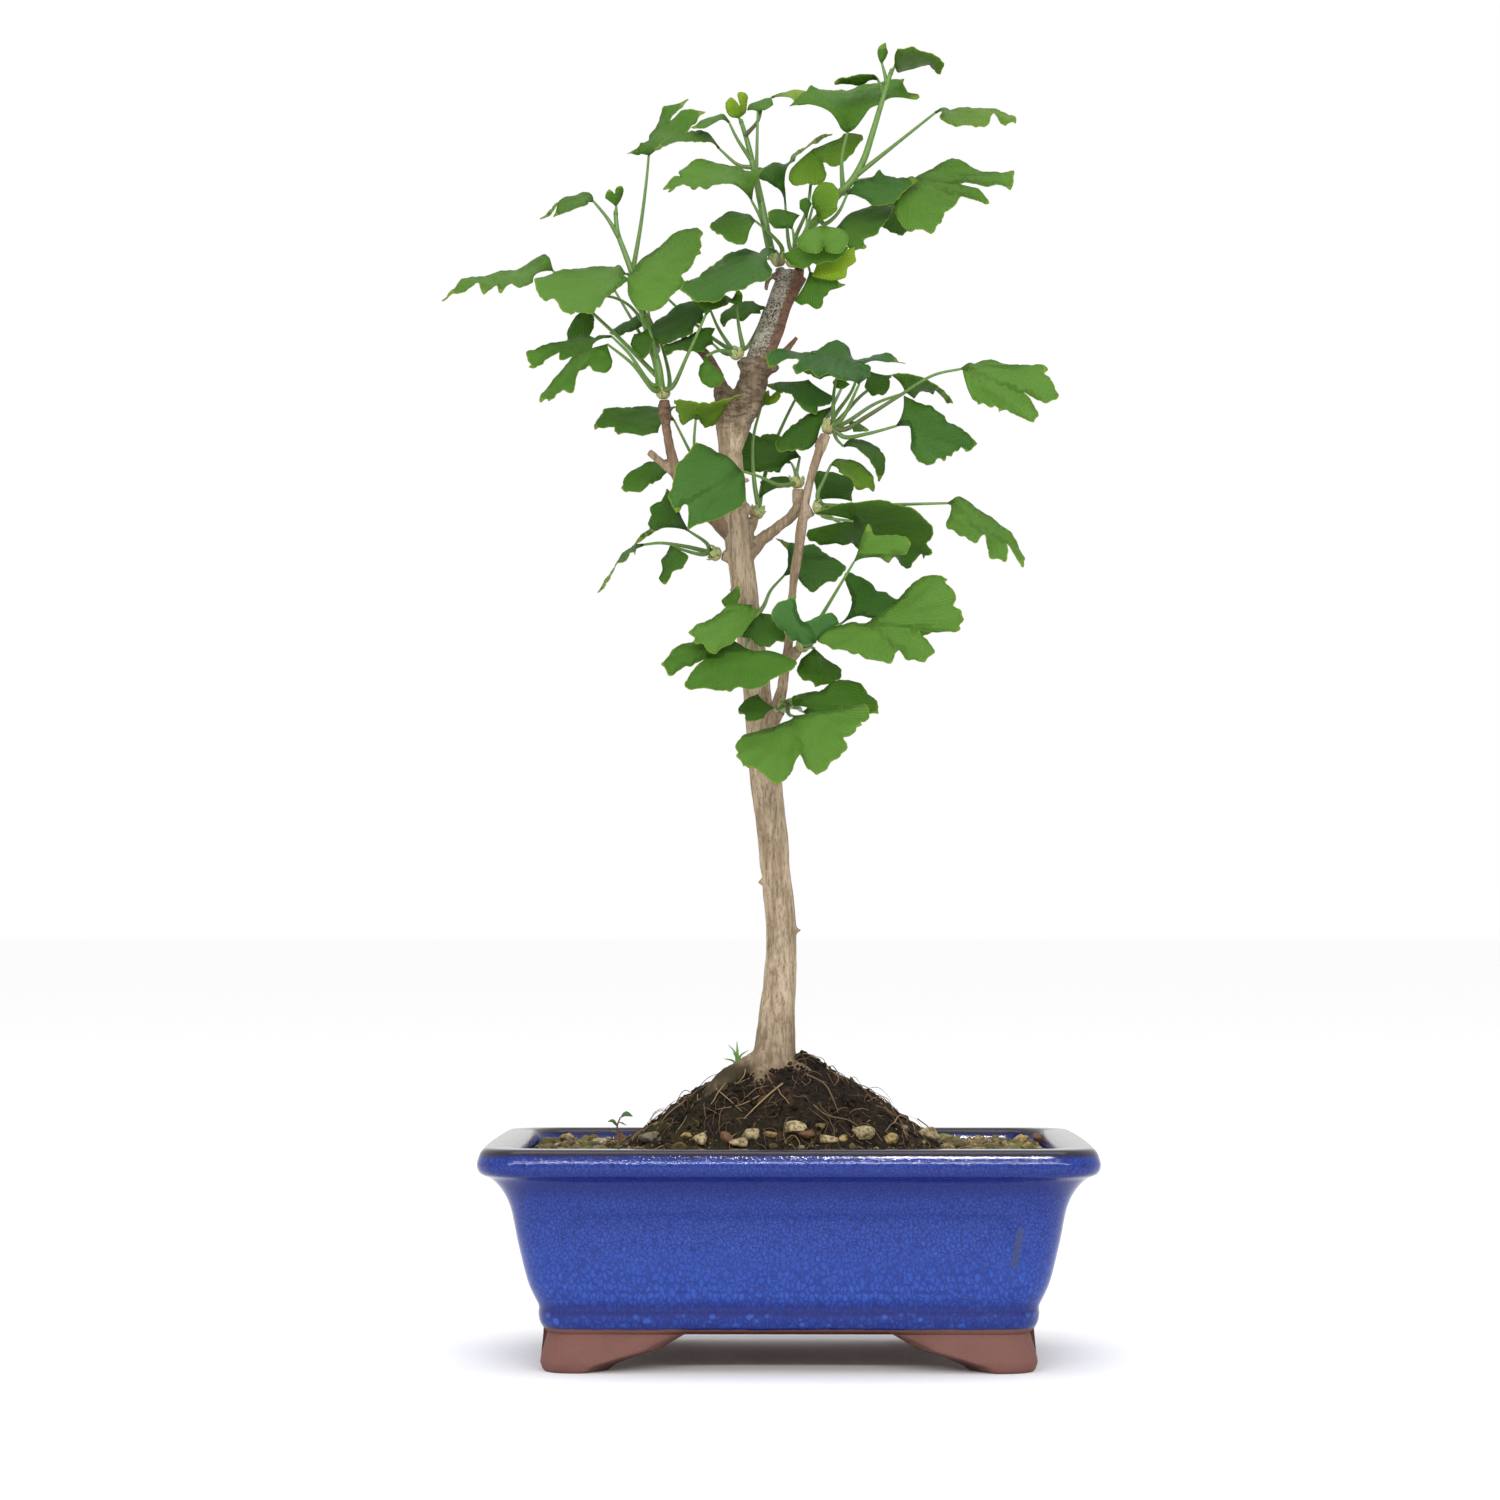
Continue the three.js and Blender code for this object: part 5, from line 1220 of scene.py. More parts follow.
LIMBS = {
    "trunk": Limb(
        """-7 70 1, -6.5 82 1, -6 92 0, -5.2 100 0, -4.6 106 0.5, -4 115 1.5, -2.8 130 3.5,
            -2.5 145 5, -4 162 5.5, -6 182 4.5, -8 200 2.5, -11.2 230 0, -15.2 262 -1,
            -18.5 290 0, -20 310 0, -21 322 0, -23 332 0""",
        (7, 10, 9.6, 8, 7, 6.4, 5.5, 5.4, 5.3, 5.4, 5.5, 4.9, 4.7, 4.4, 4.1, 4.6, 3),
    ),
    "leader": Limb(
        "-20 308 0, -17.5 321 0, -13.5 332 0, -10.5 343 0, -6.5 355 0, -2.5 365 0, 1 372 0",
        (3, 5.4, 4.7, 3.7, 3.4, 3.6, 4.4),
    ),
    "fork_twig": Limb("-22 328 0, -25 337 1, -29 344 2, -35 348 4", (3, 2.2, 1.9, 1), 1),
    "left_twig": Limb(
        "-18 281 0, -25 287 0, -32 294 -1, -38 301 -2, -40 308 -2, -42 318 -2, -43 326.5 -2",
        (4, 3.2, 2.6, 2.2, 2, 1.7, 2.2), 1,
    ),
    "cut_stub": Limb("-38 301 -2, -43 305.5 -3, -48.3 310 -4", (1.2, 1.4, 1.3), 0.5),
    "right_twig": Limb(
        """-9 212 -1, -5 218 -3, -2 229 -4, -0.3 240 -4, 1 258 -4, 2.5 270 -4, 4 280 -5,
            6.5 295 -5, 9 305 -5, 12.5 314.5 -4""",
        (3, 2.8, 2, 1.8, 1.6, 1.7, 1.85, 1.75, 1.5, 2.1), 0.25,
    ),
    "cross_twig": Limb(
        "-15 273 0, -9 279.5 1, 0 286.5 0, 3.5 291 -1, 3.8 295 -2",
        (3, 2.4, 1.9, 1.8, 1.7), 0.1,
    ),
    "top_ridge": Limb("-8.5 339 -1, -4 350 -1, 0 362 -1, 4.5 371 -1", (1.8, 2, 2.1, 2.4), 1),
    "top_stub": Limb("-9.5 340 1, -1.5 344.5 2, 3.2 349.7 2", (1.4, 1.3, 1), 0.5),
    "pale_stub": Limb("-8 337 -1, -3.6 339.8 -3", (1.8, 1.6), 0.3),
    "dark_stub": Limb("-3 372 -2, -6.6 370 -3, -7.8 366 -4", (1.2, 1, 0.9), 0.8),
    "fork_bulge": Limb("-13.8 322 -1, -12.3 329 -1, -11.3 335 -1, -10 341 0", (3, 4.2, 4.4, 2.8)),
    "knob_right": Limb("-17 287 -1, -13.2 291.5 -2", (3, 1.6), 0.1),
    "root_left": Limb(
        "-8 101 -2, -14.5 97 -5, -20.5 93.6 -8, -25.5 89 -10, -29 83 -12",
        (5, 4.4, 4.2, 3.4, 2),
    ),
    "root_right": Limb("-2 98 -2, 6 95 -5, 13 89 -9, 17 82 -12", (4.5, 3.4, 2.2, 1)),
    "root_back": Limb("-3 97 3, 2 94 11, 6 88 20, 8 80 25", (4.5, 3.6, 2.4, 1)),
    "root_front": Limb("-8 97 -3, -10 93 -10, -12 87 -17, -13 79 -22", (4, 3.2, 2.1, 1)),
}


def cross2(a: np.ndarray, b: np.ndarray) -> np.ndarray:
    """The flat cross product of rows."""
    return a[..., 0] * b[..., 1] - a[..., 1] * b[..., 0]


def inside_loop(points: np.ndarray, loop: np.ndarray) -> np.ndarray:
    """Tells which flat points lie inside a closed outline.

    Args:
        points: flat points.
        loop: the outline's flat points.

    Returns:
        True for each point that lies inside.
    """
    a, b = loop[None], np.roll(loop, -1, axis=0)[None]
    p = points[:, None]
    straddle = (a[..., 1] > p[..., 1]) != (b[..., 1] > p[..., 1])
    rise = np.where(np.abs(b[..., 1] - a[..., 1]) < 1e-9, 1e-9, b[..., 1] - a[..., 1])
    crossing = a[..., 0] + (p[..., 1] - a[..., 1]) / rise * (b[..., 0] - a[..., 0])
    return (straddle & (p[..., 0] < crossing)).sum(axis=1) % 2 == 1


def distance_to_loop(points: np.ndarray, loop: np.ndarray) -> np.ndarray:
    """Measures how far flat points are from a closed outline.

    Args:
        points: flat points.
        loop: the outline's flat points.

    Returns:
        A distance for each point.
    """
    a = loop[None]
    edge = np.roll(loop, -1, axis=0)[None] - a
    to = points[:, None] - a
    share = np.clip((to * edge).sum(-1) / np.maximum((edge * edge).sum(-1), 1e-9), 0, 1)
    return np.linalg.norm(to - share[..., None] * edge, axis=-1).min(axis=1)


def spread_inwards(points: np.ndarray, loop: np.ndarray, values: np.ndarray) -> np.ndarray:
    """Spreads an outline's values over the points inside it, by mean value coordinates.

    Args:
        points: flat points inside the outline.
        loop: the outline's flat points.
        values: a value for each of those.

    Returns:
        A value for each inside point.
    """
    to = loop[None] - points[:, None]
    away = np.maximum(np.linalg.norm(to, axis=-1), 1e-6)
    after = np.roll(to, -1, axis=1)
    angle = np.arctan2(cross2(to, after), (to * after).sum(-1))
    half = np.tan(np.clip(angle / 2, -1.5, 1.5))
    weight = (half + np.roll(half, 1, axis=1)) / away
    return (weight * values).sum(axis=1) / weight.sum(axis=1)


def read_outline(text: str, base: np.ndarray) -> list[np.ndarray]:
    """Reads a blade's outline, as "side | margin | side" or as its margin alone.

    Args:
        text: rows of x, z and depth from the stalk end. A row without a depth takes one
            between its neighbours'.
        base: the stalk end's x, z and depth.

    Returns:
        The places of the first side, the margin and the last side.
    """
    parts = [[list(map(float, row.split())) for row in part.split(",") if row.strip()]
             for part in text.split("|")]
    if len(parts) == 1:
        parts = [[], *parts]
    if len(parts) == 2:
        parts.append([])
    listed = [[*base[:2], 0.0], *parts[0], *parts[1], *parts[2], [*base[:2], 0.0]]
    flat = np.array([row[:2] for row in listed])
    along = np.concatenate([[0], np.cumsum(np.linalg.norm(np.diff(flat, axis=0), axis=1))])
    known = [number for number, row in enumerate(listed) if len(row) == 3]
    depth = np.interp(along, along[known], [listed[number][2] for number in known])
    places = np.column_stack([flat, depth + base[2]])[1:-1]
    return np.split(places, np.cumsum([len(part) for part in parts[:2]]))


@dataclass
class Blade:
    """One leaf blade: its stalk end, its outline, its tone, and its teeth's depths and pitches."""

    base: np.ndarray
    sides: list[np.ndarray]
    tone: Tone
    seed: int
    grain: float = 2.0
    margin_step: float = 0.7
    teeth: tuple[tuple[float, float], ...] = ((0.75, 4.3), (0.4, 1.9))
    arch: float = 0.2
    thick: float = 0.2
    plain_length: float = 15.0

    def margin(self) -> np.ndarray:
        """Runs the margin through its read places, with small blunt teeth.

        Returns:
            Close places along the margin.
        """
        chance = random.Random(self.seed)
        read = self.sides[1]
        steps = 12
        share = np.linspace(0, 1, steps, endpoint=False)[:, None]
        straight = np.vstack([a + share * (b - a) for a, b in zip(read, read[1:])] + [read[-1:]])
        line = evenly(0.55 * spline(read, steps) + 0.45 * straight, self.margin_step)
        along = np.arange(len(line)) * self.margin_step
        flat = line[:, :2]
        normal = unit(np.gradient(flat, axis=0))[:, ::-1] * (1, -1)
        outward = np.sign((normal * (flat - self.base[:2])).sum(axis=1).sum() or 1)
        spacing = np.linalg.norm(np.diff(read[:, :2], axis=0), axis=1).mean()
        size = min(1.0, np.ptp(along) / 40) * min(1.0, spacing / 5.5)
        warped = along + 1.1 * np.sin(along / 2.9 + chance.uniform(0, 6)) + chance.uniform(0, 9)
        strength = 0.35 + 0.65 * np.sin(along / chance.uniform(4, 7) + chance.uniform(0, 6)) ** 2
        teeth = sum(depth * (np.abs(np.sin(np.pi * warped / pitch)) - 0.64) for depth, pitch in self.teeth)
        teeth *= size * strength * smooth(along, 0, 3) * smooth(along[-1] - along, 0, 3)
        line[:, :2] += normal * (outward * teeth)[:, None]
        return line

    def side(self, corner: np.ndarray, axis: np.ndarray, read: np.ndarray) -> np.ndarray:
        """Runs one wedge side from the stalk end to the margin's corner.

        Args:
            corner: the margin's corner.
            axis: the margin's middle.
            read: the side's read places. A side without any is made a little hollow.

        Returns:
            Places along the side, without its ends.
        """
        if len(read):
            return evenly(spline(np.vstack([self.base, read, corner]), 8), 1.4)[1:-1]
        reach = np.linalg.norm(corner - self.base)
        share = np.linspace(0, 1, max(3, round(reach / 1.6)))[1:-1, None]
        bend = 0.09 * (axis - 0.5 * (self.base + corner))
        return self.base + share * (corner - self.base) + 4 * share * (1 - share) * bend

    def outline(self) -> tuple[np.ndarray, np.ndarray, np.ndarray]:
        """Goes once round the blade.

        Returns:
            The places, each one's share of the way out, and its run along the margin in millimetres.
        """
        margin = self.margin()
        axis = margin.mean(axis=0)
        first = self.side(margin[0], axis, self.sides[0])
        last = self.side(margin[-1], axis, self.sides[2][::-1])[::-1]
        run = np.concatenate([[0], np.cumsum(np.linalg.norm(np.diff(seen(margin), axis=0), axis=1))])
        places = np.vstack([self.base[None], first, margin, last])
        out = np.concatenate([[0], np.linspace(0, 1, len(first) + 2)[1:-1], np.ones(len(margin)),
                              np.linspace(1, 0, len(last) + 2)[1:-1]])
        runs = np.concatenate([[run[-1] / 2], np.zeros(len(first)), run, np.full(len(last), run[-1])])
        return places, out, runs

    def fill(self, places: np.ndarray, out: np.ndarray, runs: np.ndarray) -> np.ndarray:
        """Scatters places inside the outline, and finds how far out on which vein each lies.

        Args:
            places: the outline's places.
            out: each one's share of the way out.
            runs: each one's run along the margin.

        Returns:
            Rows of x, z, depth, share of the way out and run, and these two again, more even.
        """
        loop = places[:, :2]
        flat_area = abs(cross2(loop, np.roll(loop, -1, axis=0)).sum()) / 2
        space = seen(places)
        true_area = np.linalg.norm(np.cross(space - space[0], np.roll(space, -1, axis=0) - space[0]),
                                   axis=1).sum() / 2
        step = max(0.35, self.grain * math.sqrt(min(1.0, flat_area / max(true_area, 1e-6))))
        low, high = loop.min(axis=0), loop.max(axis=0)
        x, z = np.meshgrid(np.arange(low[0], high[0], step), np.arange(low[1], high[1], 0.87 * step))
        x[1::2] += step / 2
        inner = np.column_stack([x.ravel(), z.ravel()])
        inner = inner[inside_loop(inner, loop)]
        if len(inner):
            inner = inner[distance_to_loop(inner, loop) > 0.5 * step]
        if not len(inner):
            return np.empty((0, 7))
        depth = spread_inwards(inner, loop, places[:, 2])
        rimmed = np.flatnonzero(out >= 1)
        a = loop[rimmed[:-1]] - loop[0]
        edge = loop[rimmed[1:]] - loop[rimmed[:-1]]
        ray = inner - loop[0]
        under = cross2(ray[:, None], edge[None])
        under = np.where(np.abs(under) < 1e-9, 1e-9, under)
        where = -cross2(a[None], ray[:, None]) / cross2(edge[None], ray[:, None] + 1e-12)
        reach = cross2(a[None], edge[None]) / under
        reach = np.where((where >= 0) & (where <= 1) & (reach >= 0.98), reach, np.inf)
        best = reach.argmin(axis=1)
        hit = reach[np.arange(len(inner)), best]
        missed = ~np.isfinite(hit)
        far = np.linalg.norm(ray, axis=1) / np.linalg.norm(a, axis=1).max()
        share = np.where(missed, far, 1 / np.maximum(hit, 1))
        part = where[np.arange(len(inner)), best]
        run = runs[rimmed[best]] + np.clip(part, 0, 1) * (runs[rimmed[best + 1]] - runs[rimmed[best]])
        corner = loop[rimmed[0]] - loop[0]
        first_side = cross2(corner, ray) * cross2(a.mean(axis=0), corner) > 0
        run = np.where(missed, np.where(first_side, 0.0, runs[-1]), run)
        trust = float(smooth(flat_area / max(true_area, 1e-6), 0.35, 0.7))
        even_share = np.clip(spread_inwards(inner, loop, out), 0, 1)
        even_run = spread_inwards(inner, loop, runs)
        run = trust * run + (1 - trust) * even_run
        return np.column_stack([inner, depth, np.clip(share, 0, 1), run, even_share, even_run])

    def build(self, draft: Draft) -> np.ndarray:
        """Adds the blade to a draft.

        Args:
            draft: what gathers the spray's blades.

        Returns:
            The blade's upward normal at its stalk end.
        """
        places, out, runs = self.outline()
        inner = self.fill(places, out, runs)
        table = np.vstack([np.column_stack([places, out, runs, out, runs]), inner])
        ring = list(range(len(places)))
        verts, _, faces, origins, _, _ = geometry.delaunay_2d_cdt(
            [Vector(row[:2]) for row in table], [], [ring], 1, 1e-6, True)
        pick = [origin[0] if origin else self._nearest(table, vert) for vert, origin in zip(verts, origins)]
        table = table[pick]
        triangles = np.array([list(face) for face in faces if len(face) == 3])
        triangles = triangles[inside_loop(table[triangles, :2].mean(axis=1), places[:, :2])]
        space = seen(table[:, :3])
        share, run = table[:, 3], table[:, 4]

        # The upper side is the one that faces up, or the viewer where the blade hangs upright
        normals = face_normals(space, triangles)
        up = unit(normals.mean(axis=0))
        faces_up = up[2] > 0 if abs(up[2]) > 0.15 else up[1] < 0
        if not faces_up:
            triangles = triangles[:, ::-1]
            up = -up
        length = np.linalg.norm(space[share >= 1] - space[share.argmin()], axis=1).mean()
        bow = self.arch * length * (1.0 if length > self.plain_length else 0.35)
        chance = random.Random(self.seed + 7)
        even_share, even_run = table[:, 5], table[:, 6]
        wave = 0.016 * length * np.sin(even_run * 2 * np.pi / chance.uniform(9, 14) + chance.uniform(0, 6))
        fold = 0.05 * length * np.abs(2 * even_run / max(run.max(), 1) - 1) * even_share
        lift = even_share * (1 - even_share) * bow + wave * even_share**2 + fold * (1 - even_share)
        space = space + np.outer(lift, up)
        normals = face_normals(space, triangles)
        thick = self.thick * (1 - 0.45 * share) + 0.3 * np.exp(-((share / 0.08) ** 2))
        count = len(space)
        edges = self._rim_edges(triangles)
        walls = np.column_stack([edges[:, 1], edges[:, 0], edges[:, 0] + count, edges[:, 1] + count])
        points = np.vstack([space + normals * thick[:, None], space - normals * thick[:, None]])
        vein = np.column_stack([run, share, np.full(count, chance.random())])
        # The tone and pale values carry the leaf's youth, painted sky reflection, painted shade and painted
        # sheen
        draft.add(points, [triangles, triangles[:, ::-1] + count, walls], vein=np.vstack([vein, vein]),
                  tone=np.tile(self.tone.value[:3], (2 * count, 1)),
                  pale=np.full(2 * count, self.tone.value[3]),
                  under=np.repeat([0.0, 1.0], count))
        return normals[share.argmin()]

    @staticmethod
    def _nearest(table: np.ndarray, vert: Vector) -> int:
        """Finds the row nearest to a place that the triangulation added."""
        return int(np.linalg.norm(table[:, :2] - np.array(vert), axis=1).argmin())

    @staticmethod
    def _rim_edges(triangles: np.ndarray) -> np.ndarray:
        """Finds the edges that only one triangle has.

        Args:
            triangles: the blade's faces.

        Returns:
            Rows of two point numbers, in the triangle's direction.
        """
        edges = np.vstack([triangles[:, [0, 1]], triangles[:, [1, 2]], triangles[:, [2, 0]]])
        known = {(a, b) for a, b in edges.tolist()}
        return np.array([(a, b) for a, b in edges.tolist() if (b, a) not in known])


@dataclass
class Spray:
    """The leaves of one spur or green shoot: the spur's foot and tip, the shoot, and each leaf.

    A leaf is its tone, its stalk up to the blade and, after a >, the blade's outline. A semicolon
    ends it. An outline's depth counts from the stalk end.
    """

    spur: str
    shoot: str
    leaves: str
    fresh: float = 0.5
    stalk_radii: tuple[float, float] = (0.62, 0.42)
    shoot_radii: tuple[float, ...] = (1.65, 1.45, 1.25, 1.0, 0.75)
    bud_length: float = 4.0
    bud_radii: tuple[float, ...] = (1.2, 1.9, 1.7, 1.1, 0.5)
    scale_radii: tuple[float, ...] = (0.7, 1.25, 1.15, 0.2)
    stalk_browns: tuple[float, ...] = (0.0, 0.1, 0.2, 0.55)

    def spur_line(self) -> np.ndarray:
        """The woody spur's foot and tip."""
        return seen(rows(self.spur))

    def bud(self) -> np.ndarray:
        """Stands the bud on the spur, just clear of it.

        Returns:
            The bud's foot and tip.
        """
        foot, tip = self.spur_line()
        along = unit(tip - foot)
        return np.array([tip + along * GAP, tip + along * (GAP + self.bud_length)])

    def stem(self) -> np.ndarray:
        """Finds the line that the stalks leave from.

        Returns:
            Its points, from the bud's heart up.
        """
        foot, tip = self.bud()
        heart = foot + 0.45 * (tip - foot)
        if not self.shoot:
            return np.array([heart, tip])
        return np.vstack([heart, seen(rows(self.shoot))])

    def stalk(
        self, places: np.ndarray, stem: np.ndarray, blade_up: np.ndarray, draft: Draft, brown: float
    ) -> None:
        """Adds one leaf stalk, from the stem to its blade.

        Args:
            places: the stalk's read places, the last at the blade.
            stem: close points along the stem.
            blade_up: the blade's upward normal at its stalk end.
            draft: what gathers the spray's stalks.
            brown: how brown the stalk's foot is.
        """
        line = seen(places)
        start = stem[np.linalg.norm(stem - line[0], axis=1).argmin()]
        route = np.vstack([start, line[1:] if np.linalg.norm(line[0] - start) < 3 else line])
        if len(route) < 3:
            middle = route.mean(axis=0) + (0, 0, 0.04 * np.linalg.norm(route[1] - route[0]))
            route = np.vstack([route[0], middle, route[1]])
        radii = (self.stalk_radii[0] * 1.5, *self.stalk_radii)
        points, faces, share = tube(evenly(spline(route, 8), 1.2), radii, 8, across=blade_up)
        draft.add(points, faces, brown=brown * (1 - smooth(share, 0.3, 1.0)))

    def scales(self, name: str) -> Draft:
        """Builds the bud: blunt scales that overlap round the spur's tip.

        Args:
            name: seeds the scales' spread.

        Returns:
            The draft of the bud.
        """
        chance = random.Random(name)
        foot, tip = self.bud()
        along = unit(tip - foot)
        side = unit(np.cross(along, (0.3, 1.0, 0.2)))
        front = np.cross(along, side)
        draft = Draft()
        core, faces, _ = tube(evenly(np.array([foot, tip]), 0.6), self.bud_radii, 10)
        draft.add(core, faces, fresh=self.fresh)
        for tier in range(2):
            for number in range(6):
                turn = (number + 0.5 * tier) * math.tau / 6 + chance.uniform(-0.2, 0.2)
                way = math.cos(turn) * side + math.sin(turn) * front
                low = foot + along * (0.2 + 1.1 * tier) + way * 1.3
                reach = chance.uniform(2.4, 3.6)
                middle = low + along * reach * 0.5 + way * 0.85
                end = low + along * reach + way * (0.5 + tier)
                spine = spline(np.array([low, middle, end]), 3)
                points, faces, share = tube(spine, self.scale_radii, 8, 0.32, way)
                fresh = self.fresh + chance.uniform(-0.35, 0.35) + 0.2 * share
                draft.add(points, faces, fresh=np.clip(fresh, 0, 1))
        return draft

    def build(self, name: str) -> None:
        """Makes the spray's blades, stalks and bud.

        Args:
            name: the spray's name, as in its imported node.
        """
        blades, stalks = Draft(), Draft()
        stem = evenly(spline(self.stem(), 10), 0.6)
        chance = random.Random(name)
        if self.shoot:
            points, faces, _ = tube(evenly(stem, 1.5), self.shoot_radii, 12)
            stalks.add(points, faces, brown=0.0)
        for number, leaf in enumerate(self.leaves.split(";")[:-1]):
            tone, places = leaf.split(maxsplit=1)
            stalk, rim = places.split(">")
            route = rows(stalk)
            seed = chance.randrange(10000)
            blade_up = Blade(route[-1], read_outline(rim, route[-1]), Tone[tone], seed).build(blades)
            brown = chance.choice(self.stalk_browns) if number % 2 else 0.15
            self.stalk(route, stem, blade_up, stalks, brown)
        blades.piece("blades_" + name, LeafFinish(), "leaf", ["spray_" + name])
        stalks.piece("stalks_" + name, StalkFinish(), "leaf")
        self.scales(name).piece("bud_" + name, BudFinish(), "leaf")


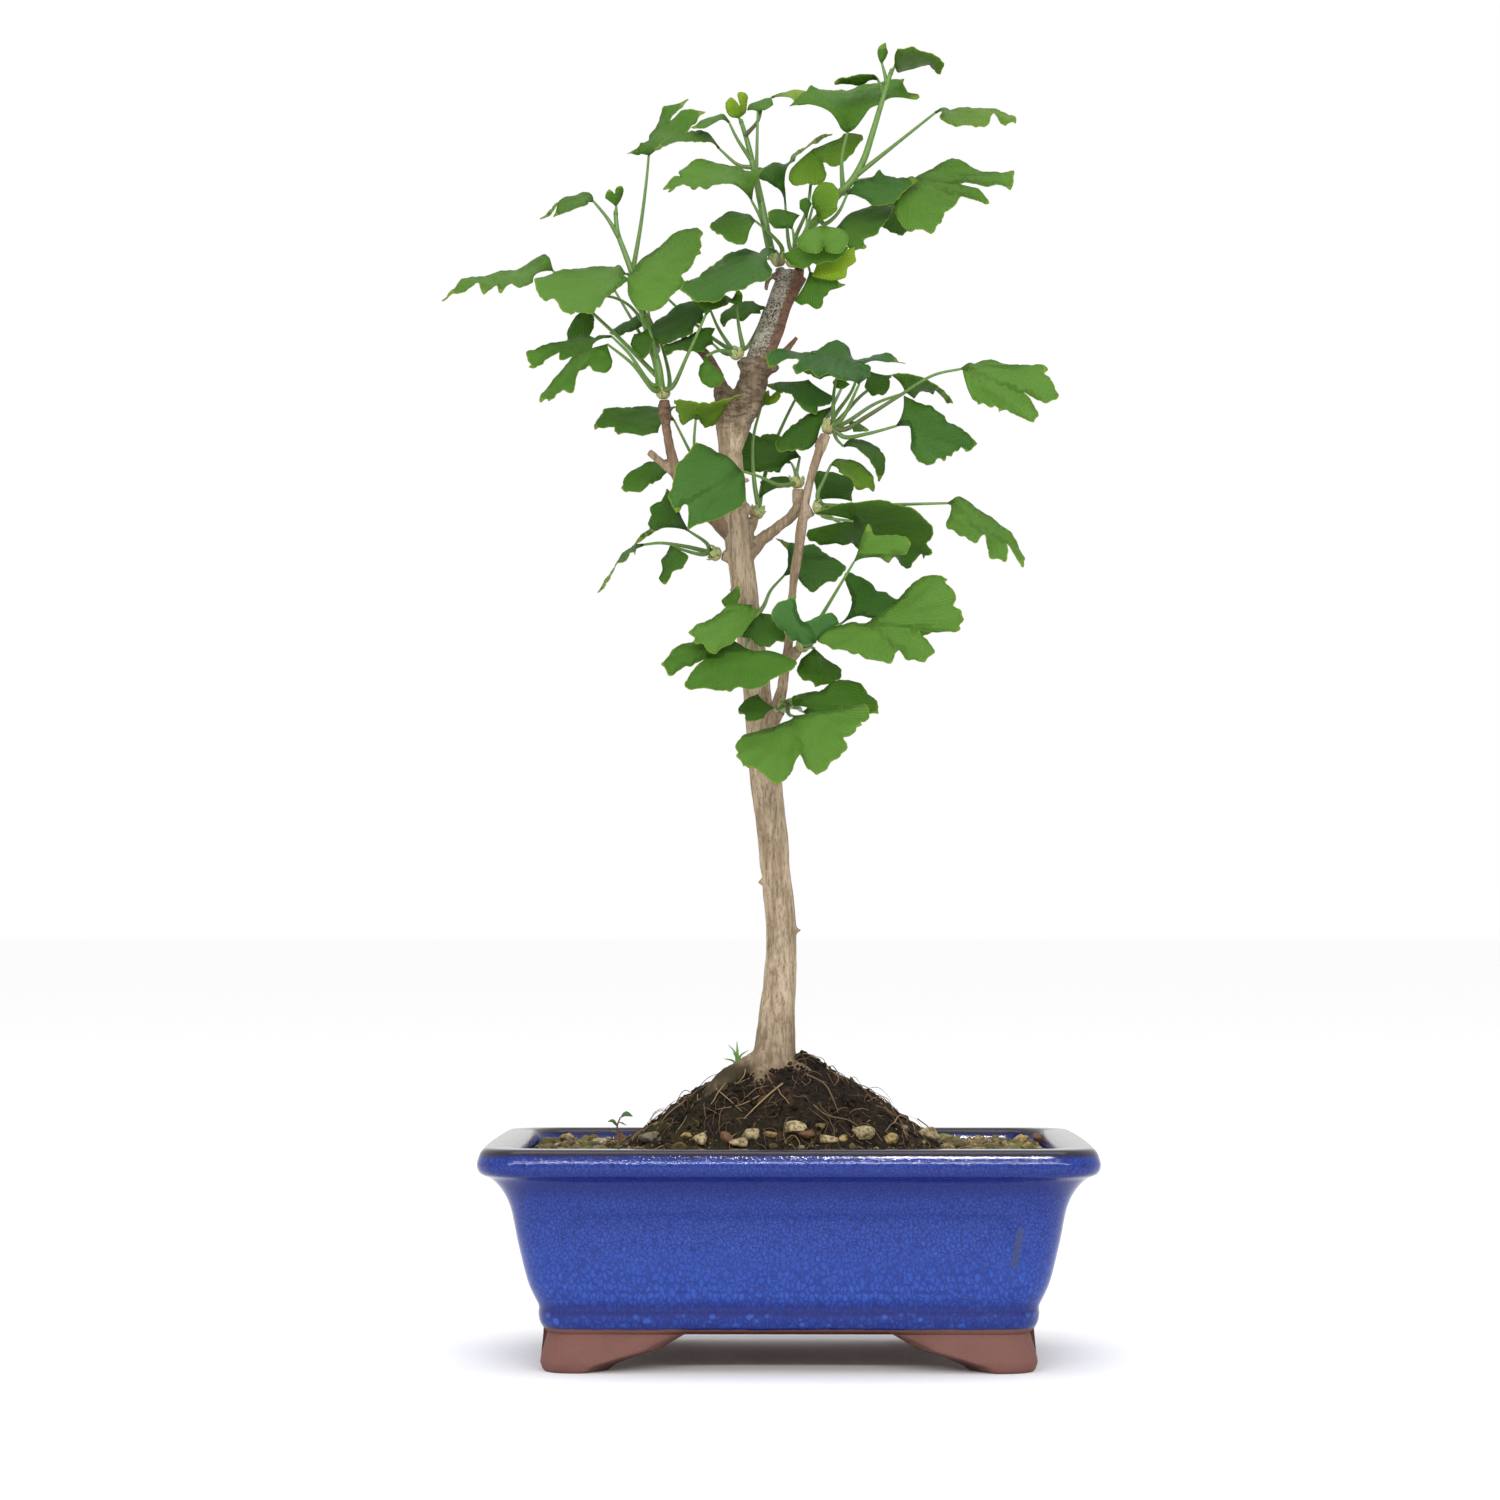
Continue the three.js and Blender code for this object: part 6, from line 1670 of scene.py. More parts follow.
SPRAYS = {
    "shoot_right": Spray("3 368 2, 4 374 2",
        """6 385 0, 12 393 -3, 18 400 -5, 22 404 -6, 26 411 -7, 29 420 -8, 32 430 -9, 35 440 -10,
        36 443 -10""", """
FRESH 36 441 -10, 37 444 -10 > 37 447.5 | 38 450.3 -9, 40.5 450.1, 43 450.7 -8, 46 449.6, 50 448.2 -4,
52.8 446.6, 54.2 445 0, 53.4 443, 52.8 440.9 3, 51.5 441.6, 50.3 443.2, 48.9 444.4, 46 443.8 9, 43 443.3,
40 442.3 11 | 38 441.5;
MID 34 438 -9, 32.5 445 -9 > 31.3 446.5 | 31 449 -1, 31.4 450.8, 32.5 451.7, 33.8 452.3 2, 34 450.5,
34.6 449 2 | 33.8 447;
MID 33 434 -9, 31 439.5 -6 > 30.3 440.5 | 29 441.3 -5, 26.5 441.2, 23 440.9, 21 440.4 -4, 18.5 440,
16 438.6 0, 16.2 437.6, 18 438.1, 20.5 437.8 4, 24 437.3, 27 438.4 6;
MID 18 402 -5, 18.6 412 -8, 20.5 421 -10 > 18.5 421.6, 17.4 423.6, 15 426.6, 12 428.3, 8 429.6, 4.5 430.1 |
0.4 430.3 6, 3 433, 6 435.5, 8 437.8 12, 8.9 436.6, 10.5 435.8, 13 436.1, 16 435.6, 20 435.5 18, 22 436.3,
25 437.4, 28 437.7, 30 438.2 17, 34 438.9, 37 439.6, 40 439.8 11, 40 437.5, 41.2 435.4, 43.5 434.6,
45.5 433.3 4, 45.4 432.3, 42.5 432.9 | 39 432.8, 35 431.9, 32 429.6, 28.5 428.2, 26.2 425.3, 23 421.8;
FRESH 24 405 -6, 40 419 -13, 51 427.8 -17 > | 52.4 426.4 -8, 52.8 425.2, 54.5 424.5, 56.3 424, 58 423.1 -11,
61 423.3, 63 423, 65 422.5 -11, 66.5 423.3, 68.2 423, 69.6 424.2 -9, 70 426, 71.2 427.4 -6, 72.5 425.8,
74 423.8 -5, 75.3 423.5, 76.2 424.4, 77.8 424.4, 78.8 423.6 -1, 78.7 426.4 2, 76 427.4 5, 72 428.7,
66 429.6 10, 61 429.4, 56 428.7 9 | 53.5 428.3;
PALE 22 403 -3, 33 405 5, 42.5 403.5 0 > 40 402.6, 37.8 399.5, 36.9 396 | 37 393 -12, 38.2 390, 39.8 388,
41.2 386.9, 42.6 386.4 -17, 44.3 386.8, 46.6 386.8, 48.2 386.1, 49.4 385.6 -19, 50.4 386.4, 51.5 388.4,
53 389.2, 53.5 391, 54.1 393 -14, 56.5 394.5, 58.3 395.8, 59 397.6, 59.8 398.9 -10, 62 398.2, 63.3 397.6,
64.4 397, 66 396.7, 68 395.8, 69.4 396.3 -8, 69 397.8, 67.3 399.7, 65.3 401.2, 62.5 402.2, 59.4 403.2 -6,
64 402.9, 69 402.2, 73.5 402.3, 75.6 401.7, 76.9 400.9 -2, 77.8 402.6, 78 404.8, 78.4 407.2 0, 74 407.1,
69 406.8, 67.6 407 2, 64.5 408.5, 61 410.2, 58.5 411.6, 57 412 3, 54.8 411.4, 52.5 409.8, 50 408 2 |
47 405.6, 44.5 404.6;
COOL 12.5 389 -5, 17 392.5 -8, 20.5 399.5 -10 > | 22.5 403.5 2, 25 404, 28 404.9 5, 30 406.2, 31.6 407.9 7,
32.4 406.6, 34 405.8, 36.5 405.4, 38 405.2 6, 41.5 404.9, 43 405.5, 45 404.5 3, 40 400 -2, 36 396 -5,
29.2 395.6 -5, 27.5 396.9 | 25 397.9, 22.5 398.6;
MID 9 381 0, 13 385 -1, 17 387.5 -3 > 20 390.4, 21.8 391.9 | 24 393.4 8, 27 394.9, 31 396 9, 36.5 395.3 5,
35.5 393, 34.5 391 -2, 33 388.4, 31.6 387.4, 31 385.9, 29.3 384.5, 27.5 384.2 -9, 26.2 383.5, 26.2 382.6,
27.1 381.4 -11, 26.3 380.2, 24.5 380.1, 23 379.6 -13, 21.5 380.4, 19.5 382.5 -10;
DARK 19 399.5 1, 26 400.5 11, 33 398 14 > 32 388.3 8, 36 385.9 9, 39.5 385 10, 42 387.5 12, 46 393 12,
44 399 9;
MID 20 401.5 1, 27 398 22, 33 397 36 > 30 403 9, 38 404 16, 48 402 18, 54 395 13, 48 390 5, 39 391 0;
"""),
    "shoot_centre": Spray("-2 368 1, -3 374 1",
        "-5 377 2, -7 384 3, -8.5 392 4, -10.5 402 5, -12.3 410 6, -14.2 418 7, -16.5 425.5 8", """
PALE -6 381 0, -9.5 391 -5, -12.8 397.5 -8 > -11 403 | -8 408.4 0, -14 407.6 6, -18 408.7, -22 410 9,
-27 411 9, -31.6 411.6 8, -34.3 410.2, -36.7 408.4, -38 406.8 4, -37.4 405.4, -39.6 405.5, -41 404.2,
-42.4 402.8, -43.4 401.4 0, -41 401.3, -41.6 399.9, -39.8 400.7, -38.2 402.4, -36 403.2 -6, -34.2 402.4,
-33.4 401.3, -32.2 400.8 -9, -30.8 401.9, -29.3 401.2, -28 401.2, -26.5 402.6, -25 403.2 -12, -21 403.1,
-19.5 402.8 -11 | -16.5 400.3, -14.3 398.6;
MID -12 409 6, -17 409.5 5, -24 415.5 4 > -26.2 418.3 | -28 421.2 3, -30 421.6, -33.5 421.3, -36 420.6,
-41 419.5 3, -46.5 415 0, -43 416 -3, -40 417.3, -36 418.1 -5, -32 417.9, -29 417.4 -5 | -26.5 416.7;
MID -13 411 6, -17.5 418.5 4, -20.5 424.6 3 > -21.4 426.2, -22.4 427.2 | -25 426.9 5, -28 426.2 6,
-30.3 425 4, -32 423.4 2, -33.8 422.9 0, -31 422.5, -28.6 422.5 -5, -26.5 423.7 -6, -24.8 425 | -23 425.4;
YOUNG -16.5 424 8, -17 426 8 > -20 426.4 | -21.2 428 -1, -21.7 430 -2, -21.5 431.8 -2, -20 433.3 -2,
-18.5 432.5, -17.4 431, -16.7 430.3 0, -17.1 432.3, -17.6 434.6 1, -16.7 435.3, -15 434.9 2, -14 433.5 3,
-14.3 430.6 2 | -14.8 427.8;
MID -10.2 398 1.5, -10.9 407 -1.2, -10.8 416 -2.5, -10.5 428.3 -3 > -14.2 428.7 5, -13.5 430.5 6,
-9 432.6 6, -6 433 4, -5.2 430.8 0, -8 428.7 -4;
YOUNG -10.5 425 -3, -8.5 431 2, -5.5 433.3 3 > -3.5 434.1 | -1 435 5, 1.5 435.6, 4 435.8 6, 6.5 435.5,
8.5 435.3 5, 8.9 433 1, 7.7 431.2, 6 430.6 -3, 3.2 430.6 -5, 2.2 432.2, 1 433.2 -5 | -2 433.3;
MID -2 380 0, -6.5 386 -5, -11.5 390.2 -8 > -13 391.8 | -15 392.7 9, -18 393.4, -20.5 393.2 9, -22.5 392.3,
-24 391.3, -25.3 390.2 5, -27.2 388.4 1, -26.3 387, -25.4 386.6, -24.6 385.3 -4, -23 385.3, -21.8 384,
-20 382.8 -7, -18 381.9, -16.4 381.7 -9, -15 382.3, -14.2 383.7 -8 | -13.3 386.6, -12.4 388.4;
COOL -3 377.5 -10, -4 379.5 -18 > -6.5 379.4 | -10 379.1 12, -13.5 379.9, -17 380.2 14, -19.5 379.5,
-21.2 377.8, -22.6 375.8, -24.6 374.4 12, -27.5 372.9, -30 371.7, -32.5 370.2, -36 368.4 4, -37.7 366.6,
-35.5 364.9, -33.5 362.8 -3, -26 361.6 -8, -20 365.5, -17 366.2, -14 367.1 -16, -11.5 368.5, -9 369.3,
-6.8 370.1 -18, -5.6 371.5, -5.6 373.2, -6.5 374.6 -14;
MID -4 377 6, -7 377 22, -10 376 34 > -12 379 6, -21 378.5 12, -28 373 14, -31 367 10, -24 365.5 4,
-15 369 0;
"""),
    "crown_young": Spray("1 367 -2, 1.5 373.5 -3", "2.5 377 -4", """
PALE 5 381 -9, 9 387 -17, 12.5 388.3 -23 > 8.5 387.2, 5 385.6 | 3 383.6 -1, 3.3 381.6, 5 379.9 -3,
7.5 378.9, 9.8 378.7 -6, 11.5 379.6, 12.3 381.4 -3, 13.2 379.4, 15.2 378.7 -6, 18 379 -6, 20 381,
20.9 383.4 -4, 20.4 385.6 -3 | 18.5 387.1, 15.5 387.6;
MID 3 380 -10, 5.5 382.7 -16, 8 384 -20 > -2 378.5 2, -0.5 376.2, 1.2 374.8 0, 3 374, 5 373.3 -2, 7 374.3,
8.5 375.4 -2, 10 374.8, 12 375.3 -3, 13.7 375.9, 15.3 375.6, 17.5 377 -4, 19.3 378, 21 381 -3;
YOUNG 5 377.5 -9, 8 378.5 -13, 10 378 -14 > 8 370.8 1, 12 369.8 -1, 16 369.3 -2, 19.8 370.2 -3, 20.3 372,
20.5 373.8 -4, 22 374.9, 23.5 376 -4, 23.1 378.5, 23 381 -4;
MID 4.5 376 -7, 6.5 375.5 -9, 7.5 372.5 -9 > 2 362.3 1, 4.6 360.6 -1, 6.6 361.4, 8 360.3, 9.5 359.3 -2,
11.2 359.9, 12.1 361.3, 12.1 363.2 -2, 13.6 364.2, 14.2 365.7 -3, 16.5 366.4, 18.3 367.2, 20 367.9 -3,
17.5 368.7, 16 371 -4;
FRESH 6 382 -5, 7 389 -5, 8.5 395 -7 > 8.2 398 | 9.3 401.2 0, 10.8 402.9, 12.8 403.8 -1, 15.6 403.1 -2,
17.3 401, 17.7 398.4 -3, 17 396, 17 394 -3, 15.3 392.4, 13.3 390.8 -2, 11.3 390.3, 10 391.6 1;
FRESH 2.5 384 3, 6.5 394 6, 8 405 6, 8.7 415 6 > 6 412.8, 3.5 410.6 | 1 408.3 -2, 0.1 406, 0.3 404.3 -4,
1.2 402.8, 2.8 402.2 -6, 4.8 402.6, 7 403.4 -7, 9 402.6, 11 402.9 -6, 12.9 404.4, 13.3 406.4 -5, 12.7 408.3,
12.1 410.5 -3, 13.4 410.3, 14.4 409.3, 16.4 408.9 -3, 17.8 409.4, 19.7 411, 21 412.5 -2, 22.8 414.2,
24 416.4, 26 418.4 0, 25.6 420, 22.5 420.8 3, 19.2 420.4 4 | 18.3 418.9, 15 417.5, 12 416.2;
COOL 0.5 381 0, -0.5 389 4, -1 396 8 > -1.8 398.2, -3 400.2 | -4.6 402.1 -2, -7 403.6, -9.4 404.3 -4,
-11 405.6, -12.5 407.9 -6, -10.5 408.4, -8 409, -6 410.1 4, -3 410.3, -1 410 8, 0.4 411, 1.5 413, 3.4 414.4,
6 416.1, 8.8 418.3 6, 11 419.6, 13.5 420.4, 15.5 420.5 3, 12.3 419, 11.2 417.7, 9.8 417, 8.4 417.2 0,
6 415.3, 4 413.4, 2.6 412.3 -2, 2.3 411 -2 | 0.4 409.5, -0.8 407, -1.3 403, -1 399;
DARK 4.5 384 -7, 6.3 388 -9, 6.5 390.8 -9 > 4 394.5 0, 4 397.2 1, 6.5 398.2 2, 8.2 396 2;
DARK 2 379 -5, 2 384 -9, 1.5 387.3 -10 > -1.5 387.4 1, -4.7 387.5 0, -6.7 390 -1, -7 393 0, -4 394.4 2,
0 393.5 4, 4 392 4;
"""),
    "twig_left": Spray("-42.5 322 -2, -43 328 -2",
        """-44 332 -3, -45 339 -4, -47.5 348 -4, -51 361 -1, -54 372 1, -56.5 379 2, -59 386 3,
        -59.8 393.5 4""", """
MID -59 384 3, -62.5 391 2, -67.5 397.2 1 > -67.6 398.6 | -69 400 5, -71 400.3 6, -73 399.5, -75 399.1,
-77 398.7 6, -79.5 396.9, -82 394.6, -84.3 392.3, -86.2 390.9 1, -84.2 391.2, -82.6 392, -81.2 393.8,
-80 395.6 1, -80.6 393.4, -81.4 391.7 -2, -79.5 392.3, -77 392.9 -5, -75 394, -73 395 -6, -70.5 395.7,
-69.2 396.3 -5;
MID -59.7 392 4, -59.5 395.3 4 > -61 396.4 | -63.4 398.2 -1, -63.1 399.9, -62 401.3 -1, -60.9 400.6,
-60 399.6 0, -59.8 401.4, -58.9 402.3 1, -57.6 402.4 2, -57 401, -57.4 399 3 | -58.4 397;
PALE -54 371 0, -56.5 371.8 -5 > -57.8 373.5 | -60 374.4 11, -65 374.1, -70 374.1 12, -75 373.4,
-80 372.6 8, -84.5 371, -87.9 369.6 2, -87.4 367.3, -86.6 365.2, -85.5 363.5 -4, -83.6 361.8 -6,
-82.5 362.7, -81 363.2 -7, -79.8 362, -79.1 360.3, -78 359 -9, -76.5 358, -75 357.4 -11, -73.5 358.1,
-71 358.4, -68.5 358.1 -12, -67 358.8, -66.2 360.2, -65.2 359.8, -64.3 361.2 -12, -63.4 363, -62 364.4 -10,
-60.4 365.6, -58.6 367 -6, -56.4 368.4, -54.6 369.6 -3;
PALE -50.5 358 -5, -55 365 -7, -54 371.8 -9 > -51.5 375 | -48 378.4 9, -45 381, -42 383.6, -39 386 11,
-36 387.2, -33 387.9 9, -31 387.4, -29.4 385.6 5, -30.5 384.2, -29.9 381.6, -30.7 380.3, -30.2 378.5 2,
-31.6 377.8, -32.7 376, -33.8 374, -35 372.8, -37 371.2 -2, -36 369.3, -34.7 368.4 -2, -36.5 367, -38.6 366,
-40.1 364.4 -6, -41.2 362.7, -42.2 361.3, -44 360, -46.5 359 -9, -49 358.7, -51.2 359.2 -9, -53.2 360.6,
-54.6 363.2 -7, -55.4 366.5 -4 | -55.4 369.5;
MID -53.5 372 1, -51 389 9, -49 405 16, -48.3 413 18 > -49.3 412.8 | -51.5 413 5, -53.5 413.2, -54.6 413.8,
-56.2 413.8 3, -54 414.8, -52.4 415.4, -51.3 416.2, -51.2 417.3 5, -49.6 417.8, -48.4 418.4, -48 420,
-47 421.3 8, -45.9 422.2, -45.2 424.2, -44.4 426.8, -43 430 10, -40 430.8, -37 431.6, -34.4 432.6 6,
-36 431, -38.3 428.7, -40 426.6, -41.2 424.7 3, -39.8 426.2, -38.2 427.7, -36 428.8 0, -33 429.2,
-30.5 428.6, -28.4 428 -4, -30 427.2, -31.2 426, -31.8 424.7 -6, -33.4 423.7, -34.3 421.6 -8, -39 418.3 -9 |
-43 416.2, -46.3 413.8;
MID -47 333 -6, -55 344 -9, -61 350 -11 > -66 349.6 7, -71 350.3, -76 349 9, -80 348, -84 347, -87.5 345.9,
-90.5 344.8 6, -90.4 343, -89.9 341.2 4, -88.8 340.2, -90 339.6, -87.4 339.2 3, -86.5 340.1, -84.9 340.2,
-83.5 341.8, -81.5 343.3, -79.3 344.6 2, -79.3 343, -78.9 341.7 0, -77.6 341.6, -76 342.3, -74 343 -1,
-68 345.6 -2;
MID -46 331 -6, -54 340.5 -15, -62.5 347.3 -22 > -61.9 345.4 | -61.4 343.3 2, -60.8 341.8, -61 339.4 0,
-62.3 338, -63.6 337.3 -3, -65 337.4, -67.5 338 -4, -68.1 339.3, -69 340.1 -3, -70.2 338.9, -72.1 338.2 -4,
-72.9 336, -73.6 334, -74.4 330.6 -4, -76 330.5, -77.8 331.3, -78.7 330.4, -80 329.9 -3, -80.8 328.8,
-82 328.3, -82.8 327.5, -83.5 328.4, -84.4 328, -85.6 326.8 0, -85.9 328.6, -85.2 330.4 3, -83.5 331.9,
-82 333.6, -80 336.4, -77 339.9 6, -74 343, -70 345.3 5;
PALE -45 335 -5, -59 350 4, -70 360.5 8, -81.5 373 8 > -81.8 375.2 | -83 377.5 3, -84.2 378.7, -85.6 378.6,
-87.3 377.5, -89 376, -90.5 374.7 6, -92.5 373.8, -96 373.2, -100 372.4, -103 371.8 7, -106.5 371,
-108 370.4, -110.5 370.4, -113.2 370.3 5, -114.4 368.8, -115 367, -116.5 365.7, -118.5 363.9,
-120.2 362.6 2, -117.8 363.3, -116 364.7, -114.4 364.9, -112 366 -1, -109.5 367.4, -107 368.5 -3,
-106.5 366.9, -105.5 364.8 -5, -104 365.7, -102.4 366.6, -101 367.5 -5, -100.4 367.1, -100.1 365.4,
-99.4 365.3 -7, -98.6 366.5, -97.2 367.6, -95.5 368.2, -94.4 367.4, -93 366.9 -9, -91.5 367.8,
-88.3 368.8 -9;
DARK -47 346 2, -49.3 353.5 10.5, -56 361.5 14, -64 364 14, -70.5 360.5 12 > -73.5 357 3, -76.2 352.5 3,
-76 347.5 0, -71 347 -2, -68.5 350.5 -2, -67 354.5 0, -67.5 358.3 3;
DARK -41 333 3, -43.5 346 12, -48.5 357.8 15 > -51 358.2 4, -57 354.5 5, -62 351.3 3, -58 350.2 -1,
-54 351.9 -2, -50 353.8 0;
DARK -46 341 -6, -47 349 -9, -48.5 352.5 -9 > -53.3 350.8 3, -54.5 347.3 1, -52.5 344 -1, -50 342.2 -2,
-48 344.3 -3, -46.5 348.5 -2;
MID -40.5 332 -6, -35 343 -13, -28.5 357.5 -17 > -33 361.3 2, -31 364.5 4, -28 366.5 5, -24 365.5 5,
-20.5 362.7 2, -21 360.9 -1, -24.5 359.7 -3;
MID -45 340 3, -53 354 22, -60 366 36 > -61 371 8, -70 372 14, -79 369.5 15, -82 366 12, -77 361 6,
-68 361 0;
MID -45 345 0, -48 356 18, -48.5 363 30 > -52 370 6, -47 377 12, -38 383 15, -34 380 13, -38 370 9,
-43 362 3;
"""),
    "fork_left": Spray("-14 338 -1, -16.5 342 -2", "-15.5 345.5 -3", """
DARK -19 345 0, -24 352.5 2, -27 359.3 3 > -31 361.2 | -34.5 362.2 6, -38 360.8, -41 358.6, -44.5 356 5,
-47 354, -49.5 351 1, -48 349.2, -46 348 -4, -43.5 347.3, -41 347.4 -6, -39 348.6, -36.5 349.8 -7,
-34.5 350.5, -33 351 -6, -32.6 352.8, -31.3 354.7, -30.4 354.3, -29.3 356 -3;
MID -16 346 -4, -17 353 -5, -18 361 -5 > -22 361.8 -2, -21.8 364.3 -1, -19.5 363 0, -17.5 366.3 1,
-15.8 364.5 1, -16 361.6 0;
MID -13.5 347 4, -10 354 7, -8 360 9 > -12 362.3 6, -15.5 361.9, -18.5 361.3 7, -21 359.5, -23.2 357.4 4,
-23.6 355.3, -22.3 353.2 0, -21.2 354.6, -19.8 356 -1, -18.2 356, -16 355.3 -2, -14.4 356.4, -13 357.6 -2,
-9.5 357.8 -1;
DARK -18 341 -3, -22 344 -3, -26 347.3 -3 > -25.2 352.6 1, -29 353 2, -33.5 350.5 3, -38 348.6 2,
-43.5 346.5 0, -42 343.4 -2, -38.5 345.4 -4, -34 344.5 -5, -29 344.8 -5;
MID -18 342 -3, -24 345 -8, -28.5 343 -11 > -30.5 339.8 1, -31 336.5 0, -29.5 333.5 -1, -26.5 332 -2,
-23 333.5 -2, -22.2 336.6 -1;
MID -18 344 2, -27 350 12, -42 363.5 22, -44 366 25 > -50 371 5, -45 378 11, -38 383 13, -34 379 9,
-38 371 2;
"""),
    "trunk_knob": Spray("-24 286 2, -27.5 290 4", "", """
YOUNG -31 303 0, -32.5 312 -8, -32 321 -14 > -34.3 320.6 3, -36.5 318.9 5, -39.3 327.8 4, -34 327.4 -3,
-26 326.9 -5, -14.5 330.3 -2, -20 327.5 4, -25.3 319.3 7, -28.5 318.3 6, -30.3 320 4;
MID -29 300 8, -34 310 12, -39.5 321 13 > -38.3 325.3 6, -42 325.4, -46 325.6 10, -51 325.5, -56 325.5 9,
-60 325.1, -63.8 324.6 6, -64.2 323.4, -65.4 322.3, -66 320.9, -67 319.3 2, -66.7 317.2, -65.4 318.3,
-64 318.1, -62 318.7, -60 318.8 -1, -60 317.2, -58.9 315.6 -3, -57.5 316.2, -55 316.5 -4, -52 316.1,
-50 315.3 -6, -48 316, -45 316.4 -6;
MID -30 294 7, -34 300 9, -38.5 304.3 9 > -42 307.4 5, -45.5 306.7, -49 306 6, -52 304.5, -55 302.5 3,
-56.6 300.6, -57.3 299.3, -57 298.4, -57.8 297.4 0, -56.2 295.9 -2, -53.5 296.2, -51 296.1 -4, -49.3 297.1,
-48.2 298.2 -4, -47.8 299, -46.8 298.5, -46 299.7, -44 300.5 -3;
"""),
    "twig_right": Spray("11 311 -4.5, 13 316 -4", "15.5 318.5 -5", """
BLUISH 19 322 -9, 24.5 333.3 -16 > 26.5 334 | 28.3 335.8 8, 28.4 338.3, 27.5 340 10, 20 341.6 11,
12 343.4 9, 7 344.3, 2 344.7 5, -1 345.1, -5 345.8 1, -7 344, -8 342.6 -3, -7.2 340.8, -6.4 339.2 -6,
-4.2 340, -2.5 341, 0 341.9 -6, 2.5 342.3, 4 342.1 -4, 2.8 340.4, 1.4 339.4, 1.4 338.4 -7, 2.9 336.8 -8,
5 337.9, 7.6 338.3 -7, 8.3 337.4, 9.2 336, 10.6 335.5 -9, 11.8 336.4, 13 337.5, 14.2 337.1, 15.6 335.8 -6,
17.5 334.7, 20 334.5 -4 | 22 333.2;
BLUISH 16.5 323 2, 22 331 6, 25 339.8 8 > | 12 341 -4, 7 344 -2, 10 345.2, 12 346.5 2, 14.5 347.9,
16.6 348.7 5, 18.6 348, 20 347 7, 21 345.3, 21.8 343.2, 22.6 341.9 8, 24.5 341.9, 28 342.4 8, 30.3 343.6,
33 344.1 5, 35.3 343.6, 37.2 342.3, 38 341.2, 40.6 340.3 1, 37.5 340.8, 33.5 341.1 -3 | 29 341.2;
MID 15.5 323 -3, 15.7 330 -2, 17 337 0 > 15.3 334 0, 16 332.2 -1, 19 331.6 -1, 21.3 333.2 0;
DARK 18.5 322 3, 26 330 9, 35.5 336 12 > 28.3 337.6 3, 26.9 334.5, 26.3 332.2 -2, 27.5 330.8, 28.7 329.3 -5,
29.6 329.2, 31 330 -6, 32.4 329.4, 33.4 329.8 -6, 34.3 331, 35 332.3, 35.1 334.3 -4;
MID 20 320 -1, 30 326.5 0, 40.5 330.3 -1 > 38.5 333.6 | 35.4 336.4 -3, 38 337, 40 337.1 -4, 43 336.6,
46 335.6 -4, 48.5 334.4, 51.5 332.8 -2, 53.5 331.2, 55.5 328.8, 57.1 326.4 0, 56 326.9, 55 326.5 2, 54 328,
52.5 329.6, 50.7 331 4, 50 329.6 5, 48.5 330.4, 46.3 331 6, 44.6 329.9, 43.4 328.1 5 | 42 329;
PALE 19 317.5 -6, 27 322 -10, 38 329 -13, 50 336.3 -16, 60 338.6 -18 > 60.4 336, 61 333.2, 62 330.4 |
63.6 328 -5, 65.2 327.3, 65.6 326.3, 67.2 326.6, 68.6 325.7, 69.5 324.8 -7, 70.4 325, 71.2 325.8,
72.4 325.1, 72.8 323.8 -8, 73.6 324.3, 75.2 324.3, 76.6 323, 78.2 322.6, 80.4 321.8, 82.3 321,
84.6 319.8 -8, 85.2 321, 86.3 321.8 -6, 86 323.8, 84.9 326, 83.2 328.3, 81.3 330.3 -4, 84 329, 86.6 327.6,
88.3 326.5, 89.8 326.5 -5, 91 327.5, 92.6 328.2, 93.5 329.5 -3, 92.3 331.2, 91.3 333.4, 90.3 335.4,
88.4 337.3 0, 89.8 338.2 2, 88.4 339.4, 86 340.1, 82.5 340, 78 339.7 6, 75.5 340.1, 73 341, 70 341.6 8,
67 341.2, 64 340.4 7 | 62 339.5;
COOL 19 315 -5, 27 316 -8, 37.5 318.8 -10 > 38.6 321, 39.5 324.5, 39.7 327.4 | 39.8 329.2 6, 42 328,
44 327.1 7, 47 326.3, 49.5 325.8 6, 50.5 324.5, 52 323.2, 53.9 322.1, 54.3 321, 55.2 320 4, 57.6 319.3,
60 317.5 3, 62.2 315.6, 65.2 312.7 1, 64 311.6, 63.2 310.4, 61.4 309.6 -2, 60.4 310.6, 59.3 311.3 -2,
58.6 310, 57 309.8, 56.3 308.2 -4, 54.6 308.5, 54.2 306.9, 53.6 306.2 -6, 52.4 307.4, 51.2 307.3 -7,
50.5 306, 48.2 305.2 -8, 46.6 305.9, 45.2 306, 44 307.4 -9, 42.9 309.4, 42.1 311.2 -8, 42.5 313.8,
42.3 316.2 -5 | 41.7 317.9, 39.5 318.2;
DARK 15.5 321 -2, 15.5 325.5 1 > 6.5 322.8 3, 0 317.7 1, -4.7 312.6 -1, -3.5 310 -3, 2 310.4 -3,
6.3 310.3 -2, 10 313.7 -1;
MID 17.5 318 -1, 20.5 320.5 2 > 23.5 320.3 3, 28 317.3 3, 25.5 316.8 0, 22.5 316.7 -2;
DARK 16.5 314.5 -5, 19 311.7 -4 > 20.5 313.6 | 23 314.3 5, 26 313.7, 29 312.3 5, 31.6 310.9, 33.1 308.6 3,
33.4 305.5, 33.1 302.9, 32.4 301.3, 31.3 299.4 0, 30.7 301.6, 29.5 304.3 -3, 27.7 307.3, 25.4 309.8 -5,
23.4 311.3 -3 | 21.3 311.5;
MID 13.5 321 3, 17 329 20, 20 335 34 > 22 343 6, 13 344.5 12, 5 343 15, 3 339 12, 11 335 4;
"""),
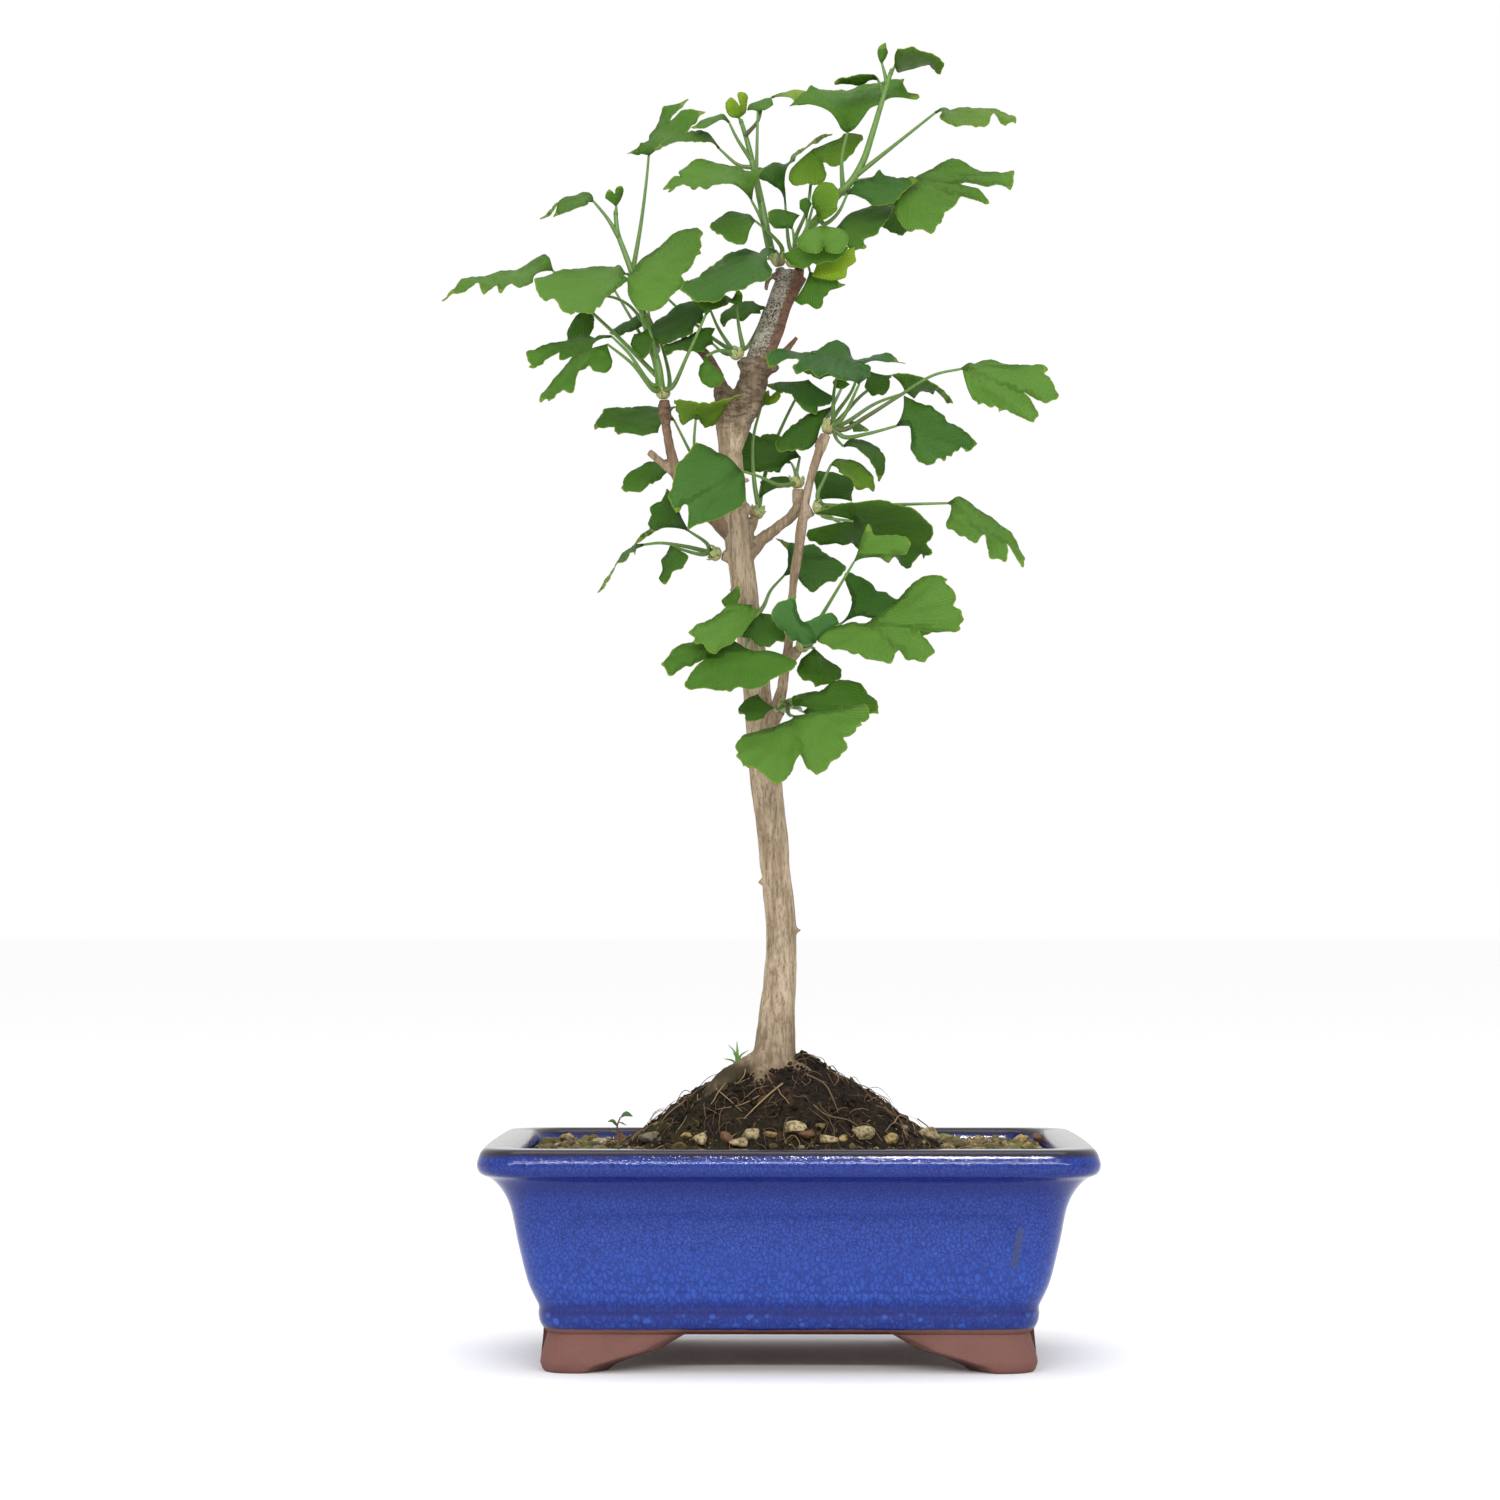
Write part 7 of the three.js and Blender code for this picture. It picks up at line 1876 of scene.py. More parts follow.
    "cross_left": Spray("3.8 292 -2, 3.3 297 -2", "", """
COOL -3 298.3 -12, -10 301.3 -19, -16.8 303.4 -24 > -19 305.6, -22 308 | -24.6 309.6 3, -27.5 311.4,
-29.5 312.4, -31.5 313.4 0, -33 311.8, -34.6 309.4, -36.5 307.5 -6, -38.4 305.8, -39.2 303, -39.6 300 -9,
-40.3 297.4, -41.4 295.3 -11, -41.3 293.4, -40.4 291.5, -38.7 288.9 -13, -37.2 289.6, -36.7 291,
-35.7 291.8 -11, -34.9 291.4, -34.6 289.2, -34.4 286.8, -34.8 284.8, -34.6 283.1 -14, -33 283.7,
-31.6 284.6, -30 284.7, -29 285.3, -27.5 285.8 -14, -25 286.5, -22.4 287.5, -20 288.7 -12, -18 290,
-15.8 291.6, -14.9 293 -9, -14.7 295.6, -14.9 298.4 -4 | -15.4 301;
DARK 3 303 5, 4 308 12 > 3 313.5 3, -5 316 4, -12 315.5 4, -16 318.3 3, -17 311 2, -16 303 0, -9 303 -1,
-3 302.7 -2;
MID 3 300 5, 2 304 22, 1 306 34 > -1 313 6, -8 314 11, -14 310 12, -13 304.5 8, -6 303 1;
"""),
    "cross_right": Spray("5 288 -5, 8.5 289.5 -6", "", """
DARK 12 287.5 -14, 22.5 285.7 -20 > 6.8 282.5 15, 6.1 280.6, 7.3 279.2, 9.6 278.9, 11 277.6 18, 14.5 277.7,
16.5 278, 18.4 277.4 20, 20.4 278, 21.6 278.5, 22.7 278, 23.6 276.6, 25 274.8 22, 28 273.6, 31.5 273.3,
33.2 272.3, 34.5 271.5 22, 35.6 272.6, 36.7 273.5 20, 37.9 271.9, 39 270.3, 40.6 269.5 18, 42.1 270,
43 271.4, 44.3 273, 45.6 274.4 14, 46.1 274, 46.5 272.5, 47.2 273.8, 48.2 273.8, 49.6 274.8 11, 49.6 276,
48.5 276.7, 47.7 278.1 9, 49.1 279.3, 49.8 281.2, 49.9 283.4 5, 48.5 285.4, 46.2 287.5, 43.5 289.6 -3,
40 291.2, 37 291.9, 34 292.7 -7, 30 292.9, 25 292.7 -8, 19 291.8 -5, 13 290.3 -2, 8 288.4 0;
DARK 9 291.5 2, 9.5 293 7 > 7.3 302.8 3, 11 303 5, 16.5 302.6 8, 22.8 299.8 9, 22 295.5 7, 22 292.7 5;
PALE 20 291 -13, 40 291.6 -17, 55.2 292 -19 > 55.7 290.2 | 55.5 287.7 -2, 54.9 286.3, 54.3 285 -4,
54.6 283.8, 55.4 283, 56.6 283.1, 57.6 282, 58.4 280.8, 59.1 280.4 -6, 60.5 280.4, 62.2 279.4, 63.3 279,
64.2 278.2 -7, 65.2 278.5, 65.8 279.8, 66.6 280.7, 67.5 281 -7, 68.1 278.8, 68.8 276.4, 69.2 274,
69.5 272.8 -6, 70.4 272.4, 71.6 272.7, 73 272.3, 74 271.6, 74.9 271.8 -5, 75.5 272.9, 75.6 274, 76 275.2,
75.6 276.4, 75.1 278 -3, 77 275.4, 79 272.6, 80.8 269.5 -1, 81.1 271.2, 81.4 272.8 1, 80.2 275.2, 79 277.8,
78 279.6, 77 281, 76.6 282.1 3, 74 284, 71 286.1, 68 288.2 5, 65 290.4, 62.5 292.2, 60.4 293.3 5 |
57.5 293.4;
FRESH 10 294.5 -8, 12 299.5 -8, 14.8 305.5 -8 > 16 306.9 | 18 307.5 4, 20.5 307.1, 23 306.5 5, 25.6 305.3,
27.6 303.4 4, 29.1 301.2, 29.8 298.5 1, 29.7 296 0, 28.4 296.5, 27 297.4 -3, 25.6 296.8, 24.2 296.6,
23.1 297.4 -5, 22 300 -5, 17.5 303 -5;
MID 12 289 4, 18 285 22, 20 284 36 > 22 289.5 8, 32 289.5 15, 42 285 18, 45 280 14, 38 276.5 7, 28 279 1;
"""),
    "trunk_right": Spray("-14.5 281 2, -11.8 286.8 5", "", """
DARK -10.5 292 8, -10.2 293.8 9.5 > -9.8 299.3 2, -5 301.2 3, 1 300.9 4, 4.6 299.6 3, 2.5 297.9 0,
-4 297.4 -2;
YOUNG -11.8 300 7, -12 315 8, -9.4 325.5 8 > -8.5 330.3 0, -6.8 331.2 1, -6.2 329 -1, -3.7 331 -2,
-2.5 329.3 -3, -4.2 327 -3, -7 326 -2;
COOL -8.5 300 16, -5 312 20, 3 329 12, 7 334.6 5 > -3 334.2 2, -7.6 333 0, -2.8 330.3 -4, 0.5 330 -5,
3.5 326.5 -7, 6 323.8 -7, 9.5 322.7 -7, 10.6 325.5 -6, 14 326 -5, 15.8 329 -2;
"""),
    "trunk_left": Spray("-19 273 -1, -23 274 -2", "", """
DARK -28 278 0, -34.5 282.6 2 > -35.6 284.4, -36.9 287 | -37.5 289 3, -39.5 294, -41.8 297.4 4, -42.6 295.4,
-43.3 293.8, -44 292.5 2, -45.2 292.3, -46.4 291.6, -47.8 290.6 1, -47.7 289.2, -47.2 287.9 -1, -47.9 286.3,
-48.5 285 -3, -47.7 283.3, -49.2 282.2, -50.6 281.6, -51.7 280, -53.3 277.2 -6, -51 278.9, -49.4 280.2,
-47 281.7 -8, -44.4 283, -42 283.6 -8 | -38.5 283.2;
MID -35 277 -6, -44 278.3 -5, -50 277.7 -3 > -52.5 277.6 | -54.3 276.9 4, -55.7 276.1, -57 274.8 4,
-58.2 272.8, -60 270.4, -61.5 267.9 3, -63.5 264.6, -65.9 261.3 0, -63.7 262.3 -3, -62.4 264.6, -60.8 268,
-59.6 270 -4, -58.7 271.2, -57.3 271.4, -56 272.4 -5, -54.6 274.9, -53.3 275.3 -5, -52.7 274.1,
-52.4 276 -4;
DARK -30 274.3 -9, -36 275.8 -12, -40.5 277.4 -13 > -41 275.9 | -42 274.2 3, -43.9 272.2 2, -43.6 270.6,
-43.4 269.3 0, -43.7 267.8, -44.6 265.8 -1, -43.8 264.7, -42.6 263.9 -3, -41.8 265, -40.7 266.2,
-39.9 268.3 -5, -38.4 269, -36.5 269.6 -7, -35.8 271, -34.2 273.5 -6, -35.4 274.7 -5 | -38 276;
"""),
    "twig_low": Spray("0.5 238.5 -5, 3.5 241.5 -8", "", """
PALE 12 254 -15, 22.5 271.5 -24 > 23.6 274 | 25.2 279.6 -2, 26.4 283, 27.6 285.1 -3, 28.5 283.6,
29.4 281.1 -3, 31.6 280.8, 34 280.9 -4, 37 281, 39.5 280.6 -5, 41.4 279.6, 42.3 278 -6, 41.5 276.2,
40.5 274.2 -6, 38.4 274.2, 36.1 273.8 -5, 35.3 272.5, 34.3 271.8 -5, 33 272.4, 31.6 273.4 -4 | 28 273.2,
25 272.7;
PALE 12 246.5 -14, 20 249.6 -20, 27 250.2 -24 > 25.4 249.2, 23 250 | 19 249.9 0, 15 249.8, 12.6 249.4,
10.6 248.2, 9.7 246 -2, 10.2 243.9, 13 243.4, 14.3 242.2, 15.4 241.3 -8, 18 241.3, 20.4 240.8, 22 240.1 -10,
24 240.1, 25.3 239.2, 26.6 238.1, 29 237.6 -13, 32 237.4, 35.4 236.8 -14, 36.2 238.4, 37 240, 38 241.1 -10,
39.2 239.9, 40 238.4, 41 237.9 -13, 42.6 238.2, 44.6 237.5, 46.9 236.7 -12, 47.7 238.1, 49 239.3,
50.4 240.7 -9, 49.5 242.7, 48 244.4, 46.3 245.8, 45.4 246.8, 45 248.1 -5, 49 247.6, 54 247.3, 57.8 247.5 -3,
59.4 248.6, 58.7 249.8, 60.4 251.6 0, 59.9 253, 59.5 254.6, 58.2 255.4, 56.9 256.5 1, 57.5 258.4,
57.7 259.9 3, 57 261.8, 55.4 263.1, 53.9 264.6, 54.9 265.5 5, 53.6 266.3, 52.2 267.1, 50 267.5 6, 48 266.9,
46.4 266.5, 45.4 265.8, 43.2 264.4 7, 41 262.6, 39.4 260.8, 38.2 259.2 6;
COOL 10 246 -9, 18.5 250.6 -8 > 20.3 252.3, 21.4 255 | 21.9 257.6 3, 21.6 259.8 6, 20.6 262.4, 19.4 265,
19.6 268 9, 21 268.4, 23 267.2, 25.4 266.1, 28.5 264.3 9, 30 262.6, 31 261.6 8, 32.6 261.3, 34 260.8 7,
35.2 259.7, 36.5 258.9, 38 258.8 5, 40 254 1, 33 251.8 0, 27.6 252.3 0 | 24.5 252.5, 21 251.4;
BLUISH 6 243 -18, 9.3 244 -28 > 5 243.1 | 2.6 244.6 -1, 1 244.2 -2, 0 245.5, -1.2 247.3 -3, -3.4 249 -4,
-4.9 250.8, -6 253.5 -5, -5 256, -3.5 257.7 -3, -1 258.7, 2.6 260.2 -1, 2.7 257.4, 3.2 254.4 -2, 4.1 252.2,
5.3 250.9 -3, 8 251.9, 11 253.3 -1, 13 254, 15 254.1 1, 16.4 253.1, 17.5 250.4 2;
MID 7 242.5 -5, 9 241.8 -3 > 10.4 240.3 | 12.6 238.5 4, 15 236.9, 18.3 234.4 3, 18 231.7 0, 16 230.4,
14 229.5 -2, 11.6 229.4, 9.2 228.5 -4, 8.7 229.8, 7.8 230.4 -4, 5.3 230.8 -4, 4.1 232.3, 2.8 233.8 -3,
3.4 236, 4.3 238.1 0 | 6.5 239.8;
MID 5 244.5 -4, 18 249 18, 27 250 32 > 30 260 6, 39 258 14, 49 256 19, 54 250 16, 44 245 10, 34 243 2;
"""),
    "trunk_low_left": Spray("-13 249 -3, -12.5 250.5 -8", "", """
COOL -8.5 256.5 -5, -6 262 3, -1.5 267 7 > -0.5 268.8 | -0.2 270.5 2, -0.2 275.5 4, -4.3 280.2 6, 0 278.3 8,
5 277.6, 9 277.7 9, 10.4 276.5, 12 275.2, 14.2 273.9 6, 17 272.1, 20 270 2, 19 268, 17.4 266.2 -2, 16 264.9,
13.2 265 -3, 11.6 263.6, 10 262, 8.5 261.1 -5, 7 262, 5.4 263.6, 4 265.1 -5;
DARK -10 252 -15, -9.5 253.8 -21 > -12 251.6 | -14 250 -4, -15.6 247.8, -17.6 246.2 -5, -15.4 245.4,
-13 245.1 -6, -11.6 243.6, -9.4 242.3 -7, -8 242.5, -6.4 242.2 -7, -5.4 243.2, -4 244.3 -6, -1.3 244.2 -4,
-1.2 247, -2 249.5 -1 | -5 253;
PALE -13.5 254 -19, -12.5 256.5 -27 > -15 256.5, -17 256.7 | -19 257.3 0, -21.4 256.2, -23.6 254.2,
-26 252.6 -3, -29 250.9, -31.8 249.9, -33 248.5, -34.5 247.4 -6, -33.4 246.4, -32.3 245.6, -32.7 244 -8,
-31.4 243.2, -29.3 243.4 -9, -28.4 241.5, -27.2 240.5, -25.2 240 -11, -24.3 241, -23 242 -10, -21.4 242.5,
-19 243.7 -10, -17.8 245.3, -16 246.4 -9, -14.8 248.2, -13.5 250, -12 251.8 -5, -10.9 253.3, -10.2 255.2 -2;
MID -15.5 252.5 -12, -18 255.5 -17 > -22 256.3 3, -23.1 258.2 4, -20 261 4, -17.2 263.6 3, -16.5 260 0;
MID -13 246.5 -20, -15 241.7 -32 > -18 243.2 | -20 245.2 5, -27 245, -33 244.4 4, -36 243.4, -38.4 242.3,
-40 241.3 0, -41 239.8, -42.4 238.1, -43.8 236.5 -3, -42.9 235.3, -42 233.8, -41 232.5 -6, -39.7 232.7,
-38.4 233.9, -37 234.9, -35.4 235.7 -6, -33.6 235.4, -32 236.6, -29 238.2 -4, -31 236.6, -32.7 234.6,
-34 232.3, -35.6 230.3, -35.7 229 -9, -34.8 228.2, -33.4 227.7 -10, -31 227.9, -29 228, -26 227.6 -11,
-23.4 227.6, -21.4 227.3, -20 226.9 -12, -18.6 227.7, -17 228.5, -15 227.9, -13 227.9 -11, -10 228.5,
-8 229, -6.8 230 -10, -4.6 231.8, -1 233.5, 2 235 -6, 3 236.7 -4, 1.2 238.4, -2 239.8 -1 | -7 240.3,
-11.5 240.2;
"""),
    "trunk_low_right": Spray("-5 217 -4, -2.5 220.5 -7", "", """
DARK -4 220.5 -15, -5 221.3 -24 > -10.5 226 3, -15 224 3, -17.3 221 2, -17 219.3 1, -15 219 0,
-14.5 216.6 -2, -8.5 217.8 -3;
PALE 0 219.5 -17, 2 218.4 -30 > 1.2 216.6, -1 215.5 | -5 214.6 0, -9 213.7, -14 212.6 -3, -16 211.3,
-18.3 208.5 -7, -17.9 207, -17.3 205.9, -18 204.6 -10, -17 203.5, -16 202.6, -15.5 201.2, -14.7 201.7,
-14 200.9, -12.6 201.1 -13, -10.4 199.7, -8.2 198.1 -16, -6 196.5, -4 194.8 -18, -2.4 195.3, -0.9 196.7,
0.6 198.8 -16, 1.8 201.2, 2.9 203.6, 4 205.4 -12, 5 203.7, 5.7 201.7, 6.7 200.1 -15, 8 199.4, 9.8 198.4 -16,
11 199.2, 13.2 200.2, 13.8 201.5, 14.8 202.6 -15, 16.6 203.6, 17.9 204.9, 18.3 206, 20.4 207.3 -12,
19.9 209.1, 18.9 210.9 -10, 20.4 211.6, 22.2 212.7, 23.4 213.6, 23.3 214.5, 25.3 215.1 -8, 25 216.3,
26.6 216.8, 27.5 217.8, 28 220 -3, 27.2 221.6, 26.4 222.6 -1, 19 221.6 1;
MID 1 223.3 -15, 1.5 222.3 -21 > 1 224 | 2.6 225.5 4, 4.5 226.4, 7 226.8, 9.4 227.1 7, 11 226.6 7,
12.5 227.9, 13.6 229.3, 14.6 230.6 9, 18 231.1, 20 230.9 10, 22.5 230.2, 24.8 229.7 9, 26 228.3, 27.5 226.4,
29 224.9, 30.6 223.7, 30.5 222.6, 31 221.4 5, 30.7 220.4, 31 219.3 3, 28.5 219.7, 24 218 0, 14 216.5 -1;
MID 2.8 221.5 -6, 4 220.5 14, 5 220 32 > 7 226 6, 16 228.5 12, 24 226 16, 25 219 14, 17 212 9, 8 212 3;
"""),
}


class Tint(Enum):
    """The pebbles' colours."""

    CREAM = (0.46, 0.375, 0.21)
    YELLOW = (0.4, 0.29, 0.1)
    RED_BROWN = (0.16, 0.07, 0.045)
    GREY = (0.19, 0.175, 0.14)
    GREEN = (0.2, 0.2, 0.07)
    DARK = (0.06, 0.042, 0.026)


# Pebbles read one by one: "x height half-width half-height", and a colour
FRONT_STONES = (
    ("2.2 77.6 4.8 3.0", Tint.CREAM), ("6.0 75 3.4 2.6", Tint.RED_BROWN),
    ("25.2 75.2 5.2 3.2", Tint.CREAM), ("-30 73.6 3.8 2.6", Tint.CREAM),
    ("-47.5 73.8 4.2 2.8", Tint.GREY), ("-13.2 75 3.8 2.8", Tint.CREAM),
    ("47.2 74.8 4.2 3.0", Tint.CREAM), ("53.7 76 4.0 3.0", Tint.GREEN),
    ("79.5 73.2 3.6 2.6", Tint.YELLOW), ("85.6 74 3.6 2.8", Tint.RED_BROWN),
    ("-64.4 72.4 3.2 2.2", Tint.CREAM), ("-76 73.8 3.6 2.6", Tint.CREAM),
    ("12.9 73.2 3.2 2.2", Tint.CREAM), ("35.0 73.4 3.4 2.4", Tint.YELLOW),
    ("66.0 74 3.2 2.4", Tint.CREAM), ("-21.0 74.2 3.0 2.2", Tint.RED_BROWN),
    ("-6.4 75.2 2.6 1.7", Tint.YELLOW), ("-16.8 72.4 3.9 2.1", Tint.CREAM),
    ("10.7 77.9 2.2 1.6", Tint.YELLOW), ("18.4 73.8 2.2 1.8", Tint.YELLOW),
    ("39.8 77.2 2.0 1.5", Tint.GREY), ("-34.5 74.6 2.3 1.6", Tint.YELLOW),
)

# Roots read one by one on the mound: their route, thickness and how light they are
ROOT_FIBRES = (
    ("-2 92.6, -6 89.4, -11 84.8, -15.4 80.4", 0.5, 1.0),
    ("-26.4 91.8, -22 88.4, -16 83", 0.34, 0.9),
    ("26 90.6, 31 91, 34 88.4, 36 85.2", 0.2, 0.8),
    ("27 86.5, 31 87.8, 35 85.4, 39 81.4", 0.2, 0.7),
    ("36 79, 38.5 81.6, 42 79.4, 43.5 75.2", 0.42, 0.75),
    ("33 76, 36.5 79.2, 41 76.4", 0.35, 0.5),
    ("6 95.8, 12 92.6, 15 87.8, 17 82.4", 0.5, 0.35),
    ("-22 95.4, -31 90.2, -38 84.4", 0.55, 0.2),
    ("-35 87, -41 82.4, -45 77.2", 0.35, 0.6),
    ("8 85.6, 13 81.8, 21 79.8, 26 76.2", 0.4, 0.45),
    ("-10 88.4, -16 85.4, -25 83.6", 0.3, 0.8),
    ("16 96, 23 92.8, 29 87.4", 0.45, 0.25),
    ("-45 79.5, -49 77, -52 73", 0.3, 0.5),
    ("44 80.6, 48 77.5, 50 73", 0.4, 0.4),
)


@dataclass(frozen=True)
class Scatter:
    """One size of scattered pebbles."""

    count: int
    least: float
    most: float
    detail: int


@dataclass
class Ground:
    """The soil and its mound, the pebbles round it, and the fine roots on it."""

    soil_top: float = 64.0
    bed_top: float = 70.3
    mound_half: tuple[float, float] = (56.0, 42.0)
    mound_centre: tuple[float, float] = (-2.5, 1.0)
    mound: str = "0 100.4, 0.15 98.6, 0.32 95.4, 0.47 91.6, 0.62 86.3, 0.77 80, 0.89 74.5, 1 70.5, 1.1 69"
    wall: str = "21 74.2, 30 79, 48 83.6, 66 87.8, 74 89.4"
    clod: tuple[float, float, float, float] = (6.5, -1.0, 7.5, 4.2)
    depth_less: float = 25.5
    sight: tuple[float, float, float] = (-62.0, 50.0, 0.5)
    soil_levels: tuple[float, ...] = (64, 48, 30, 23)
    crumb_count: int = 2600
    coarse: Scatter = Scatter(210, 1.7, 3.3, 3)
    medium: Scatter = Scatter(700, 0.9, 1.7, 2)
    fine: Scatter = Scatter(1700, 0.45, 0.9, 1)
    tries: int = 14
    tint_shares: tuple[int, ...] = (6, 6, 3, 2, 3, 6)
    stone_seat: float = 0.25
    root_seat: float = 1.4
    fibre_count: int = 680
    fibre_step: float = 1.2
    seed: int = 11

    def share(self, x: np.ndarray, y: np.ndarray) -> np.ndarray:
        """How far out on the mound a place lies: 0 at its top, 1 at its foot."""
        return np.hypot((x - self.mound_centre[0]) / self.mound_half[0],
                        (y - self.mound_centre[1]) / self.mound_half[1])

    def height(self, x: np.ndarray, y: np.ndarray) -> np.ndarray:
        """Gives the height of the mound, or of the pebble bed round it, without its roughness.

        Args:
            x: places across.
            y: places back.

        Returns:
            The height at each place.
        """
        clod_x, clod_y, wide, tall = self.clod
        clod = tall * np.exp(-(((x - clod_x) / wide) ** 2) - ((y - clod_y) / wide) ** 2)
        return np.maximum(np.interp(self.share(x, y), *rows(self.mound).T) + clod, self.bed_top)

    def level(self, x: float, y: float) -> float:
        """The height at one place."""
        return float(self.height(np.array([x]), np.array([y]))[0])

    def wall_half(self, height: float) -> float:
        """The inner wall's half width at a height."""
        return float(np.interp(height, *rows(self.wall).T))

    def meet(self, places: np.ndarray, above: float) -> np.ndarray:
        """Moves places along their sight lines until they lie on the ground.

        Args:
            places: rows of x and z, as the viewer sees them.
            above: how high over the ground they end.

        Returns:
            Rows of x, y and z; one whose line misses the ground ends where it comes nearest.
        """
        found = []
        depth = np.arange(*self.sight)
        for x, z in places:
            line = seen(np.column_stack([np.full(len(depth), x), np.full(len(depth), z), depth]))
            over = line[:, 2] - self.height(line[:, 0], line[:, 1]) - above
            found.append(line[np.argmax(over <= max(over.min(), 0))])
        return np.array(found)

    def loop(self, half: float, turn: np.ndarray) -> np.ndarray:
        """Gives flat places round the pot's inside.

        Args:
            half: the half width there.
            turn: the angles at which they stand.

        Returns:
            Rows of x and y.
        """
        deep = half - self.depth_less
        power = 14.0
        cos, sin = np.cos(turn) / half, np.sin(turn) / deep
        reach = (np.abs(cos) ** power + np.abs(sin) ** power) ** (-1 / power)
        return np.column_stack([reach * np.cos(turn), reach * np.sin(turn)])

    def sheet(
        self, rings: int, around: int, first: float, roughness: Callable[[np.ndarray], np.ndarray]
    ) -> tuple[np.ndarray, np.ndarray]:
        """Spreads a rough surface from the mound's middle to the wall.

        Args:
            rings: how many rings it has.
            around: points in each.
            first: the share of the mound at which it starts.
            roughness: gives the extra height of points.

        Returns:
            Its points, ring by ring, and each one's share of the mound.
        """
        turn = 2 * np.pi * np.arange(around) / around
        middle = np.array(self.mound_centre)
        wall = self.loop(self.wall_half(self.bed_top) - 0.4, turn)
        foot = middle + np.column_stack([np.cos(turn), np.sin(turn)]) * self.mound_half
        on_mound = round(rings * 0.65)
        steps = np.concatenate([np.linspace(first, 1, on_mound, endpoint=False),
                                1 + np.linspace(0, 1, rings - on_mound)])
        parts = []
        for step in steps:
            flat = middle + step * (foot - middle) if step < 1 else foot + (step - 1) * (wall - foot)
            parts.append(np.column_stack([flat, self.height(flat[:, 0], flat[:, 1])]))
        points = np.vstack(parts)
        points[:, 2] += roughness(points)
        return points, self.share(points[:, 0], points[:, 1])

    def on_mound(self, share: float, turn: float) -> tuple[float, float]:
        """The place that lies a share of the way out on the mound, at an angle."""
        return (self.mound_centre[0] + self.mound_half[0] * share * math.cos(turn),
                self.mound_centre[1] + self.mound_half[1] * share * math.sin(turn))

    def rough_mound(self, points: np.ndarray) -> np.ndarray:
        """Clods and crumbs of the mound, in millimetres of height."""
        return (1.7 * rough(points, 8.0) + 1.5 * rough(points, 3.3, 5.0) + 0.9 * rough(points, 1.6, 9.0)
                - 0.9 * smooth(self.share(points[:, 0], points[:, 1]), 0.5, 0))

    def soil(self) -> bpy.types.Object:
        """Makes the soil body: the mound above, the pot's inside below.

        Returns:
            The soil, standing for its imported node.
        """
        around = 320
        top, share = self.sheet(150, around, 0.004, self.rough_mound)
        turn = 2 * np.pi * np.arange(around) / around
        top[share > 1.02, 2] = np.minimum(top[share > 1.02, 2], self.bed_top - 0.5)
        below = [np.column_stack([self.loop(self.wall_half(z) - GAP - 0.5, turn), np.full(around, z)])
                 for z in self.soil_levels]
        points = np.vstack([top, *below, [[*self.mound_centre, 100.4]], [[0, 0, self.soil_levels[-1]]]])
        ring_count = (len(top) // around) + len(below)
        last = (ring_count - 1) * around
        left = smooth(points[:, 0], 5, -30) * 0.7 + 0.2
        moss = np.clip(left * smooth(self.share(points[:, 0], points[:, 1]), 0.4, 1.0), 0, 1)
        draft = Draft()
        faces = [grid(ring_count, around), cap(0, around, ring_count * around, True),
                 cap(last, around, ring_count * around + 1, False)]
        draft.add(points, [group[:, ::-1] for group in faces], moss=moss)
        return draft.piece("soil_mound", SoilFinish(), "soil", ["soil"])

    def crumbs(self) -> bpy.types.Object:
        """Makes the loose crumbs and clods that lie on the mound.

        Returns:
            The crumbs.
        """
        chance = random.Random(self.seed)
        draft = Draft()
        for _ in range(self.crumb_count):
            x, y = self.on_mound(math.sqrt(chance.uniform(0.01, 1.25)), chance.uniform(0, math.tau))
            size = 0.35 + 1.2 * chance.random() ** 3
            centre = (x, y, self.level(x, y) + 0.2 * size)
            shape = (size, size * chance.uniform(0.7, 1), size * 0.8)
            points, faces = lump(centre, shape, 1, 0.28, chance)
            draft.add(points, faces, moss=chance.random() ** 3 * (0.8 if x < 0 else 0.3))
        return draft.piece("crumbs", SoilFinish(), "soil")

    def bed(self) -> bpy.types.Object:
        """Makes the mossy bed that the pebbles lie in.

        Returns:
            The bed, standing for the packed gravel.
        """
        around = 260
        top, _ = self.sheet(90, around, 0.82, lambda points: (
            1.5 * rough(points, 7.0, 3.0) + 0.8 * rough(points, 2.2, 8.0) - 0.8
            + 0.9 * smooth(self.share(points[:, 0], points[:, 1]), 1.0, 0.82) - 0.9))
        rings = len(top) // around
        under = top.copy()
        under[:, 2] = self.soil_top + 1
        points = np.vstack([top, under[-around:], under[:around]])
        draft = Draft()
        draft.add(points, [faces[:, ::-1] for faces in closed_grid(rings + 2, around)], moss=1.0)
        return draft.piece("pebble_bed", SoilFinish(), "gravel", ["gravel"])

    def pebbles(self) -> None:
        """Makes the pebbles: those read from their places in front, then a scatter of sizes."""
        chance = random.Random(self.seed + 1)
        taken: list[tuple[float, float, float]] = []
        large, small = Draft(), Draft()
        for text, tint in FRONT_STONES:
            x, z, wide, tall = (float(word) for word in text.split())
            seat = self.stone_seat * tall
            x, y, z = self.meet(np.array([[x, z]]), seat)[0]
            centre = (x, y, min(z, self.level(x, y) + seat))
            points, faces = lump(centre, (wide * 1.1, wide * 0.9, tall * 0.85), 3, 0.42, chance)
            large.add(points, faces, tint=tint.value, moss=chance.uniform(0, 0.3))
            taken.append((x, y, wide * 0.8))
        for kind, draft in ((self.coarse, large), (self.medium, small), (self.fine, small)):
            self.scatter(kind, draft, taken, chance)
        large.piece("pebbles_large", PebbleFinish(), "gravel")
        small.piece("pebbles_small", PebbleFinish(), "gravel")

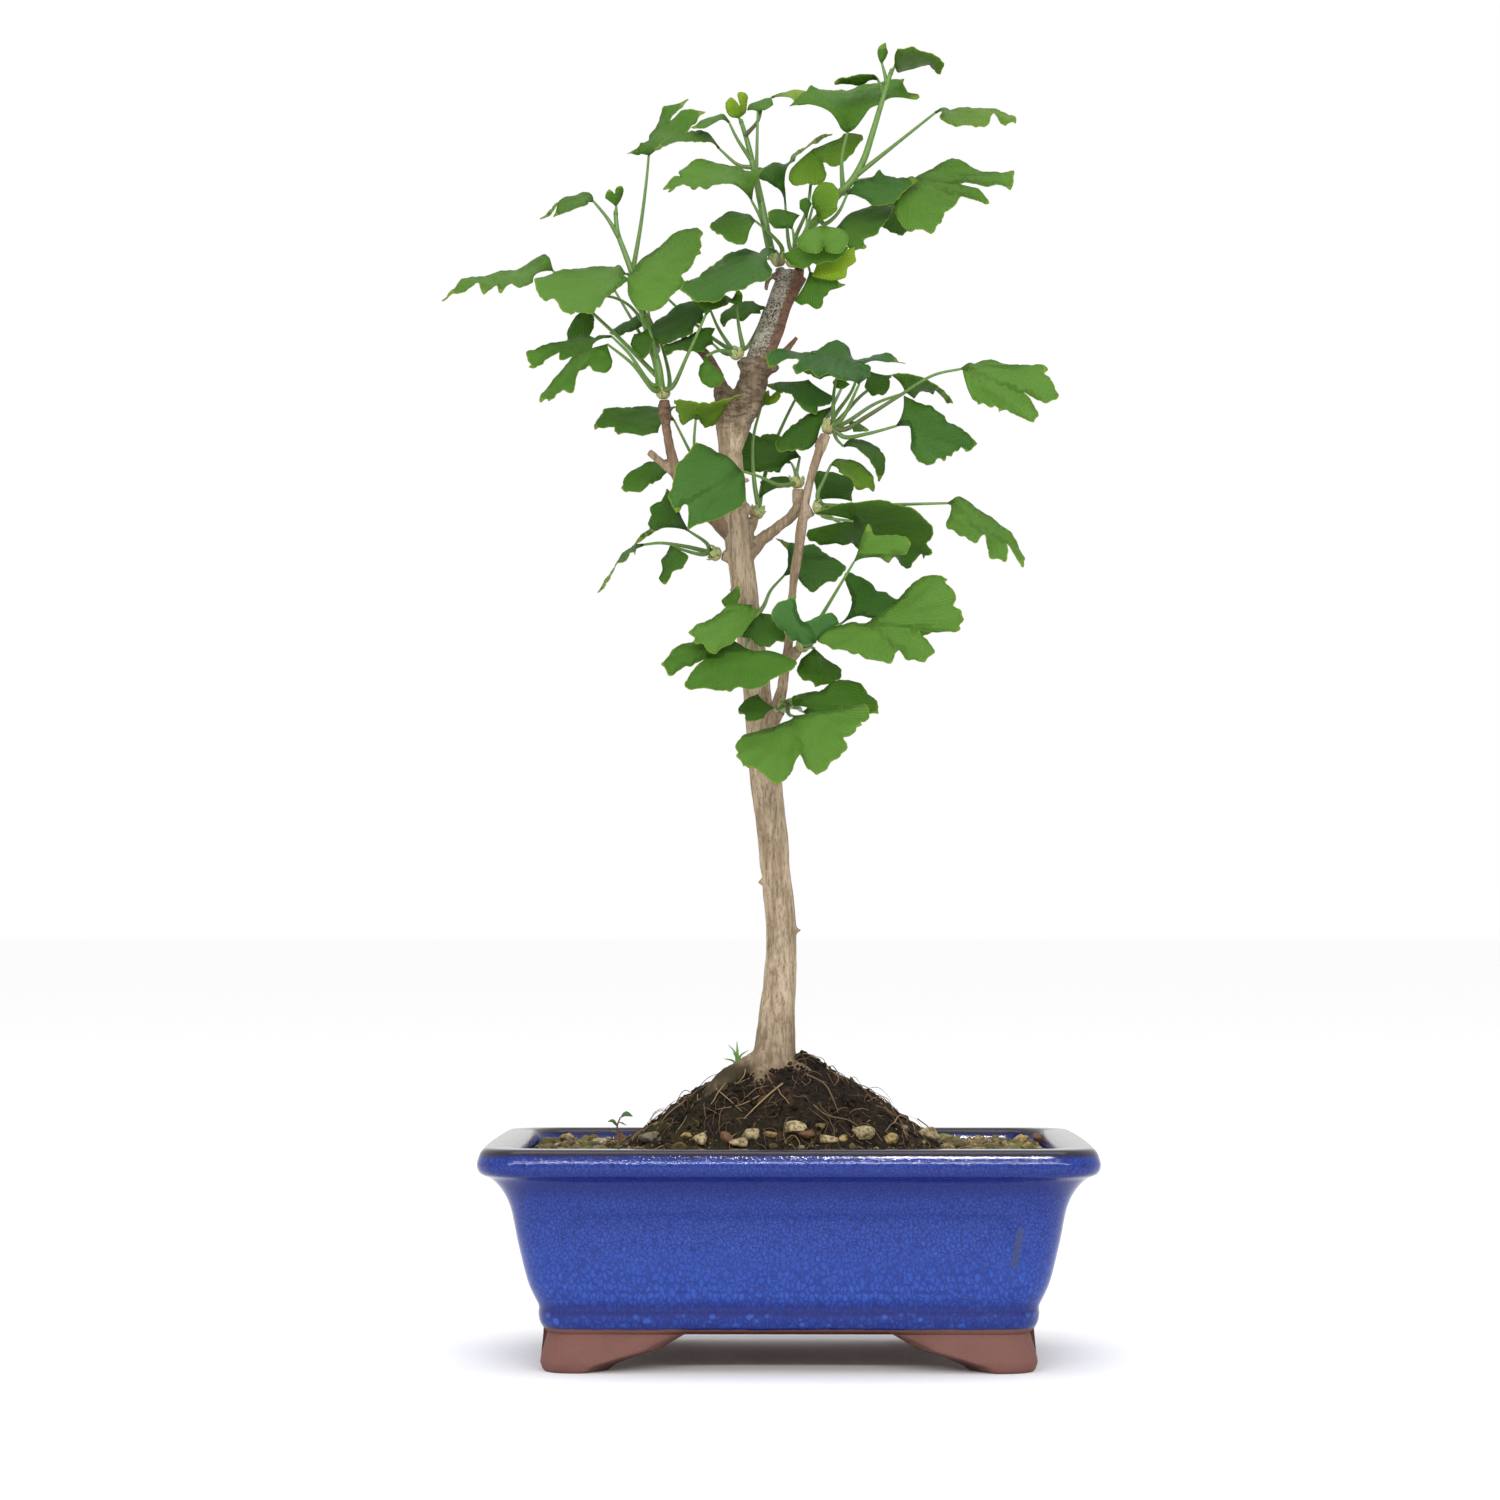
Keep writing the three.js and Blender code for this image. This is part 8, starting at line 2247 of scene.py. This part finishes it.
    def scatter(
        self, kind: Scatter, draft: Draft, taken: list[tuple[float, float, float]], chance: random.Random
    ) -> None:
        """Scatters pebbles of one size over the bed, clear of those that lie there.

        Args:
            kind: their number and size.
            draft: what gathers them.
            taken: the x, y and radius of those that lie there. The new ones are added.
            chance: draws their places, shapes and colours.
        """
        made = 0
        half = self.wall_half(71) - kind.most - 0.4
        for _ in range(kind.count * self.tries):
            if made >= kind.count:
                break
            x = chance.uniform(-half, half)
            y = chance.uniform(-half + self.depth_less, half - self.depth_less)
            size = chance.uniform(kind.least, kind.most)
            if float(self.share(np.array(x), np.array(y))) < chance.uniform(0.77, 1.03):
                continue
            if any((x - a) ** 2 + (y - b) ** 2 < (0.82 * (size + r)) ** 2 for a, b, r in taken):
                continue
            taken.append((x, y, size))
            made += 1
            z = self.level(x, y) + size * chance.uniform(-0.25, 0.25) - 0.2
            tint = chance.choices(list(Tint), self.tint_shares)[0].value
            shade = chance.uniform(0.45, 1.05)
            shape = (size * 1.15, size * chance.uniform(0.7, 1), size * chance.uniform(0.55, 0.9))
            points, faces = lump((x, y, z), shape, kind.detail, 0.4, chance)
            draft.add(points, faces, tint=tuple(part * shade for part in tint), moss=chance.uniform(0, 0.6))

    def roots(self) -> bpy.types.Object:
        """Makes the fine roots that lie and curl on the mound.

        Returns:
            The roots.
        """
        chance = random.Random(self.seed + 2)
        draft = Draft()
        for text, thick, tan in ROOT_FIBRES:
            line = evenly(spline(self.meet(rows(text), self.root_seat), 8), 0.8)
            points, faces, _ = tube(line, (0.6 * thick, 0.55 * thick, 0.25 * thick), 7)
            draft.add(points, faces, tan=tan)
        for _ in range(self.fibre_count):
            places = self.wander(chance)
            thick = 0.07 + 0.15 * chance.random() ** 2
            line = evenly(spline(places, 4), 0.8)
            points, faces, _ = tube(line, (thick, thick, thick * 0.4), 5)
            draft.add(points, faces, tan=chance.random() ** 2)
        return draft.piece("root_fibres", FibreFinish(), "bark")

    def wander(self, chance: random.Random) -> np.ndarray:
        """Leads a fine root over the mound, arched a little in the middle.

        Args:
            chance: draws its start, its bends and its length.

        Returns:
            Places along the root.
        """
        x, y = self.on_mound(math.sqrt(chance.uniform(0.03, 1.2)), chance.uniform(0, math.tau))
        heading, curl = chance.uniform(0, math.tau), chance.uniform(-0.35, 0.35)
        lift = 0.3 + 2.6 * chance.random() ** 3
        count = chance.randrange(5, 12)
        places = []
        for step in range(count):
            places.append([x, y, self.level(x, y) + lift * math.sin(math.pi * step / (count - 1)) + 0.1])
            heading += curl + chance.uniform(-0.45, 0.45)
            x += self.fibre_step * math.cos(heading)
            y += self.fibre_step * math.sin(heading)
        return np.array(places)

    def build(self) -> None:
        """Makes every piece of the ground in the pot."""
        self.soil()
        self.crumbs()
        self.bed()
        self.pebbles()
        self.roots()


def lump(
    centre: Sequence[float], radii: Sequence[float], detail: int, roughness: float, chance: random.Random
) -> tuple[np.ndarray, np.ndarray]:
    """Makes a rounded, uneven stone or crumb.

    Args:
        centre: its middle.
        radii: its half sizes before it is turned.
        detail: how often an icosahedron is split.
        roughness: how uneven it is, as a share of its size.
        chance: draws its shape.

    Returns:
        Its points and triangles.
    """
    points, faces = ball(detail)
    bumps = rough(points, 0.9, chance.uniform(0, 50))
    planes = np.array([[chance.gauss(0, 1) for _ in range(3)] for _ in range(10)])
    shape = points * (1 + roughness * bumps)[:, None]
    for plane in unit(planes):
        over = np.maximum(shape @ plane - chance.uniform(0.5, 0.85), 0)
        shape -= np.outer(over * 0.95, plane)
    shape = shape * radii
    turn = chance.uniform(0, math.tau)
    tip = chance.uniform(-0.35, 0.35)
    cos, sin = math.cos(turn), math.sin(turn)
    shape = shape @ np.array([[cos, sin, 0], [-sin, cos, 0], [0, 0, 1]])
    cos, sin = math.cos(tip), math.sin(tip)
    shape = shape @ np.array([[1, 0, 0], [0, cos, sin], [0, -sin, cos]])
    return shape + centre, faces


@functools.cache
def ball(detail: int) -> tuple[np.ndarray, np.ndarray]:
    """Splits an icosahedron into a ball of radius one.

    Args:
        detail: how often its faces are split.

    Returns:
        Its points and triangles.
    """
    mesh = bmesh.new()
    bmesh.ops.create_icosphere(mesh, subdivisions=detail, radius=1.0)
    points = np.array([list(vert.co) for vert in mesh.verts])
    faces = np.array([[vert.index for vert in face.verts] for face in mesh.faces])
    mesh.free()
    return points, faces


@dataclass
class Plants:
    """The grass tuft by the trunk and the seedling in the pebbles."""

    tuft_foot: tuple[float, float, float] = (-17.5, 98.4, 3.5)
    tuft_tips: tuple[tuple[float, float, float], ...] = (
        (-3.2, -0.8, 7.4), (-0.2, -0.6, 8.6), (3.9, -0.6, 5.6), (-4.8, 0.4, 2.6), (1.8, 0.3, 4.6),
        (-1.8, 1.2, 4.8), (2.6, 1.0, 3.0),
    )
    blade_radii: tuple[float, ...] = (0.5, 0.62, 0.45, 0.08)
    seedling_foot: tuple[float, float, float] = (-58.5, 71.5, -12.0)
    seedling_stem: str = "0 0 -1.6, 0.4 0 2.6, -0.2 -0.2 6.2, 0.9 -0.4 9.4"
    seedling_leaves: tuple[tuple[str, float], ...] = (
        ("0.9 -0.4 9.2, 2.6 -0.8 10.6, 5.2 -1 9.7", 1.35),
        ("-0.1 -0.2 6.3, -1.7 -0.4 8.2, -3.4 -0.6 7.9", 1.0),
        ("0.5 -0.3 7.6, 1.7 0.6 7.3, 3.2 1 6.4", 0.9),
        ("0.3 0 3.6, -0.9 0.8 4.6, -2.3 1.2 4.4", 0.8),
    )

    def tuft(self) -> bpy.types.Object:
        """Makes the tuft's folded blades.

        Returns:
            The tuft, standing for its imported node.
        """
        foot = seen(np.array([self.tuft_foot]))[0]
        draft = Draft()
        for number, tip in enumerate(self.tuft_tips):
            bend = np.array([tip[0] * 0.25, tip[1] * 0.3, tip[2] * 0.62])
            line = evenly(spline(foot + np.array([[tip[0] * 0.1, 0, -2.2], bend, tip]), 6), 0.7)
            points, faces, share = tube(line, self.blade_radii, 8, 0.35, (0.3 * tip[0], -1, 0.2))
            kind = np.column_stack([0.3 * (number % 3) + 0.4 * share, 0 * share, 0 * share])
            draft.add(points, faces, kind=kind)
        points, faces = lump(foot - (0, 0, 1.4), (2.0, 1.6, 1.3), 2, 0.2, random.Random(3))
        draft.add(points, faces, kind=np.tile((0.0, 0.55, 0.0), (len(points), 1)))
        return draft.piece("tuft_blades", GrassFinish(), "grass", ["grass_tuft"])

    def seedling(self) -> bpy.types.Object:
        """Makes the seedling: a reddish stem with a few small leaves.

        Returns:
            The seedling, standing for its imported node.
        """
        foot = seen(np.array([self.seedling_foot]))[0]
        draft = Draft()
        stem = foot + rows(self.seedling_stem)
        points, faces, _ = tube(evenly(spline(stem, 5), 0.7), (0.5, 0.34, 0.26), 8)
        draft.add(points, faces, kind=np.tile((0.0, 0.0, 1.0), (len(points), 1)))
        for route, wide in self.seedling_leaves:
            line = evenly(spline(foot + rows(route), 6), 0.5)
            radii = (0.15, wide * 0.8, wide, wide * 0.6, 0.1)
            points, faces, _ = tube(line, radii, 10, 0.2, (0.1, -0.5, 1))
            draft.add(points, faces, kind=np.tile((0.1, 0.75, 0.0), (len(points), 1)))
        points, faces = lump(foot - (0, 0, 0.9), (1.7, 1.7, 1.1), 2, 0.2, random.Random(5))
        draft.add(points, faces, kind=np.tile((0.0, 0.8, 0.0), (len(points), 1)))
        return draft.piece("seedling_shoot", GrassFinish(), "grass", ["seedling"])


@dataclass
class DrainScreens:
    """The plastic screens over the drain holes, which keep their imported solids."""

    nodes: tuple[str, ...] = ("drain_screen_left", "drain_screen_right")
    finish: Plain = Plain("screen", (0.02, 0.022, 0.025), 0.55)

    def dress(self) -> None:
        """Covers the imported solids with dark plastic."""
        for node in self.nodes:
            mesh = bpy.data.objects[node].data
            mesh.materials.clear()
            mesh.materials.append(self.finish.material())
            LOG.info("%s: kept, %d faces", node, len(mesh.polygons))


@dataclass(frozen=True)
class Lamp:
    """A soft light: its place and size in metres, its power, and whether it lights matt surfaces."""

    name: str
    place: tuple[float, float, float]
    size: tuple[float, float]
    power: float
    lights_matt: bool = True


@dataclass
class Studio:
    """The pale floor, the soft lights and the camera."""

    lamps: tuple[Lamp, ...] = (
        Lamp("overhead", (0.0, -0.2, 1.9), (1.4, 1.2), 11.0),
        Lamp("strip", (0.0, -2.3, 1.1), (3.4, 0.05), 36.0),
        Lamp("glint", (0.105, -1.0, 0.86), (0.08, 0.12), 5.0, lights_matt=False),
    )
    aim_height: float = 0.2
    floor_half: float = 400.0
    lens: float = 92.66
    pitch: float = 2.67
    yaw: float = 0.571
    white: Colour = (0.99, 0.99, 0.99)

    def floor(self) -> None:
        """Lays the pale floor."""
        mesh = bpy.data.meshes.new("floor")
        half = self.floor_half
        corners = [(-half, -half, 0), (half, -half, 0), (half, half, 0), (-half, half, 0)]
        mesh.from_pydata(corners, [], [(0, 1, 2, 3)])
        floor = bpy.data.objects.new("floor", mesh)
        bpy.context.scene.collection.objects.link(floor)
        mesh.materials.append(Plain("floor", self.white, 0.9, 60.0, 0.0).material())

    def light(self, lamp: Lamp) -> None:
        """Hangs a light that faces the tree.

        Args:
            lamp: the light's place, size and power.
        """
        area = bpy.data.lights.new(lamp.name, "AREA")
        area.shape = "RECTANGLE"
        area.size, area.size_y = lamp.size
        area.energy = lamp.power
        hung = bpy.data.objects.new(lamp.name, area)
        x, y, z = lamp.place
        hung.location = (x + Frame.shift * MM, y, z)
        hung.visible_diffuse = lamp.lights_matt
        aim = Vector((Frame.shift * MM, 0, self.aim_height)) - hung.location
        hung.rotation_euler = aim.to_track_quat("-Z", "Y").to_euler()
        bpy.context.scene.collection.objects.link(hung)

    def camera(self) -> None:
        """Sets the camera at the photograph's place."""
        lens = bpy.data.cameras.new("camera")
        lens.lens = self.lens
        lens.sensor_width = 36.0
        lens.clip_end = 60.0
        eye = bpy.data.objects.new("camera", lens)
        eye.location = (Frame.shift * MM, -EYE_DISTANCE * MM, EYE_HEIGHT * MM)
        eye.rotation_euler = (math.radians(90 + self.pitch), 0, math.radians(self.yaw))
        bpy.context.scene.collection.objects.link(eye)
        bpy.context.scene.camera = eye

    def world(self) -> None:
        """Fills the room with even white light."""
        world = bpy.data.worlds.new("room")
        world.use_nodes = True
        backdrop = world.node_tree.nodes["Background"]
        backdrop.inputs["Color"].default_value = (1, 1, 1, 1)
        backdrop.inputs["Strength"].default_value = 1.0
        bpy.context.scene.world = world

    def build(self) -> None:
        """Sets up the whole studio."""
        self.floor()
        self.world()
        for lamp in self.lamps:
            self.light(lamp)
        self.camera()
        view = bpy.context.scene.view_settings
        view.view_transform = "Standard"
        view.look = "None"


def main() -> None:
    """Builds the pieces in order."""
    logging.basicConfig(level=logging.INFO, format="%(name)s: %(message)s")
    Frame.load()
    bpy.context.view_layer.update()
    Pot().build()
    Tree().build()
    for name, spray in SPRAYS.items():
        spray.build(name)
    Ground().build()
    plants = Plants()
    plants.tuft()
    plants.seedling()
    DrainScreens().dress()
    Studio().build()
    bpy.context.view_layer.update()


if __name__ == "__main__":
    main()
